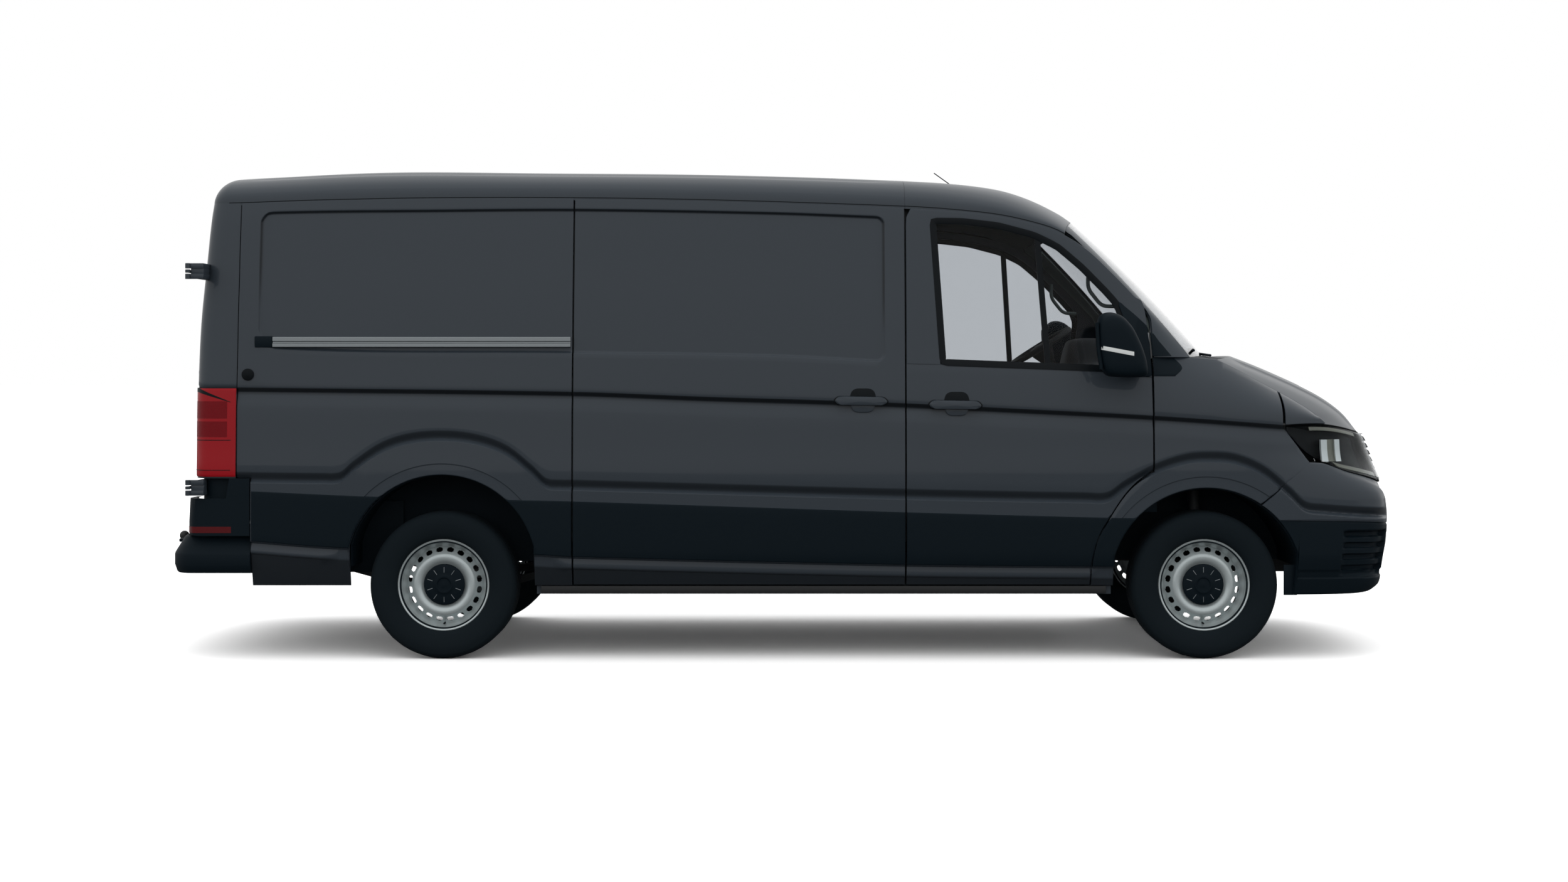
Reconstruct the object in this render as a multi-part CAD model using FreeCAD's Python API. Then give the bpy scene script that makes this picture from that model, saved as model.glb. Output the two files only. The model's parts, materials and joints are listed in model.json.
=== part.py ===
"""Panel van, low roof, medium wheelbase: body panels, doors, wheels and running gear.

Millimetres. +X is the front, +Y the left side, +Z up. The origin is on the ground, in the
middle of the overall length from the tow ball to the nose.
"""

import FreeCAD
import Part
import math
import os

V = FreeCAD.Vector

# Driving dimensions of the whole van
wheelbase = 3640.0
front_overhang = 1000.0
rear_overhang = 1346.0
tow_reach = 157.0
body_width = 2040.0
width_over_mirrors = 2427.0
roof_height = 2362.0
track = 1716.0
tyre_radius = 352.0
tyre_width = 235.0
rim_radius = 220.0
sill_height = 352.0

# Walls, gaps and general clearances
side_wall = 50.0
door_wall = 62.0
roof_wall = 40.0
skin_wall = 25.0
glass_wall = 5.0
shut_gap = 7.0
touch = 0.3
fit = 0.8
post_clear = 1.3
seam_clear = 1.6
roof_seam = 4.0
overrun = 400.0

# Stations along the body, measured from the axles and the tail
overall_length = wheelbase + front_overhang + rear_overhang + tow_reach
nose_x = overall_length / 2
front_axle_x = nose_x - front_overhang
rear_axle_x = front_axle_x - wheelbase
bumper_back_x = rear_axle_x - rear_overhang
half_width = body_width / 2
bumper_depth = 168.0
rear_face_x = bumper_back_x + bumper_depth
cab_door_setback = 250.0
cab_door_length = 1180.0
sliding_door_length = 1588.0
door_front_x = front_axle_x - cab_door_setback
b_post_x = door_front_x - cab_door_length
c_post_x = b_post_x - sliding_door_length
corner_depth = 200.0
corner_x = rear_face_x + corner_depth
body_span = door_front_x - rear_face_x

# Waist, belt and floor heights
floor_height = 590.0
floor_wall = 30.0
cab_floor_height = 660.0
belt_height = 1352.0
scuttle_height = 1443.0
waist_height = 1168.0
door_bottom = 352.0


def hermite(points, x):
    """Smooth curve through a table of points, read at x; straight beyond its ends."""
    if x <= points[0][0]:
        return points[0][1]
    if x >= points[-1][0]:
        return points[-1][1]
    last = len(points) - 1
    slopes = []
    for i in range(last + 1):
        low = points[max(i - 1, 0)]
        high = points[min(i + 1, last)]
        slopes.append((high[1] - low[1]) / (high[0] - low[0]))
    i = max(k for k in range(last) if points[k][0] <= x)
    (x0, y0), (x1, y1) = points[i], points[i + 1]
    span = x1 - x0
    t = (x - x0) / span
    a = 2 * t**3 - 3 * t**2 + 1
    b = t**3 - 2 * t**2 + t
    c = 3 * t**2 - 2 * t**3
    d = t**3 - t**2
    return a * y0 + b * span * slopes[i] + c * y1 + d * span * slopes[i + 1]


def ease(low, high, x):
    """Zero below low, one above high, smooth between."""
    t = min(max((x - low) / (high - low), 0), 1)
    return t * t * (3 - 2 * t)


def steps(low, high, count):
    """Count + 1 evenly spaced values from low to high."""
    return [low + (high - low) * i / count for i in range(count + 1)]


def scaled(shares, across, up):
    """A table of shares turned into millimetres."""
    return [(a * across, b * up) for a, b in shares]


def surface(rows):
    """One smooth surface through a grid of points."""
    found = Part.BSplineSurface()
    found.interpolate(rows)
    return found


def borders(found):
    """The four border edges of a surface."""
    u0, u1, v0, v1 = found.bounds()
    return [
        found.uIso(u0).toShape(),
        found.uIso(u1).toShape(),
        found.vIso(v0).toShape(),
        found.vIso(v1).toShape(),
    ]


def panel(outer, inner):
    """A closed panel between an outer and an inner grid of points."""
    front = surface(outer)
    back = surface(inner)
    faces = [front.toShape(), back.toShape()]
    for a, b in zip(borders(front), borders(back)):
        faces.append(Part.makeRuledSurface(a, b))
    shell = Part.makeShell(faces)
    shell.sewShape()
    solid = Part.makeSolid(shell)
    if solid.Volume < 0:
        solid.reverse()
    return solid


def inset(rows, wall):
    """The grid moved along its own normals, towards the middle of the van."""
    i = len(rows) // 2
    j = len(rows[i]) // 2
    middle = rows[i][j]
    normal = (rows[i + 1][j] - middle).cross(rows[i][j + 1] - middle)
    if normal.dot(middle - V(0, 0, floor_height)) < 0:
        wall = -wall
    moved = []
    for i, row in enumerate(rows):
        new = []
        for j, point in enumerate(row):
            along = rows[min(i + 1, len(rows) - 1)][j] - rows[max(i - 1, 0)][j]
            across = row[min(j + 1, len(row) - 1)] - row[max(j - 1, 0)]
            normal = along.cross(across)
            new.append(point - normal.normalize() * wall)
        moved.append(new)
    return moved


def wire_xz(corners, y):
    """A closed outline in a plane of constant y; each corner is (x, z, radius)."""
    edges = []
    ends = []
    count = len(corners)
    for i in range(count):
        before = corners[i - 1]
        here = corners[i]
        after = corners[(i + 1) % count]
        p = V(here[0], y, here[1])
        to_before = (V(before[0], y, before[1]) - p)
        to_after = (V(after[0], y, after[1]) - p)
        half = to_before.getAngle(to_after) / 2
        radius = here[2]
        if radius <= 0 or half > math.pi / 2 * 0.998:
            ends.append((p, p))
            continue
        reach = radius / math.tan(half)
        reach = min(reach, to_before.Length * 0.49, to_after.Length * 0.49)
        radius = reach * math.tan(half)
        a = p + to_before.normalize() * reach
        b = p + to_after.normalize() * reach
        middle = (to_before + to_after).normalize()
        centre_far = math.hypot(radius, reach)
        edges.append(Part.Arc(a, p + middle * (centre_far - radius), b).toShape())
        ends.append((a, b))
    for i in range(count):
        a = ends[i][1]
        b = ends[(i + 1) % count][0]
        if (a - b).Length > 1e-6:
            edges.append(Part.LineSegment(a, b).toShape())
    return Part.Wire(Part.sortEdges(edges)[0])


def prism_xz(corners, y0, y1):
    """A prism along Y from an outline in XZ."""
    face = Part.Face(wire_xz(corners, y0))
    return face.extrude(V(0, y1 - y0, 0))


def prism_z(points, z0, z1):
    """A prism along Z over a straight-sided plan outline."""
    loop = [V(p.x, p.y, z0) for p in points]
    return Part.Face(Part.makePolygon(loop + [loop[0]])).extrude(V(0, 0, z1 - z0))


def ribbon_z(points, wall, z0, z1):
    """An upright wall over a smooth plan curve, its thickness laid towards the van's middle."""
    line = [V(p.x, p.y, z0) for p in points]
    inner = []
    for i, point in enumerate(line):
        along = line[min(i + 1, len(line) - 1)] - line[max(i - 1, 0)]
        normal = V(-along.y, along.x, 0).normalize()
        if normal.dot(V(point.x, point.y, 0)) > 0:
            normal = -normal
        inner.append(point + normal * wall)
    edges = []
    for run in (line, inner):
        curve = Part.BSplineCurve()
        curve.interpolate(run)
        edges.append(curve.toShape())
    for a, b in ((line[0], inner[0]), (line[-1], inner[-1])):
        edges.append(Part.LineSegment(a, b).toShape())
    wire = Part.Wire(Part.sortEdges(edges)[0])
    return Part.Face(wire).extrude(V(0, 0, z1 - z0))


def block(x0, x1, y0, y1, z0, z1):
    """A box between two corners."""
    return Part.makeBox(x1 - x0, y1 - y0, z1 - z0, V(x0, y0, z0))


def cylinder_y(x, z, y0, y1, radius):
    """A round bar along Y."""
    return Part.makeCylinder(radius, y1 - y0, V(x, y0, z), V(0, 1, 0))


def cylinder_z(x, y, z0, z1, radius):
    """A round bar along Z."""
    return Part.makeCylinder(radius, z1 - z0, V(x, y, z0), V(0, 0, 1))


def mirrored(shape):
    """The same shape on the other side of the van."""
    return shape.mirror(V(0, 0, 0), V(0, 1, 0))


def both(shape):
    """A left piece and its right twin as one compound of separate solids."""
    return Part.makeCompound(shape.Solids + mirrored(shape).Solids)


def fused(shapes):
    """Several solids joined into one."""
    result = shapes[0]
    for extra in shapes[1:]:
        result = result.fuse(extra)
    return result.removeSplitter()


def save(name, shape):
    """Write one sub-part."""
    solids = shape.Solids
    kept = solids[0] if len(solids) == 1 else Part.makeCompound(solids)
    print(name, len(solids), "solids", "valid" if kept.isValid() else "INVALID",
          round(kept.Volume / 1e6, 2), "litres")
    kept.exportStep("parts/" + name + ".step")


# Cross-section of the body: height share of the roof, half width share of the body
section_shares = (
    (0.127, 0.950), (0.178, 0.983), (0.215, 1.0), (0.38, 1.0), (0.425, 0.995),
    (0.525, 0.986), (0.62, 0.968), (0.72, 0.946), (0.81, 0.921), (0.89, 0.897), (0.94, 0.874),
)
section = scaled(section_shares, roof_height, half_width)

# The cab narrows towards the windscreen above the waist
cab_narrowing = 75.0
narrowing_low = 1100.0
narrowing_high = 1780.0

# Gutter height along the body, from the tail forward: share of the body span, share of the roof
gutter_shares = (
    (0.0, 0.922), (0.05, 0.925), (0.12, 0.930), (0.25, 0.935), (0.395, 0.935), (0.55, 0.930),
    (0.742, 0.9175), (0.79, 0.9115), (0.84, 0.901), (0.878, 0.885), (0.904, 0.868), (0.93, 0.836),
)
gutter = scaled(gutter_shares, body_span, roof_height)

# Crown of the roof along the centre line, in the same shares
crown_shares = (
    (0.0, 0.978), (0.03, 0.984), (0.075, 0.989), (0.16, 0.9975), (0.23, 1.0), (0.35, 0.9975),
    (0.51, 0.995), (0.64, 0.989), (0.742, 0.9815), (0.79, 0.978), (0.83, 0.972), (0.86, 0.963),
    (0.89, 0.945), (0.92, 0.918), (0.934, 0.9005),
)
crown = scaled(crown_shares, body_span, roof_height)

# Rear face: how far it leans forward with height
rear_lean_shares = (
    (0.12, 0.0), (0.5, 0.0), (0.59, 0.01), (0.685, 0.07), (0.80, 0.26), (0.895, 0.42), (0.96, 0.60),
)
rear_lean = scaled(rear_lean_shares, roof_height, bumper_depth * 0.62)


def side_y(x, z):
    """Outer half width of the body sides."""
    wide = hermite(section, z)
    ahead = min(max((x - b_post_x) / cab_door_length, 0), 1)
    return wide - cab_narrowing * ahead**2 * ease(narrowing_low, narrowing_high, z)


def gutter_z(x):
    """Height of the gutter line."""
    return hermite(gutter, x - rear_face_x)


def crown_z(x):
    """Height of the roof on the centre line."""
    return hermite(crown, x - rear_face_x)


def rear_x(z):
    """Outer face of the tail on the centre line."""
    return rear_face_x + hermite(rear_lean, z)


def side_slab(x0, x1, low, wall, sign, top_gap=0.0, depth=0.0):
    """A side panel from x0 to x1, from a low edge up to the gutter less a gap, at a depth."""
    outer = []
    inner = []
    for x in steps(x0, x1, 10):
        column = steps(low, gutter_z(x) - top_gap, 16)
        outer.append([V(x, sign * (side_y(x, z) - depth), z) for z in column])
        inner.append([V(x, sign * (side_y(x, z) - depth - wall), z) for z in column])
    return panel(outer, inner)


# Wheel arches: centre above the axle, radius and half width of the opening
rear_arch_rise = 78.0
rear_arch_radius = 453.0
rear_arch_half = 440.0
front_arch_rise = 10.0
front_arch_radius = 459.0
front_arch_half = 440.0


def arch_prism(axle_x, rise, radius, half, y0, y1, grow=0.0):
    """The opening over a wheel: a round top with upright legs, open below."""
    centre_z = tyre_radius + rise
    r = radius + grow
    h = half + grow
    shoulder = math.sqrt(r * r - h * h)
    a = V(axle_x - h, y0, centre_z + shoulder)
    b = V(axle_x + h, y0, centre_z + shoulder)
    top = V(axle_x, y0, centre_z + r)
    low_a = V(axle_x - h, y0, -overrun)
    low_b = V(axle_x + h, y0, -overrun)
    wire = Part.Wire([
        Part.Arc(a, top, b).toShape(),
        Part.LineSegment(b, low_b).toShape(),
        Part.LineSegment(low_b, low_a).toShape(),
        Part.LineSegment(low_a, a).toShape(),
    ])
    return Part.Face(wire).extrude(V(0, y1 - y0, 0))


def rear_arch(grow=0.0):
    """The rear arch opening through the whole width."""
    return arch_prism(rear_axle_x, rear_arch_rise, rear_arch_radius, rear_arch_half,
                      -body_width, body_width, grow)


def front_arch(grow=0.0):
    """The front arch opening through the whole width."""
    return arch_prism(front_axle_x, front_arch_rise, front_arch_radius, front_arch_half,
                      -body_width, body_width, grow)


# Cab door outline, front edge from the top rail down: setback shares and height shares
door_edge_shares = (
    (0.349, 0.8555), (0.274, 0.836), (0.176, 0.792), (0.081, 0.743), (0.024, 0.7087),
    (0.0115, 0.6745), (0.0, 0.5695), (0.005, 0.382), (0.10, 0.344), (0.179, 0.2875),
    (0.241, 0.224), (0.256, 0.1485),
)

door_corner = 60.0


def cab_door_corners(gap):
    """Outline of the cab door, smaller than its opening by a gap all round."""
    back = b_post_x + gap
    front = [
        (door_front_x - gap - a * cab_door_length, b * roof_height, door_corner if 0 < i < 9 else 0)
        for i, (a, b) in enumerate(door_edge_shares)
    ]
    top = []
    for share in (1.0, 0.8, 0.62, 0.5, 0.42):
        x = door_front_x - share * cab_door_length
        top.append((max(x, back), gutter_z(x) - gap - roof_seam, 0))
    return [(back, door_bottom + gap, 0)] + top + front[:-1] + [
        (front[-1][0], door_bottom + gap, 0)
    ]


def door_edge_x(z):
    """Front edge of the cab door at a height."""
    table = sorted((b * roof_height, a) for a, b in door_edge_shares)
    return door_front_x - hermite(table, z) * cab_door_length


# Shares across the roof from the centre line to the gutter
across_shares = (0.0, 0.25, 0.5, 0.68, 0.8, 0.88, 0.94, 0.98, 1.0)
cargo_roundness = 6.0
header_roundness = 2.0
tail_radius = 90.0
header_setback = 302.0
header_x = door_front_x - header_setback
header_sweep = 110.0
header_glass_share = 0.858


def arc_height(share, roundness):
    """Height share of a superellipse section at a share of its half width."""
    return math.sqrt(max(1 - abs(share) ** roundness, 0))


def full_across():
    """The across shares from right to left."""
    return [-s for s in reversed(across_shares[1:])] + list(across_shares)


def cargo_roof_rows():
    """Roof over the load space, from the cab seam back and down round the tail."""
    level = gutter_z(corner_x)
    start = rear_x(level) + tail_radius
    rows = []
    for x in steps(b_post_x, start, 9):
        low = gutter_z(x)
        half = side_y(x, low)
        rise = crown_z(x) - low
        rows.append([V(x, s * half, low + rise * arc_height(s, cargo_roundness))
                     for s in full_across()])
    low = gutter_z(start)
    half = side_y(start, low)
    rise = crown_z(start) - low
    for turn in (22, 42, 60, 76, 90):
        a = math.radians(turn)
        x = start - tail_radius * math.sin(a)
        y = half - tail_radius * (1 - math.cos(a))
        drop = math.sqrt(math.cos(a)) if turn < 90 else 0
        rows.append([V(x, s * y, low + rise * drop * arc_height(s, cargo_roundness))
                     for s in full_across()])
    return rows


def cab_roof_rows():
    """Roof over the cab, from the seam forward to the windscreen header."""
    rows = []
    for u in steps(0, 1, 9):
        roundness = cargo_roundness + (header_roundness - cargo_roundness) * u
        row = []
        edge_x = b_post_x + u * (header_x - header_sweep - b_post_x)
        low = gutter_z(edge_x)
        half = side_y(edge_x, low)
        rise = crown_z(b_post_x + u * (header_x - b_post_x)) - low
        for s in full_across():
            x = b_post_x + u * (header_x - header_sweep * s * s - b_post_x)
            row.append(V(x, s * half, low + rise * arc_height(s, roundness)))
        rows.append(row)
    return rows


def roof_panel(rows):
    """A roof panel whose side and seam edges stay square to the gutter and the seam."""
    inner = inset(rows, roof_wall)
    for row, new in zip(rows, inner):
        for j in (0, -1):
            new[j] = V(new[j].x, new[j].y, row[j].z)
    inner[0] = [V(rows[0][0].x, p.y, p.z) for p in inner[0]]
    return panel(rows, inner)


def header_point(share):
    """A point on the windscreen header; share runs across the roof."""
    edge_x = header_x - header_sweep
    low = gutter_z(edge_x)
    half = side_y(edge_x, low)
    rise = crown_z(header_x) - low
    x = header_x - header_sweep * share * share
    return V(x, share * half, low + rise * arc_height(share, header_roundness))


# Windscreen base and the bonnet behind it
screen_base_lead = 120.0
screen_base_x = front_axle_x + screen_base_lead
screen_base_sweep = 180.0
screen_base_half = 900.0
screen_base_rise = 12.0
screen_bulge = 12.0


def screen_point(u, v):
    """Outer face of the windscreen: u down from the header, v across from -1 to 1."""
    top = header_point(v * header_glass_share)
    base = V(screen_base_x - screen_base_sweep * v * v, screen_base_half * v,
             scuttle_height + screen_base_rise * (1 - v * v))
    lift = screen_bulge * 4 * u * (1 - u)
    return top + (base - top) * u + V(lift, 0, lift)


def windscreen():
    """Laminated glass from the header to the scuttle."""
    rows = [[screen_point(u, v) for v in steps(1, -1, 12)] for u in steps(0, 1, 8)]
    return panel(rows, inset(rows, glass_wall))


pillar_start = 0.015


def cab_side_frame():
    """Left windscreen pillar, from the glass edge out to the door line."""
    rows = []
    glass_edge = header_x - header_sweep
    low = gutter_z(glass_edge)
    for u in steps(pillar_start, 1, 10):
        inner = screen_point(u, 1)
        z = low + (scuttle_height - low) * u
        x = min(door_edge_x(z), glass_edge + (door_front_x - glass_edge) * min(u * 1.5, 1))
        x = x - 2 * skin_wall
        edge = V(x, side_y(x, z), z)
        row = []
        for w in steps(pillar_start, 1, 6):
            point = inner + (edge - inner) * w
            swell = skin_wall * 4 * w * (1 - w)
            row.append(point + V(swell * 0.5, swell, 0))
        rows.append(row)
    inner = inset(rows, 2 * skin_wall)
    inner[-1] = [V(p.x, p.y, scuttle_height) for p in inner[-1]]
    behind = block(b_post_x, glass_edge + seam_clear, 0, body_width, low - skin_wall, roof_height)
    return panel(rows, inner).cut(door_opening()).cut(behind)


def door_opening():
    """Prism of the left cab door opening."""
    return prism_xz(cab_door_corners(-shut_gap / 2), 0, body_width)


# Bonnet: stations on the centre line and along its side seam, as shares of its run and height
bonnet_back_lead = 258.0
bonnet_side_lead = 78.0
bonnet_back_x = front_axle_x + bonnet_back_lead
bonnet_side_x = front_axle_x + bonnet_side_lead
bonnet_run = 655.0
bonnet_side_run = 522.0
bonnet_half = 846.0
bonnet_top = 1452.0
bonnet_side_top = 1432.0
bonnet_drop = 387.0
bonnet_side_drop = 314.0
bonnet_wall = 22.0
bonnet_centre_shares = (
    (0.0, 0.0), (0.168, 0.106), (0.351, 0.235), (0.55, 0.388), (0.733, 0.556), (0.885, 0.755),
    (1.0, 1.0),
)
bonnet_side_shares = (
    (0.0, 0.0), (0.172, 0.146), (0.345, 0.30), (0.536, 0.471), (0.728, 0.646), (0.88, 0.81),
    (1.0, 1.0),
)


def bonnet_point(u, v):
    """Outer face of the bonnet: u forward, v across from -1 to 1."""
    count = len(bonnet_centre_shares) - 1
    centre_x = hermite([(i / count, p[0]) for i, p in enumerate(bonnet_centre_shares)], u)
    centre_z = hermite([(i / count, p[1]) for i, p in enumerate(bonnet_centre_shares)], u)
    side_x = hermite([(i / count, p[0]) for i, p in enumerate(bonnet_side_shares)], u)
    side_z = hermite([(i / count, p[1]) for i, p in enumerate(bonnet_side_shares)], u)
    middle = V(bonnet_back_x + bonnet_run * centre_x, 0, bonnet_top - bonnet_drop * centre_z)
    edge = V(bonnet_side_x + bonnet_side_run * side_x, 0,
             bonnet_side_top - bonnet_side_drop * side_z)
    blend = abs(v) ** 2.3
    point = middle + (edge - middle) * blend
    return V(point.x, v * bonnet_half, point.z)


# Bonnet hinges: a pin from each wing into an eye under the bonnet's rear corner
bonnet_hinge_setback = 13.5
bonnet_hinge_drop = 6.0
bonnet_hinge_x = bonnet_side_x - bonnet_hinge_setback
bonnet_hinge_z = bonnet_side_top - bonnet_hinge_drop
bonnet_pin_radius = 4.0
bonnet_eye_radius = 8.0
bonnet_eye_width = 20.0
bonnet_eye_inset = 4.0


def bonnet_eye():
    """Eye of the left bonnet hinge, reaching forward into the bonnet's frame."""
    high_y = bonnet_half - bonnet_eye_inset
    low_y = high_y - bonnet_eye_width
    x = bonnet_hinge_x
    z = bonnet_hinge_z
    eye = cylinder_y(x, z, low_y, high_y, bonnet_eye_radius)
    arm = prism_xz([(x, z, 0), (bonnet_side_x, z, 0),
                    (bonnet_side_x + bonnet_wall, z - bonnet_eye_radius, 0),
                    (bonnet_side_x + bonnet_wall, z - bonnet_wall, 0),
                    (x, z - bonnet_eye_radius * 2, 0)], low_y, high_y)
    return eye.fuse(arm)


def bonnet_pin(radius):
    """Pin of the left bonnet hinge, from inside the wing through the eye."""
    low_y = bonnet_half - bonnet_eye_inset - bonnet_eye_width
    return cylinder_y(bonnet_hinge_x, bonnet_hinge_z, low_y, bonnet_half + skin_wall, radius)


def bonnet():
    """Bonnet skin and its inner frame, with an eye at each rear corner."""
    rows = [[bonnet_point(u, v) for v in steps(1, -1, 12)] for u in steps(0, 1, 12)]
    shape = fused([panel(rows, inset(rows, bonnet_wall)), bonnet_eye(), mirrored(bonnet_eye())])
    bore = bonnet_pin(bonnet_pin_radius + touch)
    return shape.cut(bore).cut(mirrored(bore))


cowl_share = 0.962


def cowl():
    """Scuttle panel between the windscreen and the bonnet, just below both."""
    rows = []
    sink = bonnet_wall * 0.5
    for u in steps(0, 1, 4):
        row = []
        for v in steps(cowl_share, -cowl_share, 10):
            base = screen_point(1, v)
            front = bonnet_point(0, v) - V(shut_gap + bonnet_wall * 0.7, 0, 0)
            point = base + (front - base) * u
            row.append(point - V(0, 0, sink * math.sin(math.pi * u / 2)))
        rows.append(row)
    return panel(rows, inset(rows, bonnet_wall))


# Nose plan: shares along and across, low at the bumper and high at the lamps
nose_side_lead = 228.0
nose_side_x = front_axle_x + nose_side_lead
nose_low_shares = (
    (1.0, 0.0), (0.988, 0.25), (0.953, 0.5), (0.908, 0.70), (0.876, 0.81), (0.84, 0.885),
    (0.79, 0.94), (0.70, 0.975), (0.54, 0.993), (0.27, 1.0), (0.0, 1.0),
)
nose_high_shares = (
    (1.0, 0.0), (0.985, 0.25), (0.93, 0.5), (0.84, 0.68), (0.74, 0.78), (0.62, 0.86),
    (0.48, 0.92), (0.34, 0.96), (0.20, 0.985), (0.08, 0.997), (0.0, 1.0),
)
nose_low_z = 760.0
nose_high_z = 1010.0

# Profile of the nose on the centre line: height share, setback share
nose_reach = 100.0
nose_profile_shares = (
    (0.127, 0.80), (0.148, 0.38), (0.17, 0.28), (0.203, 0.19), (0.237, 0.04), (0.27, 0.0),
    (0.30, 0.01), (0.328, 0.10), (0.341, 0.10), (0.356, 0.16), (0.39, 0.32), (0.423, 0.54),
    (0.451, 0.83), (0.48, 1.30),
)
nose_profile = scaled(nose_profile_shares, roof_height, nose_reach)


def nose_point(t, z, out=0.0):
    """Outer face of the nose at a height; t runs from -1 on the right to 1 on the left."""
    count = len(nose_low_shares) - 1
    at = abs(t)
    mix = ease(nose_low_z, nose_high_z, z)
    tables = []
    for shares in (nose_low_shares, nose_high_shares):
        tables.append([(i / count, p) for i, p in enumerate(shares)])
    along = 0
    across = 0
    for table, weight in zip(tables, (1 - mix, mix)):
        along += weight * hermite([(k, p[0]) for k, p in table], at)
        across += weight * hermite([(k, p[1]) for k, p in table], at)
    front = nose_x - hermite(nose_profile, z)
    wide = hermite(section, z)
    x = nose_side_x + (front + out - nose_side_x) * along
    y = (wide + out) * across
    return V(x, y if t >= 0 else -y, z)


def nose_patch(ts, low, high, rows_up, wall, out=0.0):
    """A panel on the nose between two edges given as heights along t."""
    outer = []
    for k in steps(0, 1, rows_up):
        outer.append([nose_point(t, low(t) + (high(t) - low(t)) * k, out) for t in ts])
    return panel(outer, inset(outer, wall))


# Edges of the lamp, grille and bumper along the nose: t share, height share of the roof
lamp_t = (0.275, 0.78)
grille_t = lamp_t[0] - touch / half_width
grille_top_shares = ((0.0, 0.4475), (0.275, 0.4505))
lamp_low_shares = ((0.26, 0.356), (0.33, 0.3595), (0.5, 0.372), (0.6, 0.384), (0.655, 0.403),
                   (0.72, 0.436), (0.78, 0.468))
lamp_high_shares = ((0.26, 0.4545), (0.31, 0.4575), (0.42, 0.4665), (0.54, 0.4735),
                    (0.65, 0.4745), (0.78, 0.4725))
bumper_top_shares = ((0.0, 0.341), (0.2, 0.343), (0.26, 0.3525), (0.33, 0.356), (0.5, 0.3685),
                     (0.6, 0.380), (0.675, 0.3967), (1.0, 0.3967))
bumper_split_shares = ((0.0, 0.268), (0.4, 0.272), (0.7, 0.279), (1.0, 0.282))
bumper_bottom_shares = ((0.0, 0.150), (0.4, 0.146), (0.6, 0.135), (0.8, 0.131), (1.0, 0.130))
bumper_wall = 30.0
lamp_wall = 45.0
bonnet_front_gap = 9.0
tab_height = 40.0


def share_height(shares, t):
    """Height along the nose from a table of shares."""
    return roof_height * hermite(shares, abs(t))


def bumper_seam():
    """Prism ahead of the seam between the wing and the bumper."""
    arch_x = front_axle_x + front_arch_half * 0.61
    arch_z = tyre_radius + front_arch_radius * 0.86
    lamp_x = front_axle_x + front_arch_half * 1.137
    lamp_z = roof_height * bumper_top_shares[-1][1]
    slope = (lamp_z - arch_z) / (lamp_x - arch_x)
    low_x = arch_x - front_arch_half
    return [(low_x, arch_z - slope * front_arch_half, 0),
            (lamp_x, lamp_z, 0),
            (lamp_x, roof_height, 0),
            (nose_x + overrun, roof_height, 0),
            (nose_x + overrun, -overrun, 0),
            (low_x, -overrun, 0)]


def front_bumper_upper():
    """Painted upper bumper round the nose."""
    shape = nose_patch(steps(-1, 1, 40), lambda t: share_height(bumper_split_shares, t),
                       lambda t: share_height(bumper_top_shares, t), 5, bumper_wall)
    shape = shape.common(prism_xz(bumper_seam(), -body_width, body_width))
    return shape.cut(front_arch())


def front_bumper_lower():
    """Black lower bumper with its spoiler lip."""
    shape = nose_patch(steps(-1, 1, 40), lambda t: share_height(bumper_bottom_shares, t),
                       lambda t: share_height(bumper_split_shares, t), 7, bumper_wall)
    shape = shape.common(prism_xz(bumper_seam(), -body_width, body_width))
    return shape.cut(front_arch())


def grille_end():
    """Widest half width of the grille's end, where the lamp's flank stands."""
    low = share_height(bumper_top_shares, grille_t)
    high = share_height(grille_top_shares, grille_t)
    return max(nose_point(grille_t, z).y for z in steps(low, high, 8)) + fit


def headlamp():
    """Left headlamp unit, square to the grille's end."""
    shape = nose_patch(steps(lamp_t[0], lamp_t[1], 12),
                       lambda t: share_height(lamp_low_shares, t),
                       lambda t: share_height(lamp_high_shares, t) - bonnet_front_gap, 6,
                       lamp_wall)
    return shape.cut(block(nose_side_x, nose_x, 0, grille_end(), 0, roof_height))


def grille():
    """Radiator grille between the lamps, with a tab at each end against the lamp's flank."""
    shape = nose_patch(steps(-grille_t, grille_t, 16),
                       lambda t: share_height(bumper_top_shares, t) + shut_gap * 2,
                       lambda t: share_height(grille_top_shares, t), 6, bumper_wall)
    z = (share_height(bumper_top_shares, grille_t) + share_height(grille_top_shares, grille_t)) / 2
    end = nose_point(grille_t, z)
    tab = block(end.x - bumper_wall * 0.85, end.x - bumper_wall * 0.4, end.y - bumper_wall,
                grille_end() - touch, z - tab_height / 2, z + tab_height / 2)
    return fused([shape, tab, mirrored(tab)])


# Cab door hinges: knuckles in the shut line at the door's front edge, on its axis
door_axis_stand = 4.0
door_axis_y = half_width + door_axis_stand
knuckle_radius = shut_gap / 2 - touch
knuckle_height = 25.0
knuckle_root = 12.0
knuckle_low_drop = 223.0
knuckle_high_drop = 53.0
knuckle_low_z = waist_height - knuckle_low_drop
knuckle_high_z = waist_height - knuckle_high_drop


def door_knuckles(way):
    """Left door's hinge knuckles: the wing's, with way 1, stand below the door's, with way -1."""
    pieces = []
    for z in (knuckle_low_z, knuckle_high_z):
        low, high = sorted((z - way * touch / 2, z - way * knuckle_height))
        root = shut_gap / 2 + knuckle_root
        x0, x1 = door_front_x, door_front_x + root
        if way < 0:
            x0, x1 = door_front_x - root, door_front_x - knuckle_radius * 0.75
        inner = side_y(door_front_x, z) - knuckle_root
        pieces.append(cylinder_z(door_front_x, door_axis_y, low, high, knuckle_radius))
        pieces.append(block(x0, x1, inner, door_axis_y, low, high))
    return pieces


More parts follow.
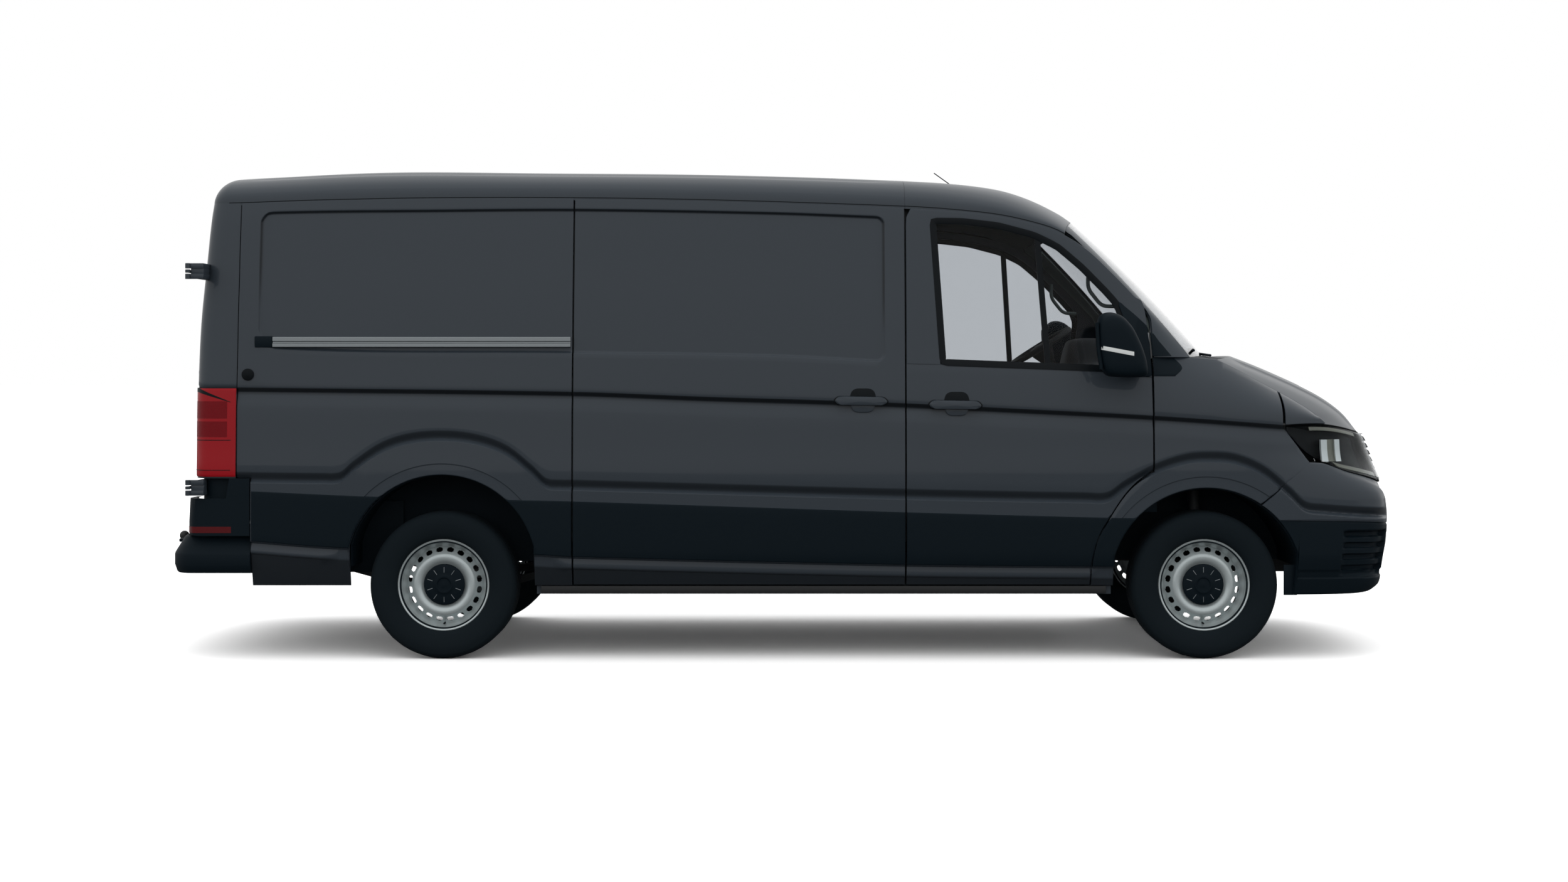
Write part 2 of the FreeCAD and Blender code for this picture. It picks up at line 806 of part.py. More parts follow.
def wing():
    """Left front wing from the door to the lamp, over the arch."""
    low = tyre_radius * 0.9
    rows = []
    inner = []
    sides = steps(door_front_x - cab_door_length * 0.27, nose_side_x, 8)
    tips = steps(1, 0.52, 6)[1:]
    stations = [("x", x) for x in sides] + [("t", t) for t in tips]
    for kind, value in stations:
        row = []
        lower = steps(low, waist_height - skin_wall, 7)
        for z in lower:
            if kind == "x":
                row.append(V(value, side_y(value, z), z))
            else:
                row.append(nose_point(value, z))
        foot = row[-1]
        top_y, top_z = wing_top(foot.x)
        for k in steps(0, 1, 5)[1:]:
            z = foot.z + (top_z - foot.z) * k
            y = top_y + (foot.y - top_y) * (1 - k**2.2)
            row.append(V(foot.x, y, z))
        rows.append(row)
    inner = inset(rows, skin_wall)
    shape = panel(rows, inner)
    shape = shape.cut(door_opening()).cut(front_arch())
    shape = shape.cut(prism_xz(bumper_seam(), 0, body_width))
    under_bonnet = block(bonnet_side_x - shut_gap * 3, nose_x, 0, bonnet_half + shut_gap * 0.9, 0,
                         roof_height)
    shape = shape.cut(lamp_window()).cut(under_bonnet)
    return fused([shape, bonnet_pin(bonnet_pin_radius)] + door_knuckles(1))


def lamp_window():
    """Prism cleared for the lamp where it wraps into the wing."""
    tip_x = nose_point(lamp_t[1], waist_height * 0.95).x - bonnet_front_gap - shut_gap
    corner_x_front = front_axle_x + front_arch_half * 1.137
    lamp_z = roof_height * bumper_top_shares[-1][1]
    high = roof_height * lamp_high_shares[-1][1]
    return prism_xz([(tip_x, high, 0), (corner_x_front, lamp_z, 0),
                     (nose_x, lamp_z, 0), (nose_x, high, 0)], 0, body_width)


def wing_top(x):
    """Upper edge of the wing at a station: half width and height."""
    if x < bonnet_side_x:
        start = side_y(door_front_x, scuttle_height)
        base_x = screen_base_x - screen_base_sweep
        if x < base_x:
            share = max((x - door_front_x) / (base_x - door_front_x), 0)
            return start + (screen_base_half - start) * share, scuttle_height
        share = (x - base_x) / (bonnet_side_x - base_x)
        wide = screen_base_half + (bonnet_half + shut_gap - screen_base_half) * share
        return wide, scuttle_height + (bonnet_side_top - scuttle_height) * share
    count = len(bonnet_side_shares) - 1
    table = [(bonnet_side_x + bonnet_side_run * p[0], p[1]) for p in bonnet_side_shares]
    drop = hermite(table, x)
    return bonnet_half + shut_gap, bonnet_side_top - bonnet_side_drop * drop


# Tail: door half width and heights, corner radius, lamps and bumper
rear_door_half = 800.0
rear_door_bottom = 600.0
rear_door_wall = 60.0
lamp_bottom = 873.0
lamp_top = 1294.0
tail_lamp_wall = 28.0
tail_lamp_stand = 5.0
bumper_top_z = 866.0
bumper_step_z = 590.0
bumper_bottom_z = 413.0
bumper_corner_stand = 38.0
rear_bumper_wall = 40.0
bumper_return = 68.0
bumper_front_x = corner_x + bumper_return
roof_lamp_gap = 6.0
roof_lamp_round = 8.0


def corner_row(z, out=0.0, to_y=None, from_x=None):
    """The left rear corner in plan at a height, from the side seam round to the door edge."""
    side = side_y(corner_x, z) + out
    back = rear_x(z) - out
    radius = tail_radius + out
    start = back + radius
    from_x = corner_x if from_x is None else from_x
    to_y = rear_door_half + shut_gap / 2 if to_y is None else to_y
    row = [V(x, side, z) for x in steps(from_x, start, 2)]
    for turn in (22.5, 45, 67.5, 90):
        a = math.radians(turn)
        row.append(V(start - radius * math.sin(a), side - radius * (1 - math.cos(a)), z))
    low = row[-1].y
    row += [V(back, y, z) for y in steps(low, to_y, 2)[1:]]
    return row


def rear_corner():
    """Left corner post, open where the tail lamp sits, on an inner post."""
    level = gutter_z(corner_x) - roof_seam
    rows = [corner_row(z) for z in steps(bumper_top_z, level, 12)]
    shape = panel(rows, inset(rows, side_wall))
    middle = (lamp_bottom + lamp_top) / 2
    seat = corner_row(lamp_top, -tail_lamp_wall - 1.5 * tail_lamp_stand,
                      rear_door_half - side_wall)
    far = [V(rear_face_x - side_wall, rear_door_half - side_wall, middle),
           V(rear_face_x - side_wall, half_width + side_wall, middle),
           V(corner_x, half_width + side_wall, middle)]
    shape = shape.cut(prism_z(seat + far, lamp_bottom - seam_clear, lamp_top + seam_clear))
    post = block(rear_face_x + side_wall, corner_x - side_wall, rear_door_half + shut_gap,
                 half_width - 2.5 * side_wall, bumper_bottom_z + rear_bumper_wall,
                 bumper_top_z + side_wall)
    return fused([shape, post] + hinge_lugs())


def tail_lamp():
    """Left tail lamp, wrapped round the corner in its pocket."""
    heights = steps(lamp_bottom + touch, lamp_top - touch, 3)
    rows = [corner_row(z, tail_lamp_stand, rear_door_half + shut_gap, corner_x - touch)
            for z in heights]
    return panel(rows, inset(rows, tail_lamp_wall + tail_lamp_stand - touch))


def roof_lamp():
    """High brake lamp on the rear edge of the roof."""
    front = corner_x - corner_depth * 0.22
    back = rear_x(roof_height) - roof_lamp_gap
    half = rear_door_half * 0.4
    top = crown_z(front) + skin_wall * 0.8
    low = crown_z(back) - skin_wall * 2.4
    shape = prism_xz([(front, crown_z(front) - touch, 0), (front, top - skin_wall * 0.6, roof_lamp_round),
                      (back + skin_wall, top, roof_lamp_round),
                      (back, low + skin_wall, roof_lamp_round), (back, low, 0),
                      (back + skin_wall * 2, low, 0)], -half, half)
    rows = cargo_roof_rows()
    return shape.cut(panel(rows, inset(rows, roof_wall * 2)))


def rear_door(sign):
    """One rear door: outer skin over a slightly smaller inner frame."""
    top = gutter_z(corner_x) - shut_gap
    low_y = shut_gap * 0.8
    high_y = rear_door_half - shut_gap / 2
    outer = []
    inner = []
    for z in steps(rear_door_bottom, top, 12):
        outer.append([V(rear_x(z), sign * y, z) for y in steps(low_y, high_y, 4)])
        inner.append([V(rear_x(z) + rear_door_wall, sign * y, z)
                      for y in steps(low_y + shut_gap, high_y - touch, 4)])
    return panel(outer, inner)


# Rear door hinges: pins stand outside the corner so that the doors fold along the sides
hinge_pin_stand = 30.0
hinge_pin_y = half_width + hinge_pin_stand
hinge_pin_back = 20.0
hinge_pin_radius = 12.0
hinge_strap = 9.0
hinge_low_z = 822.0
hinge_high_z = 1850.0
hinge_heights = (hinge_low_z, hinge_high_z)
hinge_height = 75.0
hinge_gap = 5.0
rear_hinge_x = rear_face_x - hinge_pin_back


def hinge_strap_solid(z):
    """Door half of a hinge: a strap on the skin and its knuckle on the pin axis."""
    third = hinge_height / 3
    low = z - third / 2 + hinge_gap
    high = z + third / 2 - hinge_gap
    knuckle = cylinder_z(rear_hinge_x, hinge_pin_y, low, high, hinge_pin_radius)
    strap = block(rear_hinge_x - hinge_strap / 2, rear_hinge_x + hinge_strap / 2,
                  rear_door_half * 0.82, hinge_pin_y, low, high)
    pad = block(rear_hinge_x - hinge_strap / 2, rear_x(z) + rear_door_wall / 2,
                rear_door_half * 0.82, rear_door_half - shut_gap * 1.5, low, high)
    return fused([knuckle, strap, pad])


def hinge_lugs():
    """Body half of the left hinges: two lugs each, reaching back from the corner post."""
    post_outer_y = half_width - 2.5 * side_wall
    pieces = []
    for z in hinge_heights:
        third = hinge_height / 3
        for low in (z - hinge_height / 2, z + third / 2):
            arm = block(rear_hinge_x, corner_x - corner_depth * 0.35,
                        hinge_pin_y - hinge_pin_radius * 0.7, hinge_pin_y, low, low + third)
            root = block(corner_x - corner_depth * 0.6, corner_x - corner_depth * 0.35,
                         post_outer_y - side_wall / 2 if z < bumper_top_z else
                         side_y(corner_x, z) - side_wall / 2, hinge_pin_y, low, low + third)
            eye = cylinder_z(rear_hinge_x, hinge_pin_y, low, low + third, hinge_pin_radius)
            pieces.append(fused([arm, root, eye]))
    return pieces


def rear_bumper():
    """Step bumper across the tail with a cover up each corner."""
    full = bumper_back_x
    side = side_y(corner_x, bumper_step_z) - touch
    half = []
    for share in (0.0, 0.3, 0.55, 0.75, 0.86):
        half.append(V(full + bumper_depth * 0.42 * share**2.5, side * share, 0))
    last = half[-1]
    reach = tail_radius * 1.2
    for share in (0.3, 0.6, 0.85, 1.0):
        a = share * math.pi / 2
        half.append(V(last.x + reach * (1 - math.cos(a)),
                      last.y + (side - last.y) * math.sin(a), 0))
    half += [V(x, side, 0) for x in steps(half[-1].x, bumper_front_x, 2)[1:]]
    full_row = [V(p.x, -p.y, 0) for p in reversed(half[1:])] + half
    beam = ribbon_z(full_row, rear_bumper_wall, bumper_bottom_z,
                    bumper_step_z - rear_bumper_wall)
    top = ribbon_z(full_row, rear_bumper_wall, bumper_step_z - rear_bumper_wall, bumper_step_z)
    tread = block(full + rear_bumper_wall * 0.8, rear_face_x + rear_door_wall / 2, -side * 0.84,
                  side * 0.84, bumper_step_z - rear_bumper_wall, bumper_step_z - shut_gap * 3)
    shape = fused([beam, top, tread])
    row = corner_row(bumper_top_z, bumper_corner_stand, rear_door_half + shut_gap * 2,
                     bumper_front_x)
    row = [V(p.x, min(p.y, side), 0) for p in row]
    cover = ribbon_z(row, rear_bumper_wall, bumper_step_z + touch, bumper_top_z - touch)
    low = hinge_heights[0] - hinge_height / 2 - shut_gap
    cover = cover.cut(block(bumper_back_x, corner_x - corner_depth * 0.2, 0, body_width, low,
                            bumper_top_z))
    return [shape, cover, mirrored(cover)]


def tow_bar():
    """Tow ball on its swan neck, carried by a beam under the tail."""
    ball_x = -overall_length / 2 + tow_ball_radius
    neck = tow_ball_radius * 0.62
    ball = Part.makeSphere(tow_ball_radius, V(ball_x, 0, tow_ball_z))
    low = tow_ball_z - tow_drop
    down = cylinder_z(ball_x, 0, low, tow_ball_z, neck)
    elbow = Part.makeSphere(neck, V(ball_x, 0, low))
    run = Part.makeCylinder(neck, rear_face_x + side_wall * 4 - ball_x, V(ball_x, 0, low),
                            V(1, 0, 0))
    beam = block(rear_face_x + side_wall, rear_face_x + side_wall * 4, -rail_y - rail_width,
                 rail_y + rail_width, low - neck * 1.6, low + neck * 1.6)
    hangers = []
    for y in (-rail_y - rail_width, rail_y):
        hangers.append(block(rear_face_x + side_wall, rear_face_x + side_wall * 4, y,
                             y + rail_width, low, rail_low))
    return fused([ball, down, elbow, run, beam] + hangers)


# Underframe, axles and drive pieces
tow_ball_radius = 25.0
tow_ball_z = 522.0
tow_drop = 130.0
rail_y = 400.0
rail_width = 70.0
rail_low = 430.0
rail_height = floor_height - floor_wall - rail_low
member_length = 80.0
bay_half = 525.0
carrier_setback = 180.0
axle_tube_radius = 45.0
liner_wall = 6.0
firewall_setback = 384.0
firewall_x = front_axle_x - firewall_setback
firewall_wall = 20.0
rear_liner_y = half_width - tyre_width * 1.55
sill_half = half_width * 0.95 - skin_wall
sill_wide = 100.0
bulkhead_setback = 160.0
bulkhead_x = b_post_x - bulkhead_setback
bulkhead_wall = 30.0
post_gap = 10.0
post_depth = door_wall + post_gap
post_wall = 50.0


def underframe():
    """Two long rails with cross members and the front carrier."""
    tail = rear_face_x + side_wall
    front = nose_x - carrier_setback
    pieces = []
    for y in (-rail_y - rail_width, rail_y):
        pieces.append(block(tail, front, y, y + rail_width, rail_low, rail_low + rail_height))
    stations = (tail + member_length, rear_axle_x - wheelbase * 0.16,
                rear_axle_x + wheelbase * 0.16, 0, b_post_x, firewall_x - member_length,
                front - member_length)
    for x in stations:
        pieces.append(block(x - member_length / 2, x + member_length / 2, -rail_y, rail_y,
                            rail_low, rail_low + rail_height * 0.8))
    for x in (rear_axle_x + wheelbase * 0.16, 0, b_post_x):
        pieces.append(block(x - member_length / 2, x + member_length / 2,
                            -sill_half + sill_wide + touch, sill_half - sill_wide - touch,
                            rail_low + rail_height * 0.3, rail_low + rail_height))
    pieces.append(block(front - member_length * 1.5, front, -rail_y - rail_width - side_wall * 3,
                        rail_y + rail_width + side_wall * 3, rail_low,
                        rail_low + rail_height))
    return fused(pieces)


def sill(sign):
    """Sill under the doors, between the arches."""
    low = sill_height * 0.88
    front = front_axle_x - front_arch_half - shut_gap
    back = rear_axle_x + rear_arch_half + shut_gap
    top = door_bottom - shut_gap / 2
    inner = sill_half - sill_wide
    outer = block(back, front, inner, sill_half, low, top)
    upright = block(back, front, inner, sill_half - side_wall, top, rail_low + rail_height * 0.6)
    return mounted(fused([outer, upright]), sign)


def floor_pan():
    """Load floor, cab floor with its step and the wall behind the engine bay."""
    side = side_y(b_post_x, floor_height - floor_wall) - post_depth - post_wall - touch
    load = block(rear_face_x + rear_door_wall + shut_gap, bulkhead_x + bulkhead_wall, -side, side,
                 floor_height - floor_wall, floor_height)
    cab = block(bulkhead_x + bulkhead_wall, firewall_x + firewall_wall, -side, side,
                cab_floor_height - floor_wall, cab_floor_height)
    riser = block(bulkhead_x, bulkhead_x + bulkhead_wall, -side, side,
                  floor_height - floor_wall, cab_floor_height)
    wall = block(firewall_x, firewall_x + firewall_wall, -side, side, cab_floor_height,
                 scuttle_height - skin_wall * 3)
    pan = fused([load, cab, riser, wall])
    for sign in (1, -1):
        well = arch_prism(rear_axle_x, rear_arch_rise, rear_arch_radius, rear_arch_half,
                          rear_liner_y, body_width)
        post = block(rear_face_x, corner_x - side_wall + touch, rear_door_half, half_width, 0,
                     roof_height)
        bay = arch_prism(front_axle_x, front_arch_rise, front_arch_radius, front_arch_half,
                         bay_half, body_width)
        pan = pan.cut(mounted(well, sign)).cut(mounted(post, sign)).cut(mounted(bay, sign))
    return pan


def wheel_housing(axle_x, rise, radius, half, inner_y, skin):
    """A left wheel arch liner: a round shell with an inner wall."""
    outer_r = -touch
    inner_r = outer_r - liner_wall
    shell = arch_prism(axle_x, rise, radius, half, inner_y, body_width, outer_r)
    hole = arch_prism(axle_x, rise, radius, half, inner_y + liner_wall, body_width, inner_r)
    keep = side_slab(axle_x - radius, axle_x + radius, rail_low + rail_height * 0.1,
                     half_width - inner_y, 1, 0.0, skin + touch)
    return shell.cut(hole).common(keep)


def bulkhead():
    """Partition between cab and load space, inside the walls and the roof."""
    clear = door_wall + shut_gap
    points = []
    level = gutter_z(bulkhead_x)
    for z in steps(cab_floor_height + touch, level, 10):
        points.append(V(bulkhead_x, side_y(bulkhead_x, z) - clear, z))
    rise = crown_z(bulkhead_x) - level
    half = side_y(bulkhead_x, level)
    for s in (0.9, 0.8, 0.6, 0.3):
        points.append(V(bulkhead_x, s * half - touch,
                        level + rise * arc_height(s, cargo_roundness) - clear * 0.8))
    points[-4] = V(bulkhead_x, half * 0.9 - clear * 0.4, level + rise * 0.3)
    twin = [V(p.x, -p.y, p.z) for p in reversed(points)]
    loop = points + twin
    wall = Part.Face(Part.makePolygon(loop + [loop[0]]))
    return wall.extrude(V(bulkhead_wall, 0, 0))


def door_posts():
    """Hinge, middle and rear posts behind the shut lines, both sides where there is a door."""
    spans = ((door_front_x - post_wall, door_front_x + post_wall * 1.6, 1),
             (door_front_x - post_wall, door_front_x + post_wall * 1.6, -1),
             (b_post_x - post_wall, b_post_x + post_wall, 1),
             (b_post_x - post_wall, b_post_x + post_wall, -1),
             (c_post_x - post_wall, c_post_x + post_wall, -1))
    pieces = []
    for x0, x1, sign in spans:
        low = rail_low + rail_height
        depth = post_depth if x0 > c_post_x else door_wall + post_clear
        wall = post_depth + post_wall - depth
        if c_post_x < x0 < b_post_x:
            wall = wall + fit - touch
        post = side_slab(x0, x1, low, wall, sign, 0.0, depth)
        if x0 > b_post_x + post_wall:
            low = tyre_radius + front_arch_rise + front_arch_radius + side_wall / 2
            keep = block(x0, x1, -body_width, body_width, low, scuttle_height - side_wall)
            flange = side_slab(door_front_x + shut_gap, x1, low, post_depth, sign, 0.0,
                               skin_wall + post_clear)
            below = block(x0, x1, -body_width, body_width, low, waist_height - side_wall)
            post = post.common(keep).fuse(flange.common(below))
        pieces.append(post)
    return pieces


# Cab: seats, dashboard and steering wheel
seat_y = 470.0
seat_width = 480.0
bench_width = 900.0
seat_length = 500.0
seat_pad = 120.0
seat_height = 960.0
backrest_rise = 620.0
backrest_lean = 150.0
headrest_width = 260.0
headrest_rise = 190.0
dash_half = 820.0
dash_round = 40.0
dash_lead = 100.0
dash_brow = 110.0
dash_sink = 28.0
dash_lip = 45.0
dash_back_drop = 60.0
dash_slope = 10.0
dash_ledge_gap = 40.0
cushion_round = 40.0
backrest_round = 30.0
pad_round = 15.0
steering_y = 420.0
steering_setback = 640.0
steering_x = front_axle_x - steering_setback
steering_z = 1500.0
steering_radius = 195.0
steering_rim = 15.0
steering_tilt = 32.0


def seat(y, width, heads):
    """A seat on its plinth: cushion, leaning backrest and headrests."""
    back_x = bulkhead_x + bulkhead_wall + shut_gap
    front_x = back_x + backrest_lean + seat_length
    low = y - width / 2
    high = y + width / 2
    plinth = block(back_x + backrest_lean, front_x - seat_pad, low + seat_pad / 2,
                   high - seat_pad / 2, cab_floor_height + touch, seat_height - seat_pad)
    cushion = prism_xz([(back_x + backrest_lean * 0.4, seat_height - seat_pad, pad_round),
                        (front_x, seat_height - seat_pad, cushion_round),
                        (front_x, seat_height, cushion_round),
                        (back_x + backrest_lean * 0.9, seat_height - seat_pad * 0.2, pad_round)],
                       low, high)
    top = seat_height + backrest_rise
    back = prism_xz([(back_x + backrest_lean * 0.5, seat_height - seat_pad * 0.9, 0),
                     (back_x + backrest_lean * 1.4, seat_height - seat_pad * 0.3, 0),
                     (back_x + seat_pad * 0.9, top, backrest_round), (back_x, top, backrest_round)],
                    low, high)
    pieces = [plinth, cushion, back]
    pitch = width / heads
    for i in range(heads):
        middle = low + pitch * (i + 0.5)
        pieces.append(block(back_x + seat_pad * 0.1, back_x + seat_pad * 0.85,
                            middle - headrest_width / 2, middle + headrest_width / 2,
                            top - seat_pad / 2, top + headrest_rise))
    return fused(pieces)


def dashboard():
    """Dashboard across the cab, with its shelf forward under the windscreen."""
    back = steering_x + dash_lead
    deck = scuttle_height - dash_sink
    ledge = screen_base_x - screen_base_sweep - dash_ledge_gap
    face = firewall_x - touch
    top = deck - dash_lip
    return prism_xz([(back, cab_floor_height * 1.7, dash_round),
                     (back + dash_slope, deck - dash_back_drop, dash_round),
                     (back + dash_brow, deck, dash_round), (ledge, deck, 0), (ledge, top, 0),
                     (face, top, 0), (face, cab_floor_height * 1.45, 0),
                     (face - dash_lead, cab_floor_height * 1.45, dash_round / 2)],
                    -dash_half, dash_half).cut(steering_column(touch))


def steering_wheel():
    """Steering wheel on its column, driver on the left."""
    a = math.radians(steering_tilt)
    axis = V(-math.sin(a), 0, math.cos(a))
    hub = V(steering_x, steering_y, steering_z)
    ring = Part.makeTorus(steering_radius - steering_rim, steering_rim, hub, axis)
    boss = Part.makeCylinder(steering_radius * 0.33, steering_rim * 2, hub - axis * steering_rim,
                             axis)
    pieces = [boss, ring]
    across = axis.cross(V(0, 1, 0))
    for direction in (V(0, 1, 0), V(0, -1, 0), across):
        end = hub + direction * (steering_radius - steering_rim)
        spoke = Part.makeCylinder(steering_rim * 0.8, (end - hub).Length, hub, end - hub)
        pieces.append(spoke)
    pieces.append(steering_column(0))
    return fused(pieces)


def steering_column(clear):
    """The column from the wheel's boss into the dashboard, grown by a clearance."""
    a = math.radians(steering_tilt)
    axis = V(-math.sin(a), 0, math.cos(a))
    hub = V(steering_x, steering_y, steering_z)
    length = steering_radius * 1.35 + clear
    return Part.makeCylinder(steering_rim * 2 + clear, length, hub - axis * length, axis)


# Engine, springs, exhaust and tank
engine_lead = 90.0
engine_length = 550.0
engine_sink = 60.0
engine_drop = 130.0
leaf_eye = 30.0
leaf_wall = 40.0
leaf_gap = 10.0
leaf_bend = 200.0
pipe_radius = 30.0
pipe_tail = 400.0
silencer_length = 560.0
tank_half_height = 90.0


def engine():
    """Engine and gearbox as one plain block, carried between the rails."""
    return block(front_axle_x + engine_lead, front_axle_x + engine_lead + engine_length,
                 -rail_y + touch, rail_y - touch, rail_low - engine_sink,
                 waist_height - engine_drop)


def rear_axle():
    """Beam axle on two leaf springs hung from the rails, with stub ends for the wheels."""
    tip = track / 2 + rim_half_width * bore_share - spindle_gap
    face = track / 2 - rim_half_width * hub_face_share - shut_gap
    tube = cylinder_y(rear_axle_x, tyre_radius, -tip, tip, spindle_radius)
    wide = cylinder_y(rear_axle_x, tyre_radius, -face, face, axle_tube_radius)
    pieces = [tube, wide]
    spring = wheelbase * 0.17
    for sign in (1, -1):
        y = sign * (rail_y + rail_width / 2)
        low = tyre_radius - axle_tube_radius * 1.4
        leaf = prism_xz([(rear_axle_x - spring, rail_low - touch, 0),
                         (rear_axle_x - spring, rail_low - leaf_eye, 0),
                         (rear_axle_x - spring * 0.4, low + leaf_gap, leaf_bend),
                         (rear_axle_x + spring * 0.4, low + leaf_gap, leaf_bend),
                         (rear_axle_x + spring, rail_low - leaf_eye, 0),
                         (rear_axle_x + spring, rail_low - touch, 0),
                         (rear_axle_x + spring * 0.4, low + leaf_gap + leaf_wall, leaf_bend),
                         (rear_axle_x - spring * 0.4, low + leaf_gap + leaf_wall, leaf_bend)],
                        y - rail_width * 0.4, y + rail_width * 0.4)
        pieces.append(leaf)
    return fused(pieces)


def exhaust():
    """Exhaust pipe with its silencer, under the right of the floor."""
    y = -rail_y * 0.45
    pipe = pipe_radius
    z = rail_low - pipe * 3.0 - touch
    front = Part.makeCylinder(pipe, b_post_x + pipe_tail - c_post_x, V(c_post_x, y, z),
                              V(1, 0, 0))
    box = Part.makeCylinder(pipe * 3.0, silencer_length, V(-silencer_length / 2, y, z),
                            V(1, 0, 0))
    hangers = [block(x - pipe / 2, x + pipe / 2, y - pipe / 2, y + pipe / 2, z,
                     rail_low - touch)
               for x in (0, b_post_x)]
    return fused([front, box] + hangers)


def fuel_tank():
    """Plastic fuel tank between the rails, under the cab floor."""
    x0 = b_post_x + member_length
    x1 = firewall_x - member_length * 2
    return block(x0, x1, rail_y * 0.1, rail_y - touch, rail_low - tank_half_height,
                 rail_low + tank_half_height)


# Aerial: foot and rod, and how far each leans back for its height
aerial_setback = 850.0
aerial_foot_radius = 16.0
aerial_tip_radius = 9.0
aerial_foot_height = 24.0
aerial_rod_radius = 2.5
aerial_length = 165.0
aerial_foot_lean_share = 0.4
aerial_lean_share = 1.4


def aerial():
    """Roof aerial leaning back on its foot."""
    foot_x = door_front_x - aerial_setback
    foot_z = crown_z(foot_x)
    foot = Part.makeCone(aerial_foot_radius, aerial_tip_radius, aerial_foot_height,
                         V(foot_x, 0, foot_z + touch - aerial_foot_height / 2),
                         V(-aerial_foot_lean_share, 0, 1))
    rod = Part.makeCylinder(aerial_rod_radius, aerial_length, V(foot_x, 0, foot_z),
                            V(-aerial_lean_share, 0, 1))
    return fused([foot, rod]).cut(roof_panel(cab_roof_rows()))


# Cab door window outline: setback shares of the door, height shares of the roof
window_shares = (
    (0.857, 0.5961), (0.896, 0.8916), (0.766, 0.8908), (0.619, 0.8823), (0.471, 0.8628),
    (0.373, 0.8387), (0.2746, 0.7968), (0.178, 0.7477), (0.1305, 0.721), (0.111, 0.694),
    (0.135, 0.5825),
)
window_corner = 30.0
glass_depth = 14.0


def window_prism(sign):
    """Prism of the cab door window."""
    corners = [(door_front_x - a * cab_door_length, b * roof_height,
                window_corner if i in (0, 1, 10) else door_corner)
               for i, (a, b) in enumerate(window_shares)]
    return prism_xz(corners, 0, sign * body_width)


def header_relief(sign):
    """Space of the cab roof's inner edge over the inside of the front door."""
    xs = steps(header_x - header_sweep * 2.2, header_x, 4)
    high = side_y(header_x, gutter_z(header_x)) - skin_wall / 2
    low_edge = [(x, gutter_z(x) - skin_wall - shut_gap / 2, 0) for x in xs]
    top = [(xs[-1], roof_height, 0), (xs[0], roof_height, 0)]
    return prism_xz(low_edge + top, 0, sign * high)


def cab_door(sign):
    """Front door with its window opening."""
    slab = side_slab(b_post_x - side_wall, door_front_x + side_wall, door_bottom - side_wall,
                     door_wall, sign)
    outline = prism_xz(cab_door_corners(shut_gap / 2), 0, sign * body_width)
    shape = slab.common(outline).cut(window_prism(sign)).cut(header_relief(sign))
    return fused([shape] + [mounted(k, sign) for k in door_knuckles(-1)])


def door_glass(sign):
    """Fixed pane in the front door's window."""
    slab = side_slab(b_post_x, door_front_x, belt_height - side_wall, glass_wall, sign, 0.0,
                     glass_depth)
    return slab.common(window_prism(sign))


# Door mirrors
mirror_back_setback = 287.5
mirror_front_setback = 47.5
mirror_drop = 6.0
mirror_rise = 308.0
mirror_x = (door_front_x - mirror_back_setback, door_front_x - mirror_front_setback)
mirror_z = (belt_height - mirror_drop, belt_height + mirror_rise)
mirror_arm_round = 12.0
mirror_foot_round = 20.0
mirror_width = 150.0
mirror_arm = 32.0


def mirror(sign):
    """Left or right door mirror: housing, two-way arm and foot on the door."""
    outer = width_over_mirrors / 2
    inner = outer - mirror_width
    x0, x1 = mirror_x
    z0, z1 = mirror_z
    deep = x1 - x0
    tall = z1 - z0
    head = prism_xz([(x0, z0, deep * 0.12), (x0 + deep * 0.12, z1, deep * 0.3),
                     (x0 + deep * 0.62, z1, deep * 0.3), (x1 - deep * 0.04, z0 + tall * 0.62,
                                                          deep * 0.4),
                     (x1, z0 + tall * 0.05, deep * 0.12)], inner, outer)
    edges = [e for e in head.Edges
             if e.BoundBox.YLength < touch]
    head = head.makeFillet(deep * 0.1, edges)
    z = z0 + tall * 0.2
    root = side_y(x1, z) - glass_depth
    arm_back = x1 - deep * 0.45
    arm_low = z0 + mirror_arm * 0.4
    arm = prism_xz([(arm_back, arm_low, mirror_arm_round), (x1, arm_low, mirror_arm_round),
                    (x1, z0 + tall * 0.42, mirror_arm_round),
                    (arm_back, z0 + tall * 0.3, mirror_arm_round)], root, inner + touch)
    foot = prism_xz([(x1 - deep * 0.5, belt_height + touch, mirror_arm_round),
                     (door_front_x - shut_gap * 2, belt_height + touch, mirror_arm_round),
                     (door_front_x - shut_gap * 3, z1 - tall * 0.3, mirror_foot_round),
                     (x1 - deep * 0.1, z1 - tall * 0.45, mirror_foot_round)],
                    root, root + glass_depth * 3)
    slab = side_slab(b_post_x, door_front_x + side_wall, door_bottom, door_wall * 2, 1, 0.0,
                     -fit)
    shape = fused([head, arm, foot]).cut(slab)
    shape = max(shape.Solids, key=lambda s: s.Volume)
    return shape if sign > 0 else mirrored(shape)


def sliding_door():
    """Right-hand sliding door in its closed place."""
    return side_slab(c_post_x + shut_gap / 2, b_post_x - shut_gap / 2, door_bottom + shut_gap / 2,
                     door_wall, -1, shut_gap)


# Rail of the sliding door on the rear quarter
rail_top_share = 0.652
rail_tall = 52.0
rail_stand = 12.0
rail_setback = 150.0


def door_rail():
    """Sliding door rail along the rear quarter."""
    x0 = corner_x + rail_setback
    x1 = c_post_x - shut_gap
    z1 = roof_height * rail_top_share
    slab = side_slab(x0, x1, door_bottom, side_wall * 0.4 + rail_stand, -1, 0.0, -rail_stand)
    keep = block(x0, x1, -body_width, 0, z1 - rail_tall, z1)
    return slab.common(keep)


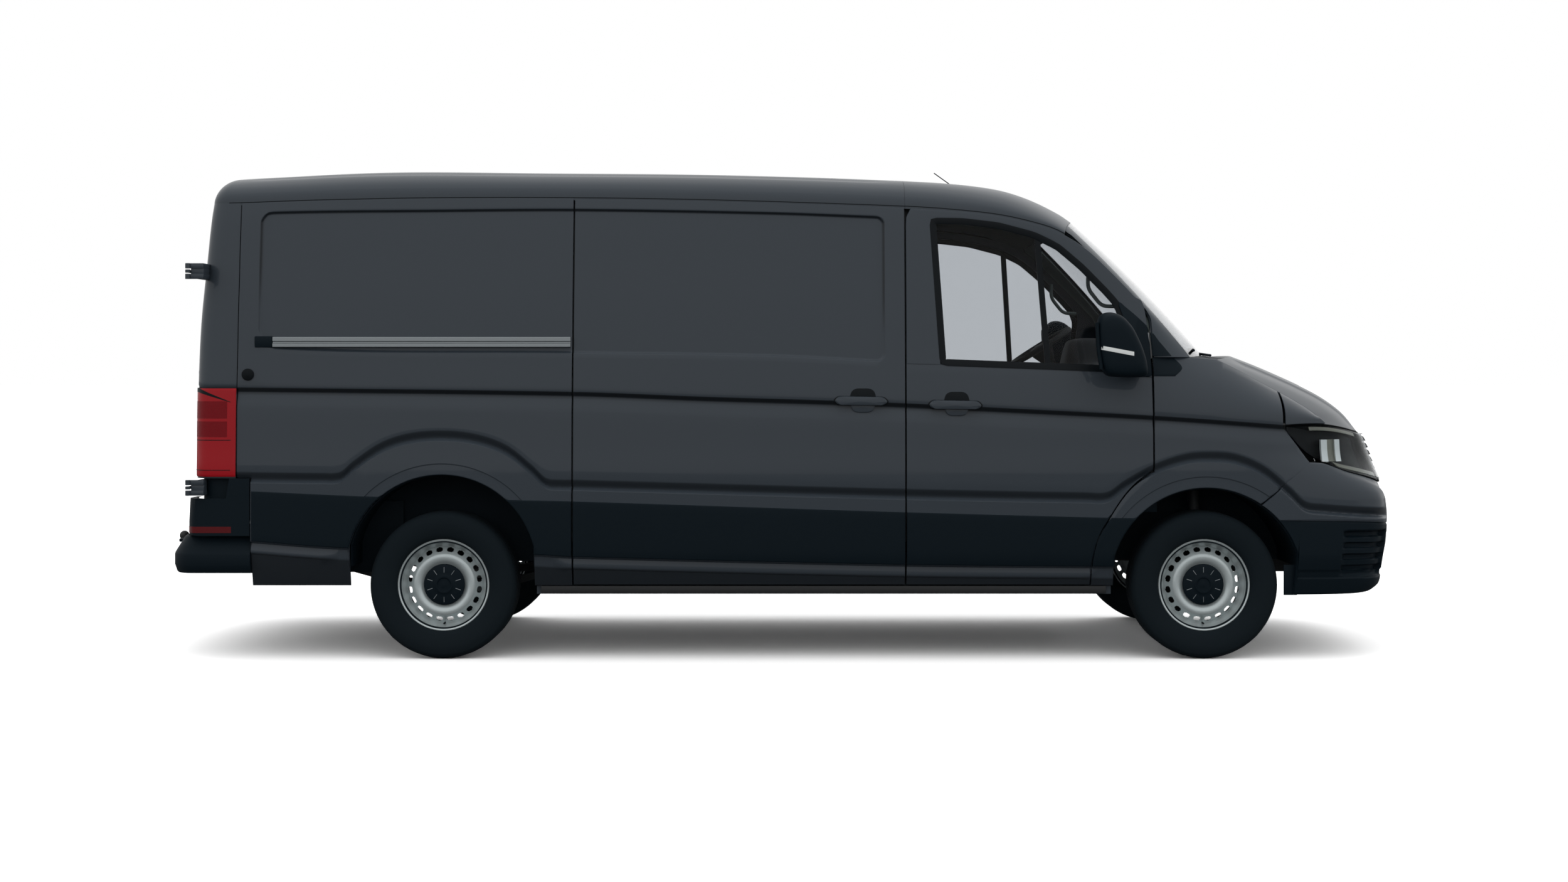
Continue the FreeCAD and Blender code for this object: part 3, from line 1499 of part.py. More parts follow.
def rear_quarter():
    """Right-hand side panel behind the sliding door, over the rear arch."""
    slab = side_slab(corner_x + shut_gap / 2, c_post_x - shut_gap / 2, door_bottom, side_wall, -1,
                     roof_seam)
    slab = slab.cut(rear_arch()).cut(tail_sweep())
    z1 = roof_height * rail_top_share
    x0 = corner_x + rail_setback
    pocket = block(x0 - touch, c_post_x + side_wall,
                   -side_y(rear_axle_x, z1) - side_wall, -side_y(rear_axle_x, z1)
                   + side_wall * 0.4 + seam_clear, z1 - rail_tall - touch, z1 + touch)
    slot = side_slab(x0 - touch, c_post_x, door_bottom,
                     side_wall * 0.4 + rail_stand + seam_clear, -1, 0.0, -rail_stand)
    return slab.cut(slot.common(pocket))


def tail_sweep():
    """Space of the rear bumper's side returns under the side panels."""
    return block(rear_face_x, bumper_front_x + shut_gap / 2, -body_width, body_width, 0,
                 bumper_top_z)


def side_panel_left():
    """Left-hand side panel from the cab door to the rear corner, over the rear arch."""
    slab = side_slab(corner_x + shut_gap / 2, b_post_x - shut_gap / 2, door_bottom, side_wall, 1,
                     roof_seam)
    return slab.cut(rear_arch()).cut(tail_sweep())


# Wheels: half widths and radii of the rim, its disc, the hub and the tyre
bead_radius = 203.0
rim_half_width = 88.0
rim_sheet = 6.0
vent_count = 20
vent_radius = 12.0
vent_circle = 166.0
cap_radius = 100.0
disc_radius = 150.0
hub_radius = 62.0
tread_round = 2.4
spindle_radius = 28.0
spindle_gap = 4.0
hub_face_share = 0.6
bore_share = 0.2


def revolved(profile, smooth=()):
    """A ring turned about the Y axis from (y, radius) points; smooth spans are one curve."""
    points = [V(0, y, r) for y, r in profile]
    edges = []
    i = 0
    count = len(points)
    while i < count:
        span = next((b for a, b in smooth if a == i), None)
        if span is None:
            edges.append(Part.LineSegment(points[i], points[(i + 1) % count]).toShape())
            i += 1
        else:
            curve = Part.BSplineCurve()
            curve.interpolate(points[i:span + 1])
            edges.append(curve.toShape())
            i = span
    face = Part.Face(Part.Wire(edges))
    return face.revolve(V(0, 0, 0), V(0, 1, 0), 360)


def rim():
    """Steel wheel with its hub and brake disc, about the Y axis, outboard towards +Y."""
    w = rim_half_width
    r = bead_radius
    t = rim_sheet
    barrel = revolved([(-w, rim_radius), (-w + t, rim_radius), (-w + t, r), (w - t, r),
                       (w - t, rim_radius), (w, rim_radius), (w, r - t), (-w, r - t)])
    disc = revolved([(w * 0.30, r - t / 2), (w * 0.50, r - t / 2), (w * 0.70, r - 3 * t),
                     (w * 0.84, vent_circle), (w * 0.86, vent_circle * 0.86),
                     (w * 0.62, cap_radius), (w * 0.62, hub_radius / 2),
                     (w * 0.54, hub_radius / 2), (w * 0.54, cap_radius),
                     (w * 0.76, vent_circle * 0.84), (w * 0.74, vent_circle), (w * 0.55, r - 4 * t),
                     (w * 0.35, r - 2 * t)], smooth=((1, 5), (8, 12)))
    vents = []
    for i in range(vent_count):
        a = 2 * math.pi * i / vent_count
        vents.append(Part.makeCylinder(vent_radius, w, V(vent_circle * math.sin(a), w * 0.2,
                                                         vent_circle * math.cos(a)), V(0, 1, 0)))
    disc = disc.cut(Part.makeCompound(vents))
    cap = Part.makeCone(cap_radius, cap_radius * 0.6, w * 0.12, V(0, w * 0.6, 0), V(0, 1, 0))
    hub = cylinder_y(0, 0, -w * hub_face_share, w * hub_face_share, hub_radius)
    brake = cylinder_y(0, 0, -w * 0.38, -w * 0.1, disc_radius)
    shape = fused([barrel, disc, cap, hub, brake])
    return shape.cut(cylinder_y(0, 0, -w, w * bore_share, spindle_radius + touch))


def tyre():
    """Road tyre about the Y axis, seated between the rim flanges."""
    w = rim_half_width - rim_sheet - touch
    half = tyre_width / 2
    tall = tyre_radius - rim_radius
    side = [(w, bead_radius + touch), (w, rim_radius + touch),
            (half * 0.93, rim_radius + tall * 0.25), (half, rim_radius + tall * 0.5),
            (half * 0.95, rim_radius + tall * 0.78), (half * 0.84, rim_radius + tall * 0.93),
            (half * 0.70, tyre_radius - tread_round), (half * 0.35, tyre_radius - touch)]
    profile = side + [(0, tyre_radius)] + [(-y, r) for y, r in reversed(side)]
    last = len(profile) - 2
    return revolved(profile, smooth=((1, last),))


def placed_wheel(shape, axle_x, sign):
    """A wheel piece put at its axle end; the left one faces +Y, the right one -Y."""
    if sign < 0:
        shape = mirrored(shape)
    return shape.translated(V(axle_x, sign * track / 2, tyre_radius))


# Front axle: leaning steering axis, arms and strut
pivot_low_y = 775.0
pivot_low_z = 215.0
pivot_high_y = 625.0
pivot_high_z = 860.0
strut_radius = 26.0
strut_top_z = 785.0
arm_width = 56.0
arm_wall = 24.0
subframe_half_length = 110.0
ball_radius = 14.0
ball_height = 26.0
stem_rise = 12.0


def pivot_y(z):
    """Half-width place of the steering axis at a height."""
    lean = (pivot_high_y - pivot_low_y) / (pivot_high_z - pivot_low_z)
    return pivot_low_y + (z - pivot_low_z) * lean


def knuckle():
    """Left steering knuckle with its spindle and strut, turning on a round foot on the arm."""
    face = track / 2 - rim_half_width * hub_face_share - shut_gap
    tip = track / 2 + rim_half_width * bore_share - spindle_gap
    low = V(front_axle_x, pivot_y(pivot_low_z + touch), pivot_low_z + touch)
    top = V(front_axle_x, pivot_y(strut_top_z), strut_top_z)
    mid_z = tyre_radius + hub_radius
    spindle = cylinder_y(front_axle_x, tyre_radius, pivot_y(tyre_radius), tip, spindle_radius)
    plate = cylinder_y(front_axle_x, tyre_radius, face - arm_width, face, hub_radius)
    stem = block(front_axle_x - arm_wall, front_axle_x + arm_wall, face - arm_width * 1.3,
                 face - arm_width * 0.3, pivot_low_z + stem_rise, mid_z + arm_width)
    lean = (pivot_low_y - pivot_high_y) / (pivot_high_z - pivot_low_z)
    foot_z = pivot_low_z + touch + ball_radius * lean
    foot = Part.makeCylinder(ball_radius, ball_height, V(front_axle_x, pivot_y(foot_z), foot_z),
                             top - low)
    strut = Part.makeCylinder(strut_radius, (top - V(front_axle_x, pivot_y(mid_z), mid_z)).Length,
                              V(front_axle_x, pivot_y(mid_z), mid_z), top - low)
    clamp = block(front_axle_x - arm_wall, front_axle_x + arm_wall, pivot_y(mid_z) - arm_wall,
                  face - arm_width * 0.3, mid_z, mid_z + arm_width)
    return fused([spindle, plate, stem, foot, clamp, strut])


def front_subframe():
    """Cross beam under the engine bay with a lower arm to each knuckle."""
    low = pivot_low_z - arm_wall
    inner = rail_y + rail_width
    pieces = [block(front_axle_x - subframe_half_length, front_axle_x + subframe_half_length,
                    -inner, inner, low, pivot_low_z + arm_wall)]
    for sign in (1, -1):
        y0, y1 = sorted((sign * rail_y, sign * inner))
        pieces.append(block(front_axle_x - subframe_half_length,
                            front_axle_x + subframe_half_length, y0, y1, low, rail_low - touch))
        y0, y1 = sorted((sign * (inner - arm_width), sign * (pivot_low_y - arm_width / 4)))
        pieces.append(block(front_axle_x - arm_width / 2, front_axle_x + arm_width / 2, y0, y1,
                            low, pivot_low_z))
        pieces.append(cylinder_z(front_axle_x, sign * (pivot_low_y - arm_width / 4), low,
                                 pivot_low_z, arm_width / 2))
    return fused(pieces)


def mounted(solid, sign):
    """A left-hand solid on its own side."""
    return solid if sign > 0 else mirrored(solid)


def build():
    """Make and write every sub-part."""
    save("cargo_roof", roof_panel(cargo_roof_rows()))
    save("cab_roof", roof_panel(cab_roof_rows()))
    save("side_panel_left", side_panel_left())
    save("rear_quarter_right", rear_quarter())
    save("sliding_door", sliding_door())
    save("door_rail", door_rail())
    save("rear_corners", both(rear_corner()))
    save("door_posts", Part.makeCompound(door_posts()))
    save("windscreen_pillars", both(cab_side_frame()))
    save("front_wings", both(wing()))
    save("cowl_panel", cowl())
    save("windscreen", windscreen())
    save("front_bumper_upper", front_bumper_upper())
    save("front_bumper_lower", front_bumper_lower())
    save("grille", grille())
    save("headlamps", both(headlamp()))
    lamp = tail_lamp()
    save("tail_lamps", Part.makeCompound(both(lamp).Solids + roof_lamp().Solids))
    save("rear_bumper", Part.makeCompound(rear_bumper()))
    save("tow_bar", tow_bar())
    save("underframe", underframe())
    save("sills", Part.makeCompound([sill(1), sill(-1)]))
    save("floor_pan", floor_pan())
    save("bulkhead", bulkhead())
    front_liner = wheel_housing(front_axle_x, front_arch_rise, front_arch_radius,
                                front_arch_half, bay_half, skin_wall)
    rear_liner = wheel_housing(rear_axle_x, rear_arch_rise, rear_arch_radius, rear_arch_half,
                               rear_liner_y + touch, side_wall)
    save("wheel_housings_front", both(front_liner))
    save("wheel_housings_rear", both(rear_liner))
    save("seats", Part.makeCompound([seat(seat_y, seat_width, 1),
                                     seat(-seat_y * 0.72, bench_width, 2)]))
    save("dashboard", dashboard())
    save("steering_wheel", steering_wheel())
    save("engine_block", engine())
    save("front_subframe", front_subframe())
    save("rear_axle", rear_axle())
    save("exhaust", exhaust())
    save("fuel_tank", fuel_tank())
    save("aerial", aerial())
    save("bonnet", bonnet())
    rim_shape = rim()
    tyre_shape = tyre()
    for sign, side in ((1, "left"), (-1, "right")):
        save("cab_door_" + side, cab_door(sign))
        save("door_glass_" + side, door_glass(sign))
        save("mirror_" + side, mirror(sign))
        door = rear_door(sign)
        straps = [mounted(hinge_strap_solid(z), sign) for z in hinge_heights]
        save("rear_door_" + side, fused([door] + straps))
        save("knuckle_" + side, mounted(knuckle(), sign))
        for axle_x, end in ((front_axle_x, "front"), (rear_axle_x, "rear")):
            name = end + "_" + side
            save("rim_" + name, placed_wheel(rim_shape, axle_x, sign))
            save("tyre_" + name, placed_wheel(tyre_shape, axle_x, sign))


os.makedirs("parts", exist_ok=True)
build()
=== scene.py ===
import json
import math

import bmesh
import bpy
import numpy as np
from bpy.props import FloatProperty, FloatVectorProperty, IntProperty, PointerProperty
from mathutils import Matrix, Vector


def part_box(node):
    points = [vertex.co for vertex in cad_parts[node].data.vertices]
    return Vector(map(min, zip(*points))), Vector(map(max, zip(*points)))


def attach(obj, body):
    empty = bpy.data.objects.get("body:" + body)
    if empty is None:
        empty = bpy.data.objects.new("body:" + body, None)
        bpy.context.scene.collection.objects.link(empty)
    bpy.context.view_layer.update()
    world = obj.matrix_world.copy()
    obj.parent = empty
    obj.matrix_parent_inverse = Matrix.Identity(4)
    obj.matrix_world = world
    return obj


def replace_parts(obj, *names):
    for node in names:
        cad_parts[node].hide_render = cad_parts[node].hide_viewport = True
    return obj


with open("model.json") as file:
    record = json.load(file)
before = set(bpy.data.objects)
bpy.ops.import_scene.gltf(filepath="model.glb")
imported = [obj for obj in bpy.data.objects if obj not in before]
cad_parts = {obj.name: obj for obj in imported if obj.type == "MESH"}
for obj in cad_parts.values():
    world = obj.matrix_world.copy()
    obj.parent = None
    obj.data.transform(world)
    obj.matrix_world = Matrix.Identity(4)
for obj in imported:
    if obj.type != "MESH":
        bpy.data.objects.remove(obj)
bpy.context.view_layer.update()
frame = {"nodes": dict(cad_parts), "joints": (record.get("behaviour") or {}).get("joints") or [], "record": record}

bl_info = {
    "name": "Panel van looks",
    "version": (1, 0, 0),
    "blender": (4, 5, 0),
    "location": "View3D > Sidebar > Panel van",
    "description": "Panels, trim, glass, lamps, wheels and cab of a panel van round its frame",
    "category": "Object",
}

joints = {j["name"]: j for j in frame["joints"]}
front_hub = np.array(joints["wheel_front_left_spin"]["pos_m"])
rear_hub = np.array(joints["wheel_rear_left_spin"]["pos_m"])

# Stations and heights of the van in metres, from the wheel hubs and the frame's pieces
front_axle_x = front_hub[0]
rear_axle_x = rear_hub[0]
tyre_radius = front_hub[2]
nose_x = front_axle_x + 1.0
rear_face_x = rear_axle_x - 1.178
door_front_x = front_axle_x - 0.25
b_post_x = door_front_x - 1.18
c_post_x = b_post_x - 1.588
corner_x = rear_face_x + 0.2
body_span = door_front_x - rear_face_x
roof_height = 2.362
half_width = 1.02
door_bottom = 0.352
scuttle_z = 1.443
shut_gap = 0.007
touch = 0.0003

# Height of the section and its half width, as shares of the roof height and the body's half width
section_shares = (
    (0.127, 0.950), (0.178, 0.983), (0.215, 1.0), (0.38, 1.0), (0.425, 0.995),
    (0.525, 0.986), (0.62, 0.968), (0.72, 0.946), (0.81, 0.921), (0.89, 0.897), (0.94, 0.874),
)
# Lines along the body: share of the body's length from the tail, share of the roof height
gutter_shares = (
    (0.0, 0.922), (0.05, 0.925), (0.12, 0.930), (0.25, 0.935), (0.395, 0.935), (0.55, 0.930),
    (0.742, 0.9175), (0.79, 0.9115), (0.84, 0.901), (0.878, 0.885), (0.904, 0.868), (0.93, 0.836),
)
crown_shares = (
    (0.0, 0.978), (0.03, 0.984), (0.075, 0.989), (0.16, 0.9975), (0.23, 1.0), (0.35, 0.9975),
    (0.51, 0.995), (0.64, 0.989), (0.742, 0.9815), (0.79, 0.978), (0.83, 0.972), (0.86, 0.963),
    (0.89, 0.945), (0.92, 0.918), (0.934, 0.9005),
)
rear_lean_shares = (
    (0.12, 0.0), (0.5, 0.0), (0.59, 0.01), (0.685, 0.07), (0.80, 0.26), (0.895, 0.42), (0.96, 0.60),
)
recess_top_shares = (
    (0.06535, 0.9005), (0.07717, 0.9069), (0.251, 0.9111), (0.3946, 0.9128), (0.6012, 0.906),
    (0.7118, 0.898),
)
recess_low_shares = (
    (0.06272, 0.6566), (0.08242, 0.6262), (0.3937, 0.6173), (0.6012, 0.6109), (0.7111, 0.6003),
    (0.7238, 0.5991),
)
waist_shares = (
    (0.0428, 0.5504), (0.3924, 0.5415), (0.5356, 0.5313), (0.6472, 0.525), (0.7388, 0.5186),
    (0.834, 0.5097), (0.9981, 0.4934), (1.135, 0.4745), (1.2, 0.462),
)
flare_shares = (
    (0.04324, 0.381), (0.135, 0.3789), (0.1525, 0.381), (0.1656, 0.4022), (0.1947, 0.4403),
    (0.2238, 0.4589), (0.2589, 0.4644), (0.2939, 0.4572), (0.3259, 0.4348), (0.3521, 0.3954),
    (0.3668, 0.3692), (0.3823, 0.3654), (0.3915, 0.3654), (0.7354, 0.3472), (0.9296, 0.34),
    (0.9515, 0.3412), (0.969, 0.3641), (0.9979, 0.395), (1.032, 0.4174), (1.06, 0.4217),
    (1.087, 0.4162), (1.115, 0.3925), (1.142, 0.3497), (1.157, 0.3226), (1.175, 0.3167),
    (1.25, 0.3061),
)
clad_top_shares = (
    (0.05834, 0.3408), (0.1921, 0.3294), (0.3276, 0.323), (0.3917, 0.3205), (0.7354, 0.2989),
    (0.9979, 0.2854), (1.131, 0.2811), (1.254, 0.2803),
)
sill_top_shares = (
    (0.06009, 0.2401), (0.1477, 0.2273), (0.3585, 0.2125), (0.3911, 0.2087), (0.7354, 0.1926),
    (0.9611, 0.1884),
)
belt_shares = ((0.7416, 0.5978), (0.7786, 0.5961), (0.941, 0.5843), (0.9999, 0.5694))

# Cab door: setback from its front edge as a share of its length, share of the roof height
door_length = door_front_x - b_post_x
door_edge_shares = (
    (0.349, 0.8555), (0.274, 0.836), (0.176, 0.792), (0.081, 0.743), (0.024, 0.7087),
    (0.0115, 0.6745), (0.0, 0.5695), (0.005, 0.382), (0.10, 0.344), (0.179, 0.2875),
    (0.241, 0.224), (0.256, 0.1485),
)
window_shares = (
    (0.857, 0.5961), (0.896, 0.8916), (0.766, 0.8908), (0.619, 0.8823), (0.471, 0.8628),
    (0.373, 0.8387), (0.2746, 0.7968), (0.178, 0.7477), (0.1305, 0.721), (0.111, 0.694),
    (0.135, 0.5825),
)

# Wheel arches: rise of the centre above the hub, radius and half width of the opening
arches = {
    "rear": (rear_axle_x, tyre_radius + 0.078, 0.453, 0.440),
    "front": (front_axle_x, tyre_radius + 0.010, 0.459, 0.440),
}

# Nose in plan, share of its run and share of its half width: low at the bumper, high at the lamps
nose_side_x = front_axle_x + 0.228
nose_low_shares = (
    (1.0, 0.0), (0.988, 0.25), (0.953, 0.5), (0.908, 0.70), (0.876, 0.81), (0.84, 0.885),
    (0.79, 0.94), (0.70, 0.975), (0.54, 0.993), (0.27, 1.0), (0.0, 1.0),
)
nose_high_shares = (
    (1.0, 0.0), (0.985, 0.25), (0.93, 0.5), (0.84, 0.68), (0.74, 0.78), (0.62, 0.86),
    (0.48, 0.92), (0.34, 0.96), (0.20, 0.985), (0.08, 0.997), (0.0, 1.0),
)
nose_profile_shares = (
    (0.127, 0.80), (0.148, 0.38), (0.17, 0.28), (0.203, 0.19), (0.237, 0.04), (0.27, 0.0),
    (0.30, 0.01), (0.328, 0.10), (0.341, 0.10), (0.356, 0.16), (0.39, 0.32), (0.423, 0.54),
    (0.451, 0.83), (0.48, 1.30),
)
nose_reach = 0.1
lamp_low_shares = ((0.26, 0.356), (0.33, 0.3595), (0.5, 0.372), (0.6, 0.384), (0.655, 0.403),
                   (0.72, 0.436), (0.78, 0.468))
lamp_high_shares = ((0.26, 0.4545), (0.31, 0.4575), (0.42, 0.4665), (0.54, 0.4735),
                    (0.65, 0.4745), (0.78, 0.4725))
bumper_top_shares = ((0.0, 0.341), (0.2, 0.343), (0.26, 0.3525), (0.33, 0.356), (0.5, 0.3685),
                     (0.6, 0.380), (0.675, 0.3967), (1.0, 0.3967))
bumper_split_shares = ((0.0, 0.268), (0.4, 0.272), (0.7, 0.279), (1.0, 0.282))
bumper_bottom_shares = ((0.0, 0.150), (0.4, 0.146), (0.6, 0.135), (0.8, 0.131), (1.0, 0.130))


def curve(table, x):
    """Smooth curve through a table: cubic Hermite spans, each slope that of the chord between
    the points before and after; level beyond the ends."""
    px, py = np.asarray(table, float).T
    order = np.arange(len(px))
    before = np.maximum(order - 1, 0)
    after = np.minimum(order + 1, len(px) - 1)
    slope = (py[after] - py[before]) / (px[after] - px[before])
    x = np.clip(x, px[0], px[-1])
    i = np.clip(np.searchsorted(px, x, side="right") - 1, 0, len(px) - 2)
    span = px[i + 1] - px[i]
    t = (x - px[i]) / span
    start = (2 * t**3 - 3 * t**2 + 1) * py[i] + (t**3 - 2 * t**2 + t) * span * slope[i]
    return start + (3 * t**2 - 2 * t**3) * py[i + 1] + (t**3 - t**2) * span * slope[i + 1]


def ease(low, high, x):
    """Zero below low, one above high, and 3t^2 - 2t^3 between."""
    t = np.clip((x - low) / (high - low), 0, 1)
    return t * t * (3 - 2 * t)


def body_line(shares, x):
    """Height of a line along the body at x, from a table of shares."""
    return roof_height * curve(shares, (x - rear_face_x) / body_span)


def side_y(x, z):
    """Half width of the body: the section's curve, less the cab's narrowing, which grows with
    the square of the way along the cab door and eases in above the waist."""
    wide = half_width * curve(section_shares, z / roof_height)
    ahead = np.clip((x - b_post_x) / door_length, 0, 1)
    return wide - 0.075 * ahead**2 * ease(1.10, 1.78, z)


def rear_x(z):
    """Outer face of the tail at a height."""
    return rear_face_x + 0.168 * 0.62 * curve(rear_lean_shares, z / roof_height)


def door_edge_x(z):
    """Front edge of the cab door at a height."""
    table = sorted((b, a) for a, b in door_edge_shares)
    return door_front_x - door_length * curve(table, z / roof_height)


def arch_z(x, which, grow=0.0):
    """Top of a wheel arch's opening at x: a circle, with nothing outside its half width."""
    middle, height, radius, half = arches[which]
    dx = np.abs(x - middle)
    top = height + np.sqrt(np.maximum((radius + grow)**2 - dx**2, 0))
    return np.where(dx <= half + grow, top, 0.0)


nose_t = np.linspace(0, 1, 401)
nose_tables = [
    np.stack([curve([(i / 10, p[k]) for i, p in enumerate(shares)], nose_t) for k in (0, 1)])
    for shares in (nose_low_shares, nose_high_shares)
]


def nose_plan(t, z):
    """Shares along and across the nose at t, mixed from the low and the high plan by height."""
    mix = ease(0.76, 1.01, z)
    at = np.abs(t)
    low = [np.interp(at, nose_t, row) for row in nose_tables[0]]
    high = [np.interp(at, nose_t, row) for row in nose_tables[1]]
    return [(1 - mix) * a + mix * b for a, b in zip(low, high)]


def nose_front(z):
    """Centre line of the nose at a height."""
    return nose_x - nose_reach * curve(nose_profile_shares, z / roof_height)


def nose_point(t, z, out=0.0):
    """A point on the nose: plan shares at t carried to the centre line's reach at height z,
    stood out by a distance."""
    t, z, out = np.broadcast_arrays(t, z, out)
    along, across = nose_plan(t, z)
    x = nose_side_x + (nose_front(z) + out - nose_side_x) * along
    y = (half_width * curve(section_shares, z / roof_height) + out) * across
    return np.stack([x, np.sign(t + 1e-9) * y, z], -1)


def wing_y(x, z):
    """Half width at x and z: the body side as far as the nose, then the nose's plan, found by
    halving the range of t until the plan reaches x."""
    share = np.clip((x - nose_side_x) / (nose_front(z) - nose_side_x), 0, 1)
    low = np.zeros_like(share)
    high = np.ones_like(share)
    for _ in range(18):
        t = (low + high) / 2
        along = nose_plan(t, z)[0]
        low = np.where(along > share, t, low)
        high = np.where(along > share, high, t)
    across = nose_plan((low + high) / 2, z)[1]
    plan = half_width * curve(section_shares, z / roof_height) * across
    return np.where(x > nose_side_x, plan, side_y(x, z))


# Raised and sunken forms of the side, in metres
waist_tuck = 0.011
waist_dark = 0.024
waist_fade = 0.10
flare_tuck = 0.016
flare_dark = 0.040
flare_ledge = 0.056
flare_stand = 0.005
lip_width = 0.054
lip_step = 0.004
recess_depth = 0.012
recess_slope = 0.013
recess_corner = 0.045
sill_tuck = 0.014
sill_slope = 0.050


def lip_z(x):
    """Line round a wheel arch where the flare steps down to its lip."""
    return np.maximum(arch_z(x, "rear", lip_width), arch_z(x, "front", lip_width))


def relief(x, z, ends=()):
    """How far the side stands out at x and z: the waist tucks in and fades out downwards, the
    flare line tucks in and steps out again, the lip steps down, and the window blanks sink
    between their four edges."""
    under_waist = body_line(waist_shares, x) - z
    fade = 1 - ease(waist_dark, waist_fade, under_waist)
    out = -waist_tuck * ease(0, waist_dark, under_waist) * fade
    under_flare = body_line(flare_shares, x) - z
    out = out - flare_tuck * ease(0, flare_dark, under_flare)
    out = out + (flare_tuck + flare_stand) * ease(flare_dark, flare_ledge, under_flare)
    out = out - lip_step * ease(0, 0.005, lip_z(x) - z)
    return out - recess_depth * ease(0, recess_slope, blank_depth(x, z, ends))


def blank_depth(x, z, ends):
    """Distance inside the window blank's outline, whose corners are quarter circles."""
    deep = np.full_like(z, -1.0)
    for start, end in ends:
        dx = np.minimum(x - start, end - x)
        dz = np.minimum(z - body_line(recess_low_shares, x), body_line(recess_top_shares, x) - z)
        corner = recess_corner - np.hypot(np.maximum(recess_corner - dx, 0),
                                          np.maximum(recess_corner - dz, 0))
        deep = np.maximum(deep, np.where((dx < recess_corner) & (dz < recess_corner), corner,
                                         np.minimum(dx, dz)))
    return deep


def painted_crease_shade(points):
    """Share of painted shade at points of the side, where it falls in shade: full in the waist's crease,
    part in the flare's, in the upper and rear edges of the window blank and on the sill's lower face."""
    x, y, z = points.T
    under = body_line(waist_shares, x) - z
    shade = ease(-0.001, 0.003, under) * (1 - ease(waist_dark - 0.003, waist_dark + 0.004, under))
    under = body_line(flare_shares, x) - z
    shade = np.maximum(shade, 0.6 * ease(0, 0.008, under) * (1 - ease(0.030, 0.046, under)))
    deep = blank_depth(x, z, recess_ends)
    rim = ease(0.0, 0.004, deep) * (1 - ease(recess_slope - 0.003, recess_slope + 0.004, deep))
    upper = ease(0, 0.25, z - body_line(recess_low_shares, x) - 0.10)
    shade = np.maximum(shade, 0.8 * rim * upper)
    drop = body_line(sill_top_shares, x) - z
    shade = np.maximum(shade, 0.75 * ease(sill_slope + 0.002, sill_slope + 0.012, drop))
    return shade * (np.abs(y) > 0.86)


def rows_between(marks, counts):
    """Rows of heights: each band between two marks cut evenly; a mark outside the first and the
    last is held at them, so its band has no height there."""
    low = marks[0]
    high = np.maximum(marks[-1], low)
    held = [np.clip(m, low, high) for m in marks]
    rows = [low]
    for a, b, count in zip(held, held[1:], counts):
        b = np.maximum(a, b)
        rows += [a + (b - a) * k / count for k in range(1, count + 1)]
    return np.maximum.accumulate(np.stack(rows, 1), axis=1)


def side_marks(xs, low, high):
    """Heights where the side's forms change, from a low to a high edge, and the bands' cuts."""
    flare = body_line(flare_shares, xs)
    waist = body_line(waist_shares, xs)
    recess_low = body_line(recess_low_shares, xs)
    recess_top = body_line(recess_top_shares, xs)
    lip = lip_z(xs)
    marks = [low, lip - 0.005, lip, flare - flare_ledge, flare - flare_dark, flare,
             waist - waist_fade, waist - waist_dark, waist, recess_low,
             recess_low + recess_slope, recess_low + recess_corner, recess_top - recess_corner,
             recess_top - recess_slope, recess_top, high]
    return marks, (3, 1, 5, 3, 5, 8, 5, 6, 8, 4, 6, 12, 6, 4, 5)


def fine(low, high, step, near=(), ring=0.03):
    """Stations from low to high about a step apart, with close ones round chosen places."""
    count = max(int(round((high - low) / step)), 2)
    xs = [np.linspace(low, high, count + 1)]
    for place in near:
        xs.append(place + ring * np.linspace(-1, 1, 13))
    xs = np.unique(np.round(np.concatenate(xs), 5))
    return xs[(xs >= low - 1e-6) & (xs <= high + 1e-6)]


# Meshes from grids of points
def grid_faces(rows, cols, around_u=False, around_v=False, base=0):
    """Quads of a grid with rows x cols points, closed round either way where asked."""
    i, j = np.meshgrid(np.arange(rows - (not around_u)), np.arange(cols - (not around_v)),
                       indexing="ij")
    a, b = (i + 1) % rows, (j + 1) % cols
    return np.stack([i * cols + j, a * cols + j, a * cols + b, i * cols + b],
                    -1).reshape(-1, 4) + base


def sheet(points, around_u=False, around_v=False):
    """Points and quads of an open or closed grid."""
    rows, cols = points.shape[:2]
    return points.reshape(-1, 3), grid_faces(rows, cols, around_u, around_v)


def shell(outer, inner):
    """A closed wall between two grids: outer, then inner read backwards, joined all round."""
    rows, cols = outer.shape[:2]
    ring = 2 * cols
    points = np.concatenate([outer, inner[:, ::-1]], 1)
    faces = [grid_faces(rows, ring, around_v=True)]
    k = np.arange(cols - 1)
    for i in (0, rows - 1):
        faces.append(i * ring + np.stack([k, k + 1, ring - 2 - k, ring - 1 - k], -1))
    return points.reshape(-1, 3), np.concatenate(faces)


def pile(parts):
    """Several (points, quads) pairs as one."""
    start = 0
    points, faces = [], []
    for p, f in parts:
        points.append(p)
        faces.append(f + start)
        start += len(p)
    return np.concatenate(points), np.concatenate(faces)


def normals(points):
    """Unit normals of a grid: cross product of its two directions' differences."""
    along = np.gradient(points, axis=0)
    across = np.gradient(points, axis=1)
    n = np.cross(along, across)
    return n / np.maximum(np.linalg.norm(n, axis=-1, keepdims=True), 1e-12)


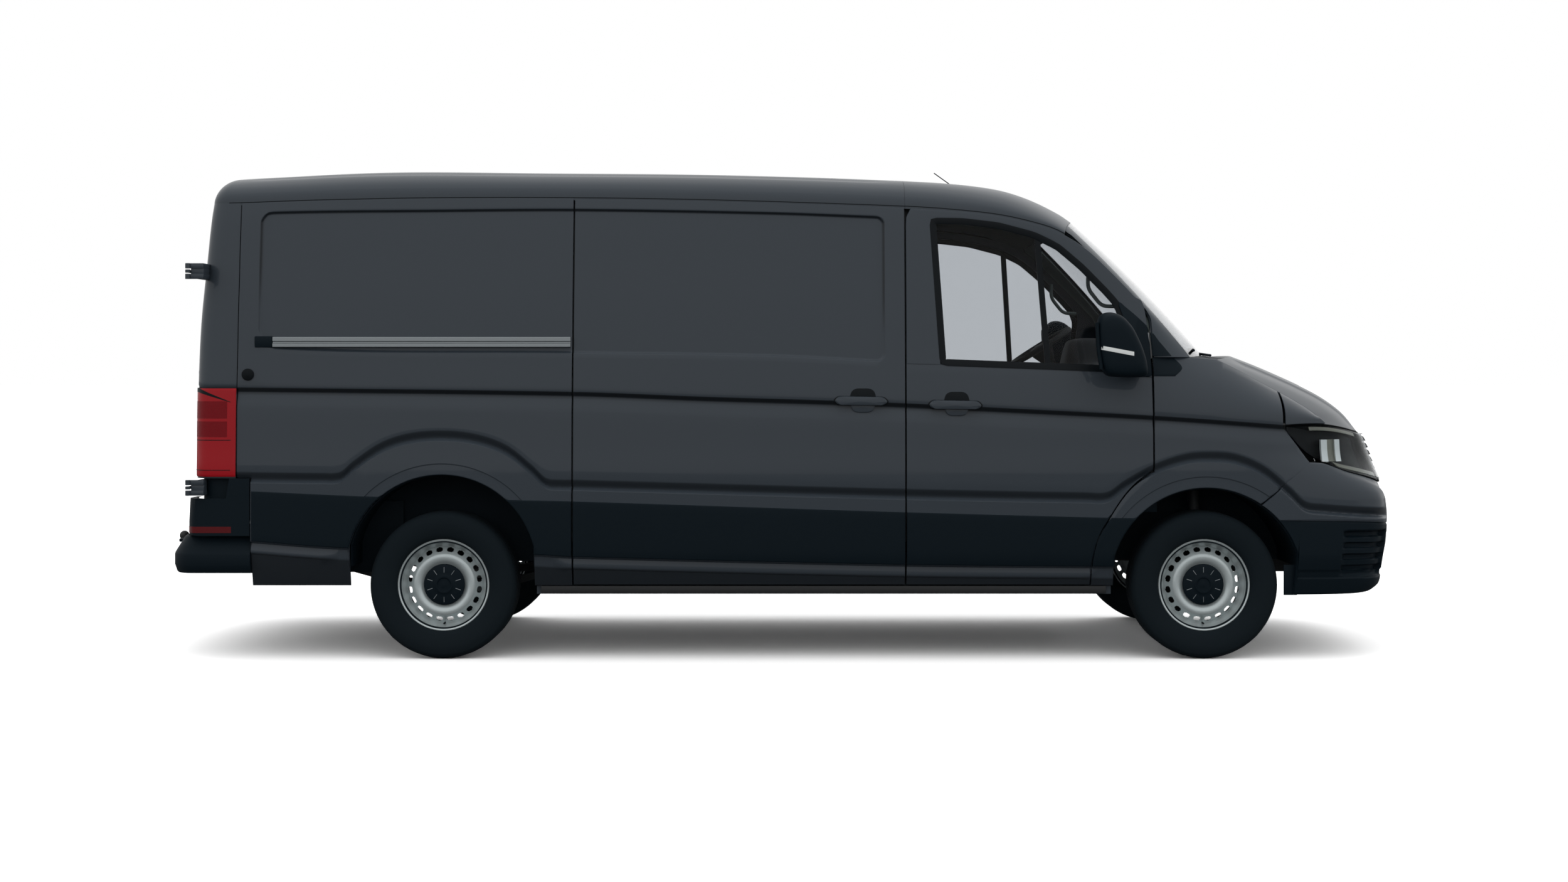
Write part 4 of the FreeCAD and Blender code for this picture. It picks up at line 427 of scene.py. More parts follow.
def mesh_object(name, parts, material, body, slot, flat=35, smooth=True, tidy=True):
    """An object from (points, quads) pairs, doubles merged, normals out, riding on a body."""
    points, faces = pile(parts) if isinstance(parts, list) else parts
    data = bpy.data.meshes.new(name)
    data.vertices.add(len(points))
    data.vertices.foreach_set("co", np.ascontiguousarray(points, np.float32).ravel())
    data.loops.add(faces.size)
    data.loops.foreach_set("vertex_index", np.ascontiguousarray(faces, np.int32).ravel())
    data.polygons.add(len(faces))
    data.polygons.foreach_set("loop_start", np.arange(0, faces.size, faces.shape[1]))
    data.update(calc_edges=True)
    data.validate()
    if tidy:
        work = bmesh.new()
        work.from_mesh(data)
        bmesh.ops.remove_doubles(work, verts=work.verts, dist=2e-5)
        bmesh.ops.dissolve_degenerate(work, edges=work.edges, dist=1e-6)
        bmesh.ops.recalc_face_normals(work, faces=work.faces)
        work.to_mesh(data)
        work.free()
    # Painted shade: the attribute crease darkens the body paint where the side's creases, the window blank's upper
    # and rear edges and the sill's lower face fall in shade
    if material == finishes.get("body_paint"):
        spots = np.empty(3 * len(data.vertices), np.float32)
        data.vertices.foreach_get("co", spots)
        shade = data.attributes.new("crease", "FLOAT", "POINT")
        shade.data.foreach_set("value", painted_crease_shade(spots.reshape(-1, 3)).astype(np.float32))
    if smooth:
        data.shade_smooth()
        data.set_sharp_from_angle(angle=math.radians(flat))
    obj = bpy.data.objects.new(name, data)
    bpy.context.scene.collection.objects.link(obj)
    data.materials.append(material)
    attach(obj, body)
    return obj


def mirror_y(parts):
    """The same parts on the other side of the van."""
    return [(p * (1, -1, 1), f) for p, f in parts]


def sided(parts, sign):
    """Left-hand parts, mirrored for the right side."""
    return parts if sign > 0 else mirror_y(parts)


def side_word(sign):
    """Name of a side."""
    return "left" if sign > 0 else "right"


def round_box(low, high, radius, seg=4):
    """A box with rounded edges: a sphere's directions stretched to the box's core corners."""
    low, high = np.asarray(low, float), np.asarray(high, float)
    radius = min(radius, *(0.5 * (high - low)))
    n = seg * 2
    u = np.linspace(-math.pi / 2, math.pi / 2, n + 2)
    v = np.linspace(-math.pi, math.pi, 2 * n + 4, endpoint=False) + math.pi / (2 * n + 4)
    u, v = np.meshgrid(u, v, indexing="ij")
    direction = np.stack([np.cos(u) * np.cos(v), np.cos(u) * np.sin(v), np.sin(u)], -1)
    core_low, core_high = low + radius, high - radius
    core = np.where(direction > 0, core_high, core_low)
    core[0, :, 2] = core_low[2]
    core[-1, :, 2] = core_high[2]
    return sheet(core + radius * direction, around_v=True)


def box_part(low, high, radius=0.004, seg=3):
    """Points and quads of a rounded box with its poles closed."""
    points, faces = round_box(low, high, radius, seg)
    count = 4 * seg + 4
    low_ring = np.arange(count)
    high_ring = len(points) - count + np.arange(count)
    caps = []
    for ring in (low_ring, high_ring):
        for k in range(1, count // 2):
            caps.append([ring[k - 1], ring[k], ring[count - 1 - k], ring[(count - k) % count]])
    return points, np.concatenate([faces, np.array(caps)])


def turned(profile, centre, count=96, axis="y"):
    """A closed profile of (along, radius) points turned round an axis through a centre."""
    profile = np.asarray(profile, float)
    a = np.linspace(0, 2 * math.pi, count, endpoint=False)[:, None]
    along = np.broadcast_to(profile[None, :, 0], (count, len(profile)))
    r = profile[None, :, 1]
    first, second = np.cos(a) * r, np.sin(a) * r
    columns = {"y": (first, along, second), "z": (first, second, along),
               "x": (along, first, second)}[axis]
    return sheet(np.stack(columns, -1) + np.asarray(centre), around_u=True, around_v=True)


def tube(path, radius, seg=10):
    """A round bar along a path: a circle carried on frames worked out from the tangents, with
    pinched ends."""
    path = np.asarray(path, float)
    tangent = np.gradient(path, axis=0)
    tangent /= np.linalg.norm(tangent, axis=1, keepdims=True)
    aside = np.cross(tangent, (0.13, 0.21, 0.97))
    aside /= np.linalg.norm(aside, axis=1, keepdims=True)
    up = np.cross(aside, tangent)
    a = np.linspace(0, 2 * math.pi, seg, endpoint=False)
    radius = np.broadcast_to(np.asarray(radius, float), (len(path),))
    ring = np.cos(a)[None, :, None] * aside[:, None] + np.sin(a)[None, :, None] * up[:, None]
    points = path[:, None] + ring * radius[:, None, None]
    ends = [np.repeat(path[:1, None], seg, 1), np.repeat(path[-1:, None], seg, 1)]
    return sheet(np.concatenate([ends[0], points, ends[1]]), around_v=True)


def roll(distance, radius=0.003):
    """Drop of a rolled edge at a distance from it: a quarter circle."""
    d = np.clip(distance / radius, 0, 1)
    return radius * (1 - np.sqrt(np.maximum(1 - (1 - d)**2, 0)))


def side_form(x, z, ends):
    """All the forms of the side at x and z: the sill's below its top line, the others above."""
    form = relief(x, z, ends)
    drop = body_line(sill_top_shares, x) - z
    chamfers = ((-2.56, -2.03), (-1.065, 1.585))
    under = np.zeros_like(z) - sill_tuck
    for start, end in chamfers:
        inside = ease(start, start + 0.03, x - drop * 0.9) * ease(-end, -end + 0.03, -x - drop * 0.9)
        under = under + (sill_tuck - 0.002) * ease(0.0, sill_slope, drop) * inside
        under = under - 0.010 * ease(sill_slope + 0.003, sill_slope + 0.012, drop) * inside
    return np.where(drop > 0, under, form)


def near_arch(x, z, near):
    """The smaller of a distance and the distance from the arches' openings, above their hubs."""
    for middle, height, radius, _ in arches.values():
        ring = np.hypot(x - middle, z - height) - radius
        near = np.where(z > height, np.minimum(near, np.abs(ring)), near)
    return near


def side_panel(xs, low, high, ends=(), wall=0.02, base=side_y):
    """A closed panel of the side between a low and a high edge at each station: the section
    plus the side's forms, less the rolled edges; the inside lies a wall further in."""
    edge = np.array([0, 0.0008, 0.002, 0.0035])
    xs = np.unique(np.round(np.concatenate([xs, xs[0] + edge, xs[-1] - edge]), 5))
    low, high = low(xs), high(xs)
    sill = body_line(sill_top_shares, xs)
    marks, counts = side_marks(xs, low, high)
    extra = [low + e for e in edge[1:]] + [sill - sill_slope - 0.012, sill - sill_slope, sill,
                                          sill + 0.0008]
    marks = marks[:1] + extra + marks[1:-1] + [high - e for e in edge[:0:-1]] + marks[-1:]
    counts = (1, 1, 1, 4, 2, 5, 1, 6) + counts[1:] + (1, 1, 1)
    z = rows_between(marks, counts)
    x = np.broadcast_to(xs[:, None], z.shape)
    near = np.minimum.reduce([x - xs[0], xs[-1] - x, z - low[:, None], high[:, None] - z])
    near = near_arch(x, z, near)
    y = base(x, z) + side_form(x, z, ends) - roll(near)
    outer = np.stack([x, y, z], -1)
    return shell(outer, outer - (0, wall, 0))


def clad_panel(x0, x1, low, high, stand=0.004, base=side_y):
    """Black cladding over the lower side: flat between its edges, which roll back."""
    xs = fine(x0, x1, 0.02, [m + s * h for m, _, _, h in arches.values() for s in (-1, 1)], 0.012)
    edge = np.array([0, 0.001, 0.003, 0.006])
    xs = np.unique(np.round(np.concatenate([xs, xs[0] + edge, xs[-1] - edge]), 5))
    low, high = low(xs), np.maximum(high(xs), low(xs) + 0.001)
    marks = [low + e for e in edge] + [high - e for e in edge[::-1]]
    z = rows_between(marks, (1, 1, 1, 8, 1, 1, 1))
    x = np.broadcast_to(xs[:, None], z.shape)
    near = np.minimum.reduce([x - xs[0], xs[-1] - x, z - low[:, None], high[:, None] - z])
    near = near_arch(x, z, near)
    y = base(x, z) + flare_stand + stand - roll(near, 0.005)
    outer = np.stack([x, y, z], -1)
    return shell(outer, outer - (0, 0.012, 0))


def door_low(x):
    """Lower edge of the cab door at x: the sill as far as the kick, then the curve over the
    arch to the front edge."""
    table = [(door_front_x - door_length * a, roof_height * b)
             for a, b in door_edge_shares[::-1][:5]]
    table = sorted(table)
    return np.where(x < table[0][0], door_bottom, curve(table, x))


def door_high(x):
    """Top edge of the cab door at x: under the gutter, then down along the windscreen pillar."""
    table = sorted((door_front_x - door_length * a, roof_height * b)
                   for a, b in door_edge_shares[:7])
    front = curve(table, x)
    return np.minimum(body_line(gutter_shares, x) - shut_gap,
                      np.where(x < table[0][0], 9.0, front))


bonnet_back_x = front_axle_x + 0.258
bonnet_side_x = front_axle_x + 0.078
bonnet_run, bonnet_side_run, bonnet_half = 0.655, 0.522, 0.846
bonnet_top, bonnet_side_top, bonnet_drop, bonnet_side_drop = 1.452, 1.432, 0.387, 0.314
bonnet_centre_shares = ((0.0, 0.0), (0.168, 0.106), (0.351, 0.235), (0.55, 0.388),
                        (0.733, 0.556), (0.885, 0.755), (1.0, 1.0))
bonnet_side_shares = ((0.0, 0.0), (0.172, 0.146), (0.345, 0.30), (0.536, 0.471),
                      (0.728, 0.646), (0.88, 0.81), (1.0, 1.0))


def wing_top(x):
    """Half width and height of the wing's upper edge at x."""
    start = side_y(np.array(door_front_x), np.array(scuttle_z))
    base_x = front_axle_x + 0.120 - 0.180
    share = np.clip((x - door_front_x) / (base_x - door_front_x), 0, 1)
    y = start + (0.9 - start) * share
    along = np.clip((x - base_x) / (bonnet_side_x - base_x), 0, 1)
    y = np.where(x < base_x, y, 0.9 + (bonnet_half + shut_gap - 0.9) * along)
    z = scuttle_z + (bonnet_side_top - scuttle_z) * along
    table = [(bonnet_side_x + bonnet_side_run * a, b) for a, b in bonnet_side_shares]
    fall = bonnet_side_top - bonnet_side_drop * curve(table, x)
    return np.where(x < bonnet_side_x, y, bonnet_half + shut_gap), np.where(x < bonnet_side_x, z, fall)


wing_foot = 1.168 - 0.025


def wing_surface(x, z):
    """Half width of the wing: its side as far as the waist, then rounding in to the bonnet's
    edge with the power 2.2 of the way up."""
    top_y, top_z = wing_top(x)
    foot_y = wing_y(x, np.full_like(z, wing_foot))
    k = np.clip((z - wing_foot) / np.maximum(top_z - wing_foot, 0.02), 0, 1)
    return np.where(z > wing_foot, top_y + (foot_y - top_y) * (1 - k**2.2), wing_y(x, z))


seam_low = (front_axle_x + 0.440 * 0.61, tyre_radius + 0.459 * 0.86)
seam_high = (front_axle_x + 0.440 * 1.137, roof_height * 0.3967)


def seam_z(x):
    """Height of the seam between the wing and the bumper at x."""
    slope = (seam_high[1] - seam_low[1]) / (seam_high[0] - seam_low[0])
    return seam_low[1] + (x - seam_low[0]) * slope


lamp_tip_x = nose_point(0.78, 1.1096)[0] - 0.009


def wing_low(x):
    """Lower edge of the wing: sill, arch, then the bumper's seam."""
    low = np.maximum(door_bottom, arch_z(x, "front"))
    return np.where(x > seam_low[0], np.maximum(low, seam_z(x) + shut_gap / 2), low)


def wing_high(x):
    """Upper edge of the wing: under the door's curve, then the bonnet's seam, then the lamp."""
    high = np.where(x < door_front_x + 0.004, door_low(x) - shut_gap, wing_top(x)[1])
    run = (x - lamp_tip_x) / (seam_high[0] - lamp_tip_x)
    lamp = roof_height * 0.4725 + (seam_high[1] - roof_height * 0.4725) * run
    return np.where(x > lamp_tip_x, np.minimum(high, lamp - shut_gap / 2), high)


def lamp_top_z(x):
    """Height of the headlamp's top edge at x, found from its table along the nose."""
    t = np.linspace(0.26, 0.78, 200)
    z = roof_height * curve(lamp_high_shares, t)
    px = nose_point(t, z)[:, 0]
    order = np.argsort(px)
    return np.interp(x, px[order], z[order])


def path_along(points, count, corner=0.0, closed=False):
    """A line through points cut into equal steps, each point then averaged with those within
    a corner's length either way, which rounds the corners."""
    p = np.asarray(points, float)
    if closed:
        p = np.concatenate([p, p[:1]])
    run = np.concatenate([[0], np.cumsum(np.linalg.norm(np.diff(p, axis=0), axis=1))])
    dense = 40 * count
    s = np.linspace(0, run[-1], dense, endpoint=not closed)
    q = np.stack([np.interp(s, run, p[:, k]) for k in range(p.shape[1])], 1)
    half = int(corner / run[-1] * dense)
    if half > 0:
        if closed:
            long = np.concatenate([q[-half:], q, q[:half]])
        else:
            left = 2 * q[:1] - q[half:0:-1]
            right = 2 * q[-1:] - q[-2:-half - 2:-1]
            long = np.concatenate([left, q, right])
        total = np.cumsum(np.concatenate([np.zeros((1, q.shape[1])), long]), 0)
        q = (total[2 * half + 1:] - total[:-2 * half - 1]) / (2 * half + 1)
    pick = np.linspace(0, dense - 1, count).round().astype(int) if not closed \
        else np.arange(count) * dense // count
    return q[pick]


def window_outline(count=96, grow=0.0):
    """Closed outline of the cab door's window in x and z, grown outwards by a distance."""
    points = [(door_front_x - door_length * a, roof_height * b) for a, b in window_shares]
    q = path_along(points, count, 0.022, closed=True)
    ahead = np.roll(q, -1, 0) - np.roll(q, 1, 0)
    ahead /= np.linalg.norm(ahead, axis=1, keepdims=True)
    aside = np.stack([-ahead[:, 1], ahead[:, 0]], 1)
    sign = np.sign(np.sum(aside * (q - q.mean(0))))
    return q + aside * sign * grow


def on_door(q, out=0.0):
    """Points of the door's skin at (x, z) pairs, stood out by a distance."""
    x, z = q[..., 0], q[..., 1]
    return np.stack([x, side_y(x, z) + out, z], -1)


def raised(corners, stands, corner=0.012, count=60):
    """A closed form on the side: a rounded outline shrunk towards its middle by each share,
    each ring at its own stand from the skin; the first and last shares close it."""
    loop = path_along(corners, count, corner, closed=True)
    middle = loop.mean(0)
    return sheet(np.stack([on_door(middle + (loop - middle) * share, out)
                           for share, out in stands]), around_v=True)


def pull_handle(x0, x1, middle, cup0, cup1, top, low):
    """Black seat, painted pull bar, and the finger cup: its upper half a flat black patch of painted shadow, its
    lower half a flat patch in the paint.
    """
    bar = [(x0, middle), (x0 + 0.022, middle + 0.022), (x1 - 0.022, middle + 0.018),
           (x1, middle - 0.006), (x1 - 0.022, middle - 0.024), (x0 + 0.022, middle - 0.022)]
    upper = [(cup0, middle), (cup0 + 0.014, top - 0.012), (cup0 + 0.034, top),
             (cup1 - 0.034, top), (cup1 - 0.014, top - 0.012), (cup1, middle)]
    lower = [(cup0, middle), (cup0 + 0.020, low + 0.008), (cup0 + 0.040, low),
             (cup1 - 0.040, low), (cup1 - 0.020, low + 0.008), (cup1, middle)]
    seat = raised(bar, ((0, -0.006), (1.02, -0.006), (1.02, 0.002), (0.98, 0.004), (0, 0.004)))
    pull = raised(bar, ((0, -0.004), (0.96, -0.004), (0.96, 0.012), (0.90, 0.018), (0.6, 0.021),
                        (0, 0.022)))
    flat = (0, -0.004), (1, -0.004), (1, 0.0008), (0.9, 0.0016), (0, 0.0018)
    # The cup's upper half goes with the black seat: a flat black patch of painted shadow
    return [seat, raised(upper, flat)], [pull, raised(lower, flat)]


def ring_parts(rings, outs):
    """A closed band between outlines, each at its own stand from the door's skin."""
    rows = [on_door(q, out) for q, out in zip(rings, outs)]
    return sheet(np.stack(rows), around_u=True, around_v=True)


def door_frame():
    """Upper frame of the cab door: a closed band from the door's edge to the window."""
    keys = 11
    inner_keys = np.array([(door_front_x - door_length * a, roof_height * b)
                           for a, b in window_shares])
    rear, front = b_post_x + shut_gap / 2, door_front_x - shut_gap / 2
    outer_x = np.array([rear, rear, *inner_keys[2:6, 0], 1.513, 1.628, 1.740, 1.7935, front])
    outer_z = door_high(outer_x)
    outer_z[0] = body_line(belt_shares, np.array(rear))
    outer_z[-1] = body_line(belt_shares, np.array(front))
    outer_keys = np.stack([outer_x, outer_z], 1)
    knots = np.arange(keys)
    s = np.unique(np.concatenate([np.linspace(0, 1, 18), np.linspace(1, 10, 100)]))

    def through(points, corner):
        p = np.stack([np.where(s < 1, np.interp(s, knots, points[:, k]),
                               curve(list(zip(knots[1:], points[1:, k])), np.maximum(s, 1)))
                      for k in (0, 1)], 1)
        pull = np.exp(-((s - 1) / corner)**2)[:, None]
        middle = (points[1] + (points[0] - points[1]) * 0.04 + (points[2] - points[1]) * 0.2)
        return p + (middle - points[1]) * pull * 0.35
    inside = through(inner_keys, 0.06)
    outside = through(outer_keys, 0.04)
    w = np.array([0, 0.012, 0.04, 0.3, 0.6, 0.9, 0.975, 1.0])[None, :, None]
    q = outside[:, None] * (1 - w) + inside[:, None] * w
    drop = np.array([0.003, 0.0006, 0, 0, 0, 0, 0.001, 0.006])
    outer = on_door(q)
    outer[..., 1] -= drop[None]
    inner = outer - (0, 0.03, 0)
    return shell(outer, inner)


# Materials
def srgb(code):
    """Linear colour of a six-digit sRGB code; a colour that is linear already stays."""
    if not isinstance(code, str):
        return code
    c = np.array([int(code[k:k + 2], 16) for k in (0, 2, 4)]) / 255
    linear = np.where(c <= 0.04045, c / 12.92, ((c + 0.055) / 1.055)**2.4)
    return tuple(float(v) for v in linear) + (1.0,)


def add_node(tree, kind, inputs=None, **settings):
    """A shader node with its settings, and its inputs set from values or linked from sockets."""
    node = tree.nodes.new(kind)
    for name, value in settings.items():
        setattr(node, name, value)
    for name, value in (inputs or {}).items():
        if isinstance(value, bpy.types.NodeSocket):
            tree.links.new(value, node.inputs[name])
        else:
            node.inputs[name].default_value = value
    return node


def surface_material(name, colour, roughness=0.5, metallic=0.0, grain=None, bump=0.0, coat=0.0,
                     tint=None, crease=None, **more):
    """A Principled material whose colour varies slightly and whose skin is bumped by noise of
    a given scale in object coordinates; the attribute crease brings in a darker tone as painted shade."""
    material = bpy.data.materials.new(name)
    material.use_nodes = True
    tree = material.node_tree
    tree.nodes.clear()
    place = add_node(tree, "ShaderNodeTexCoord")
    inputs = {"Base Color": srgb(colour), "Roughness": roughness, "Metallic": metallic,
              "Coat Weight": coat, "Coat Roughness": 0.06}
    inputs.update(more)
    if grain:
        noise = add_node(tree, "ShaderNodeTexNoise",
                         {"Vector": place.outputs["Object"], "Scale": grain, "Detail": 3.0})
        if tint:
            mix = add_node(tree, "ShaderNodeMix", {"Factor": noise.outputs["Fac"]},
                           data_type="RGBA")
            mix.inputs[6].default_value = srgb(colour)
            mix.inputs[7].default_value = srgb(tint)
            inputs["Base Color"] = mix.outputs[2]
        if bump:
            bent = add_node(tree, "ShaderNodeBump", {"Height": noise.outputs["Fac"],
                                                     "Strength": bump, "Distance": 0.001})
            inputs["Normal"] = bent.outputs["Normal"]
    # Painted shade: the attribute crease mixes the darker crease colour into the base colour
    if crease:
        line = add_node(tree, "ShaderNodeAttribute", attribute_name="crease")
        mix = add_node(tree, "ShaderNodeMix", {"Factor": line.outputs["Fac"]}, data_type="RGBA")
        mix.inputs[6].default_value = srgb(colour)
        mix.inputs[7].default_value = srgb(crease)
        inputs["Base Color"] = mix.outputs[2]
    shader = add_node(tree, "ShaderNodeBsdfPrincipled", inputs)
    add_node(tree, "ShaderNodeOutputMaterial", {"Surface": shader.outputs["BSDF"]})
    return material


def make_materials(colours):
    """All finishes of the van, by name."""
    made = {}
    paint, plastic = tuple(colours.paint) + (1.0,), tuple(colours.plastic) + (1.0,)

    def add(name, *args, **kw):
        made[name] = surface_material(name, *args, **kw)
    # Metallic basecoat under clear lacquer: fine flake mottling, a mirror-like coat on top;
    # its near-black crease colour is painted shade in the side's creases and on the sill's lower face
    add("body_paint", paint, 0.45, 0.0, 900.0, 0.02, 0.22, crease="050C12",
        **{"Specular IOR Level": 0.15})
    # The same paint on the sills, which sit lower and carry a little road film
    add("sill_paint", paint, 0.5, 0.0, 700.0, 0.03, 0.2, **{"Specular IOR Level": 0.15})
    # Grained polypropylene mouldings: matt black with a leather-like grain
    add("black_plastic", plastic, 0.62, 0.0, 1400.0, 0.25, **{"Specular IOR Level": 0.1})
    # Smooth black mouldings: window surrounds, mirror feet
    add("gloss_black", "03090E", 0.4, 0.0, 300.0, 0.01, **{"Specular IOR Level": 0.12})
    # Extruded rubber seals and buffers
    add("rubber", "060C10", 0.75, 0.0, 900.0, 0.15, **{"Specular IOR Level": 0.15})
    # Tyre compound: carbon black, slightly brown where dust stays
    add("tyre_rubber", "0C161C", 0.85, 0.0, 220.0, 0.18, tint="10191E",
        **{"Specular IOR Level": 0.15})
    # Pressed steel wheel in silver stove enamel
    add("wheel_steel", "A4AEB0", 0.38, 0.35, 260.0, 0.03, 0.3, tint="B6BFC0")
    # Cavity-waxed chassis black
    add("chassis_coat", "0B0E10", 0.6, 0.1, 120.0, 0.2, tint="15181A")
    # Sand-cast iron and aluminium
    add("cast_metal", "2A2D2F", 0.65, 0.6, 350.0, 0.5, tint="3A3D3F")
    # Grey primed sheet on the posts, floor and bulkhead
    add("inner_panel", "33383B", 0.55, 0.1, 90.0, 0.05, tint="3B4043")
    # Aluminium extrusion of the sliding door's rail, brushed along its length
    add("rail_metal", "7A8083", 0.35, 0.8, 500.0, 0.05, tint="8A9093")
    # Aluminised silencer
    add("exhaust_metal", "55504B", 0.45, 0.9, 60.0, 0.1, tint="6A645C")
    # Vacuum-metallised reflectors
    add("reflector", "D8DCDE", 0.12, 1.0)
    # Silvered plate behind a small clear lens: the mirror's indicator, the lamp's bars
    add("lamp_silver", "D9DDDC", 0.4, 0.1)
    # Olive grey bowl between the headlamp's bars; on the upper of the headlamp's two strips the same colour is a
    # painted highlight of the lit shelf under the lamp's top edge
    add("lamp_bowl", "6B6B60", 0.35, 0.2)
    # Pale moulded trim of the cab: pillars, roof lining
    add("pale_trim", "5F6B69", 0.85, 0.0, 500.0, 0.2, tint="6B7674")
    # Dark moulded trim: dashboard, door cards
    add("dark_trim", "15191B", 0.7, 0.0, 800.0, 0.3, tint="1D2123")
    # Amber indicator lens, polycarbonate
    add("amber", "B0662A", 0.12, 0.0, **{"Transmission Weight": 0.5, "IOR": 1.5})
    # Clear polycarbonate lens over the headlamp
    add("lamp_clear", "F4F8FA", 0.03, 0.0, **{"Transmission Weight": 1.0, "IOR": 1.08})
    # Dark cell walls inside the headlamp
    add("lamp_dark", "121517", 0.45, 0.0, **{"Specular IOR Level": 0.1})
    # Red polycarbonate lens with a moulded prism grid
    add("lamp_red", "8A0A15", 0.25, 0.0, 420.0, 0.1, 0.1, tint="980E19",
        **{"Specular IOR Level": 0.1})
    # The same lens over its hatched cells, deeper in tone, with moulded prisms 3 mm apart
    add("lamp_cell", "5E0A12", 0.35, 0.0, 330.0, 0.8, tint="7C1019",
        **{"Specular IOR Level": 0.1})
    # Reflector strip in the bumper
    add("reflex_red", "4A1014", 0.35, 0.0, 900.0, 0.4, 0.1, tint="5A1418",
        **{"Specular IOR Level": 0.1})
    # Tinted safety glass
    add("window_glass", "D2D5D8", 0.0, 0.0, **{"Transmission Weight": 1.0, "IOR": 1.15})
    # Woven seat cloth, charcoal with a slightly lighter fleck
    add("seat_cloth", "24282B", 0.92, 0.0, 1500.0, 0.4, tint="34383B")
    # Knitted lining over the cab, dark in the van's own shade
    add("lining", "27302F", 0.95, 0.0, 600.0, 0.3, tint="2E3837")
    # Blank number plate
    add("plate_white", "C9CCCB", 0.4, 0.0, 200.0, 0.02)
    return made


slot_finish = {
    "body_paint": "body_paint", "sill_paint": "sill_paint", "black_plastic": "black_plastic",
    "chassis_coat": "chassis_coat", "cast_metal": "cast_metal", "inner_panel": "inner_panel",
    "window_glass": "window_glass", "lamp_clear": "lamp_clear", "lamp_red": "lamp_red",
    "rail_metal": "rail_metal", "seat_cloth": "seat_cloth", "exhaust_metal": "exhaust_metal",
    "wheel_steel": "wheel_steel", "tyre_rubber": "tyre_rubber",
}
finishes = {}


def piece(name, parts, finish, body="root", slot=None, sign=1, **kw):
    """One object with a named finish; a sign of -1 mirrors it to the right-hand side."""
    parts = parts if isinstance(parts, list) else [parts]
    parts = [p for p in parts if p is not None]
    return mesh_object(name, sided(parts, sign), finishes[finish], body,
                       slot or finish if (slot or finish) in slot_finish else "black_plastic",
                       **kw)


recess_ends = ((-2.452, 0.545),)
tail_low_x = corner_x + 0.0715


def quarter_low(x):
    """Lower edge of the panel over the rear arch; behind the wheel it stops at the bumper."""
    low = np.maximum(door_bottom, arch_z(x, "rear"))
    return np.where(x < tail_low_x, 0.866, low)


def side_stations(x0, x1, step=0.03):
    """Stations of a side panel, close where an arch, the recess or the tail ends."""
    near = [m + s * h for m, _, _, h in arches.values() for s in (-1, 1)]
    near += [recess_ends[0][0] + 0.01, recess_ends[0][1] - 0.01, -2.03, -1.065, 1.585,
             tail_low_x]
    xs = fine(x0, x1, step, near, 0.03)
    splits = [m + s * (h + e) for m, _, _, h in arches.values() for s in (-1, 1)
              for e in (-0.0002, 0.0002)]
    splits += [tail_low_x - 0.0002, tail_low_x + 0.0002, lamp_tip_x - 0.0002,
               lamp_tip_x + 0.0002, door_front_x + 0.0038, door_front_x + 0.0042]
    xs = np.concatenate([xs, [s for s in splits if x0 < s < x1]])
    return np.unique(np.round(xs, 5))


def build_sides():
    """Side panels, rear quarter, sliding door and cladding."""
    gap = shut_gap / 2

    def under_gutter(x):
        return body_line(gutter_shares, x) - 0.0015

    def door_sill(x):
        return np.full_like(x, door_bottom + gap)

    def under_rail(x):
        return body_line(gutter_shares, x) - shut_gap
    for name, node, x0, x1, low, high, sign in (
            ("side_panel_left_skin", "side_panel_left", corner_x, b_post_x,
             quarter_low, under_gutter, 1),
            ("rear_quarter_skin", "rear_quarter_right", corner_x, c_post_x,
             quarter_low, under_gutter, -1),
            ("sliding_door_skin", "sliding_door", c_post_x, b_post_x,
             door_sill, under_rail, -1)):
        panel = side_panel(side_stations(x0 + gap, x1 - gap), low, high, recess_ends)
        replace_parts(piece(name, panel, "body_paint", sign=sign), node)
    seams = {"left": (tail_low_x + 0.003, b_post_x - shut_gap / 2),
             "right": (tail_low_x + 0.003, c_post_x - shut_gap / 2)}
    for sign in (1, -1):
        x0, x1 = seams[side_word(sign)]
        clad = []
        rear_gap = arches["rear"]
        for a, b in ((x0, rear_gap[0]), (rear_gap[0], x1)):
            clad.append(clad_panel(
                a, b, lambda x: np.maximum(body_line(sill_top_shares, x), arch_z(x, "rear")),
                lambda x: np.maximum(body_line(clad_top_shares, x), arch_z(x, "rear"))))
        piece("quarter_cladding_" + side_word(sign), clad, "black_plastic", sign=sign)
    clad = clad_panel(c_post_x + shut_gap / 2, b_post_x - shut_gap / 2,
                      lambda x: body_line(sill_top_shares, x),
                      lambda x: body_line(clad_top_shares, x))
    piece("sliding_door_cladding", clad, "black_plastic", sign=-1)


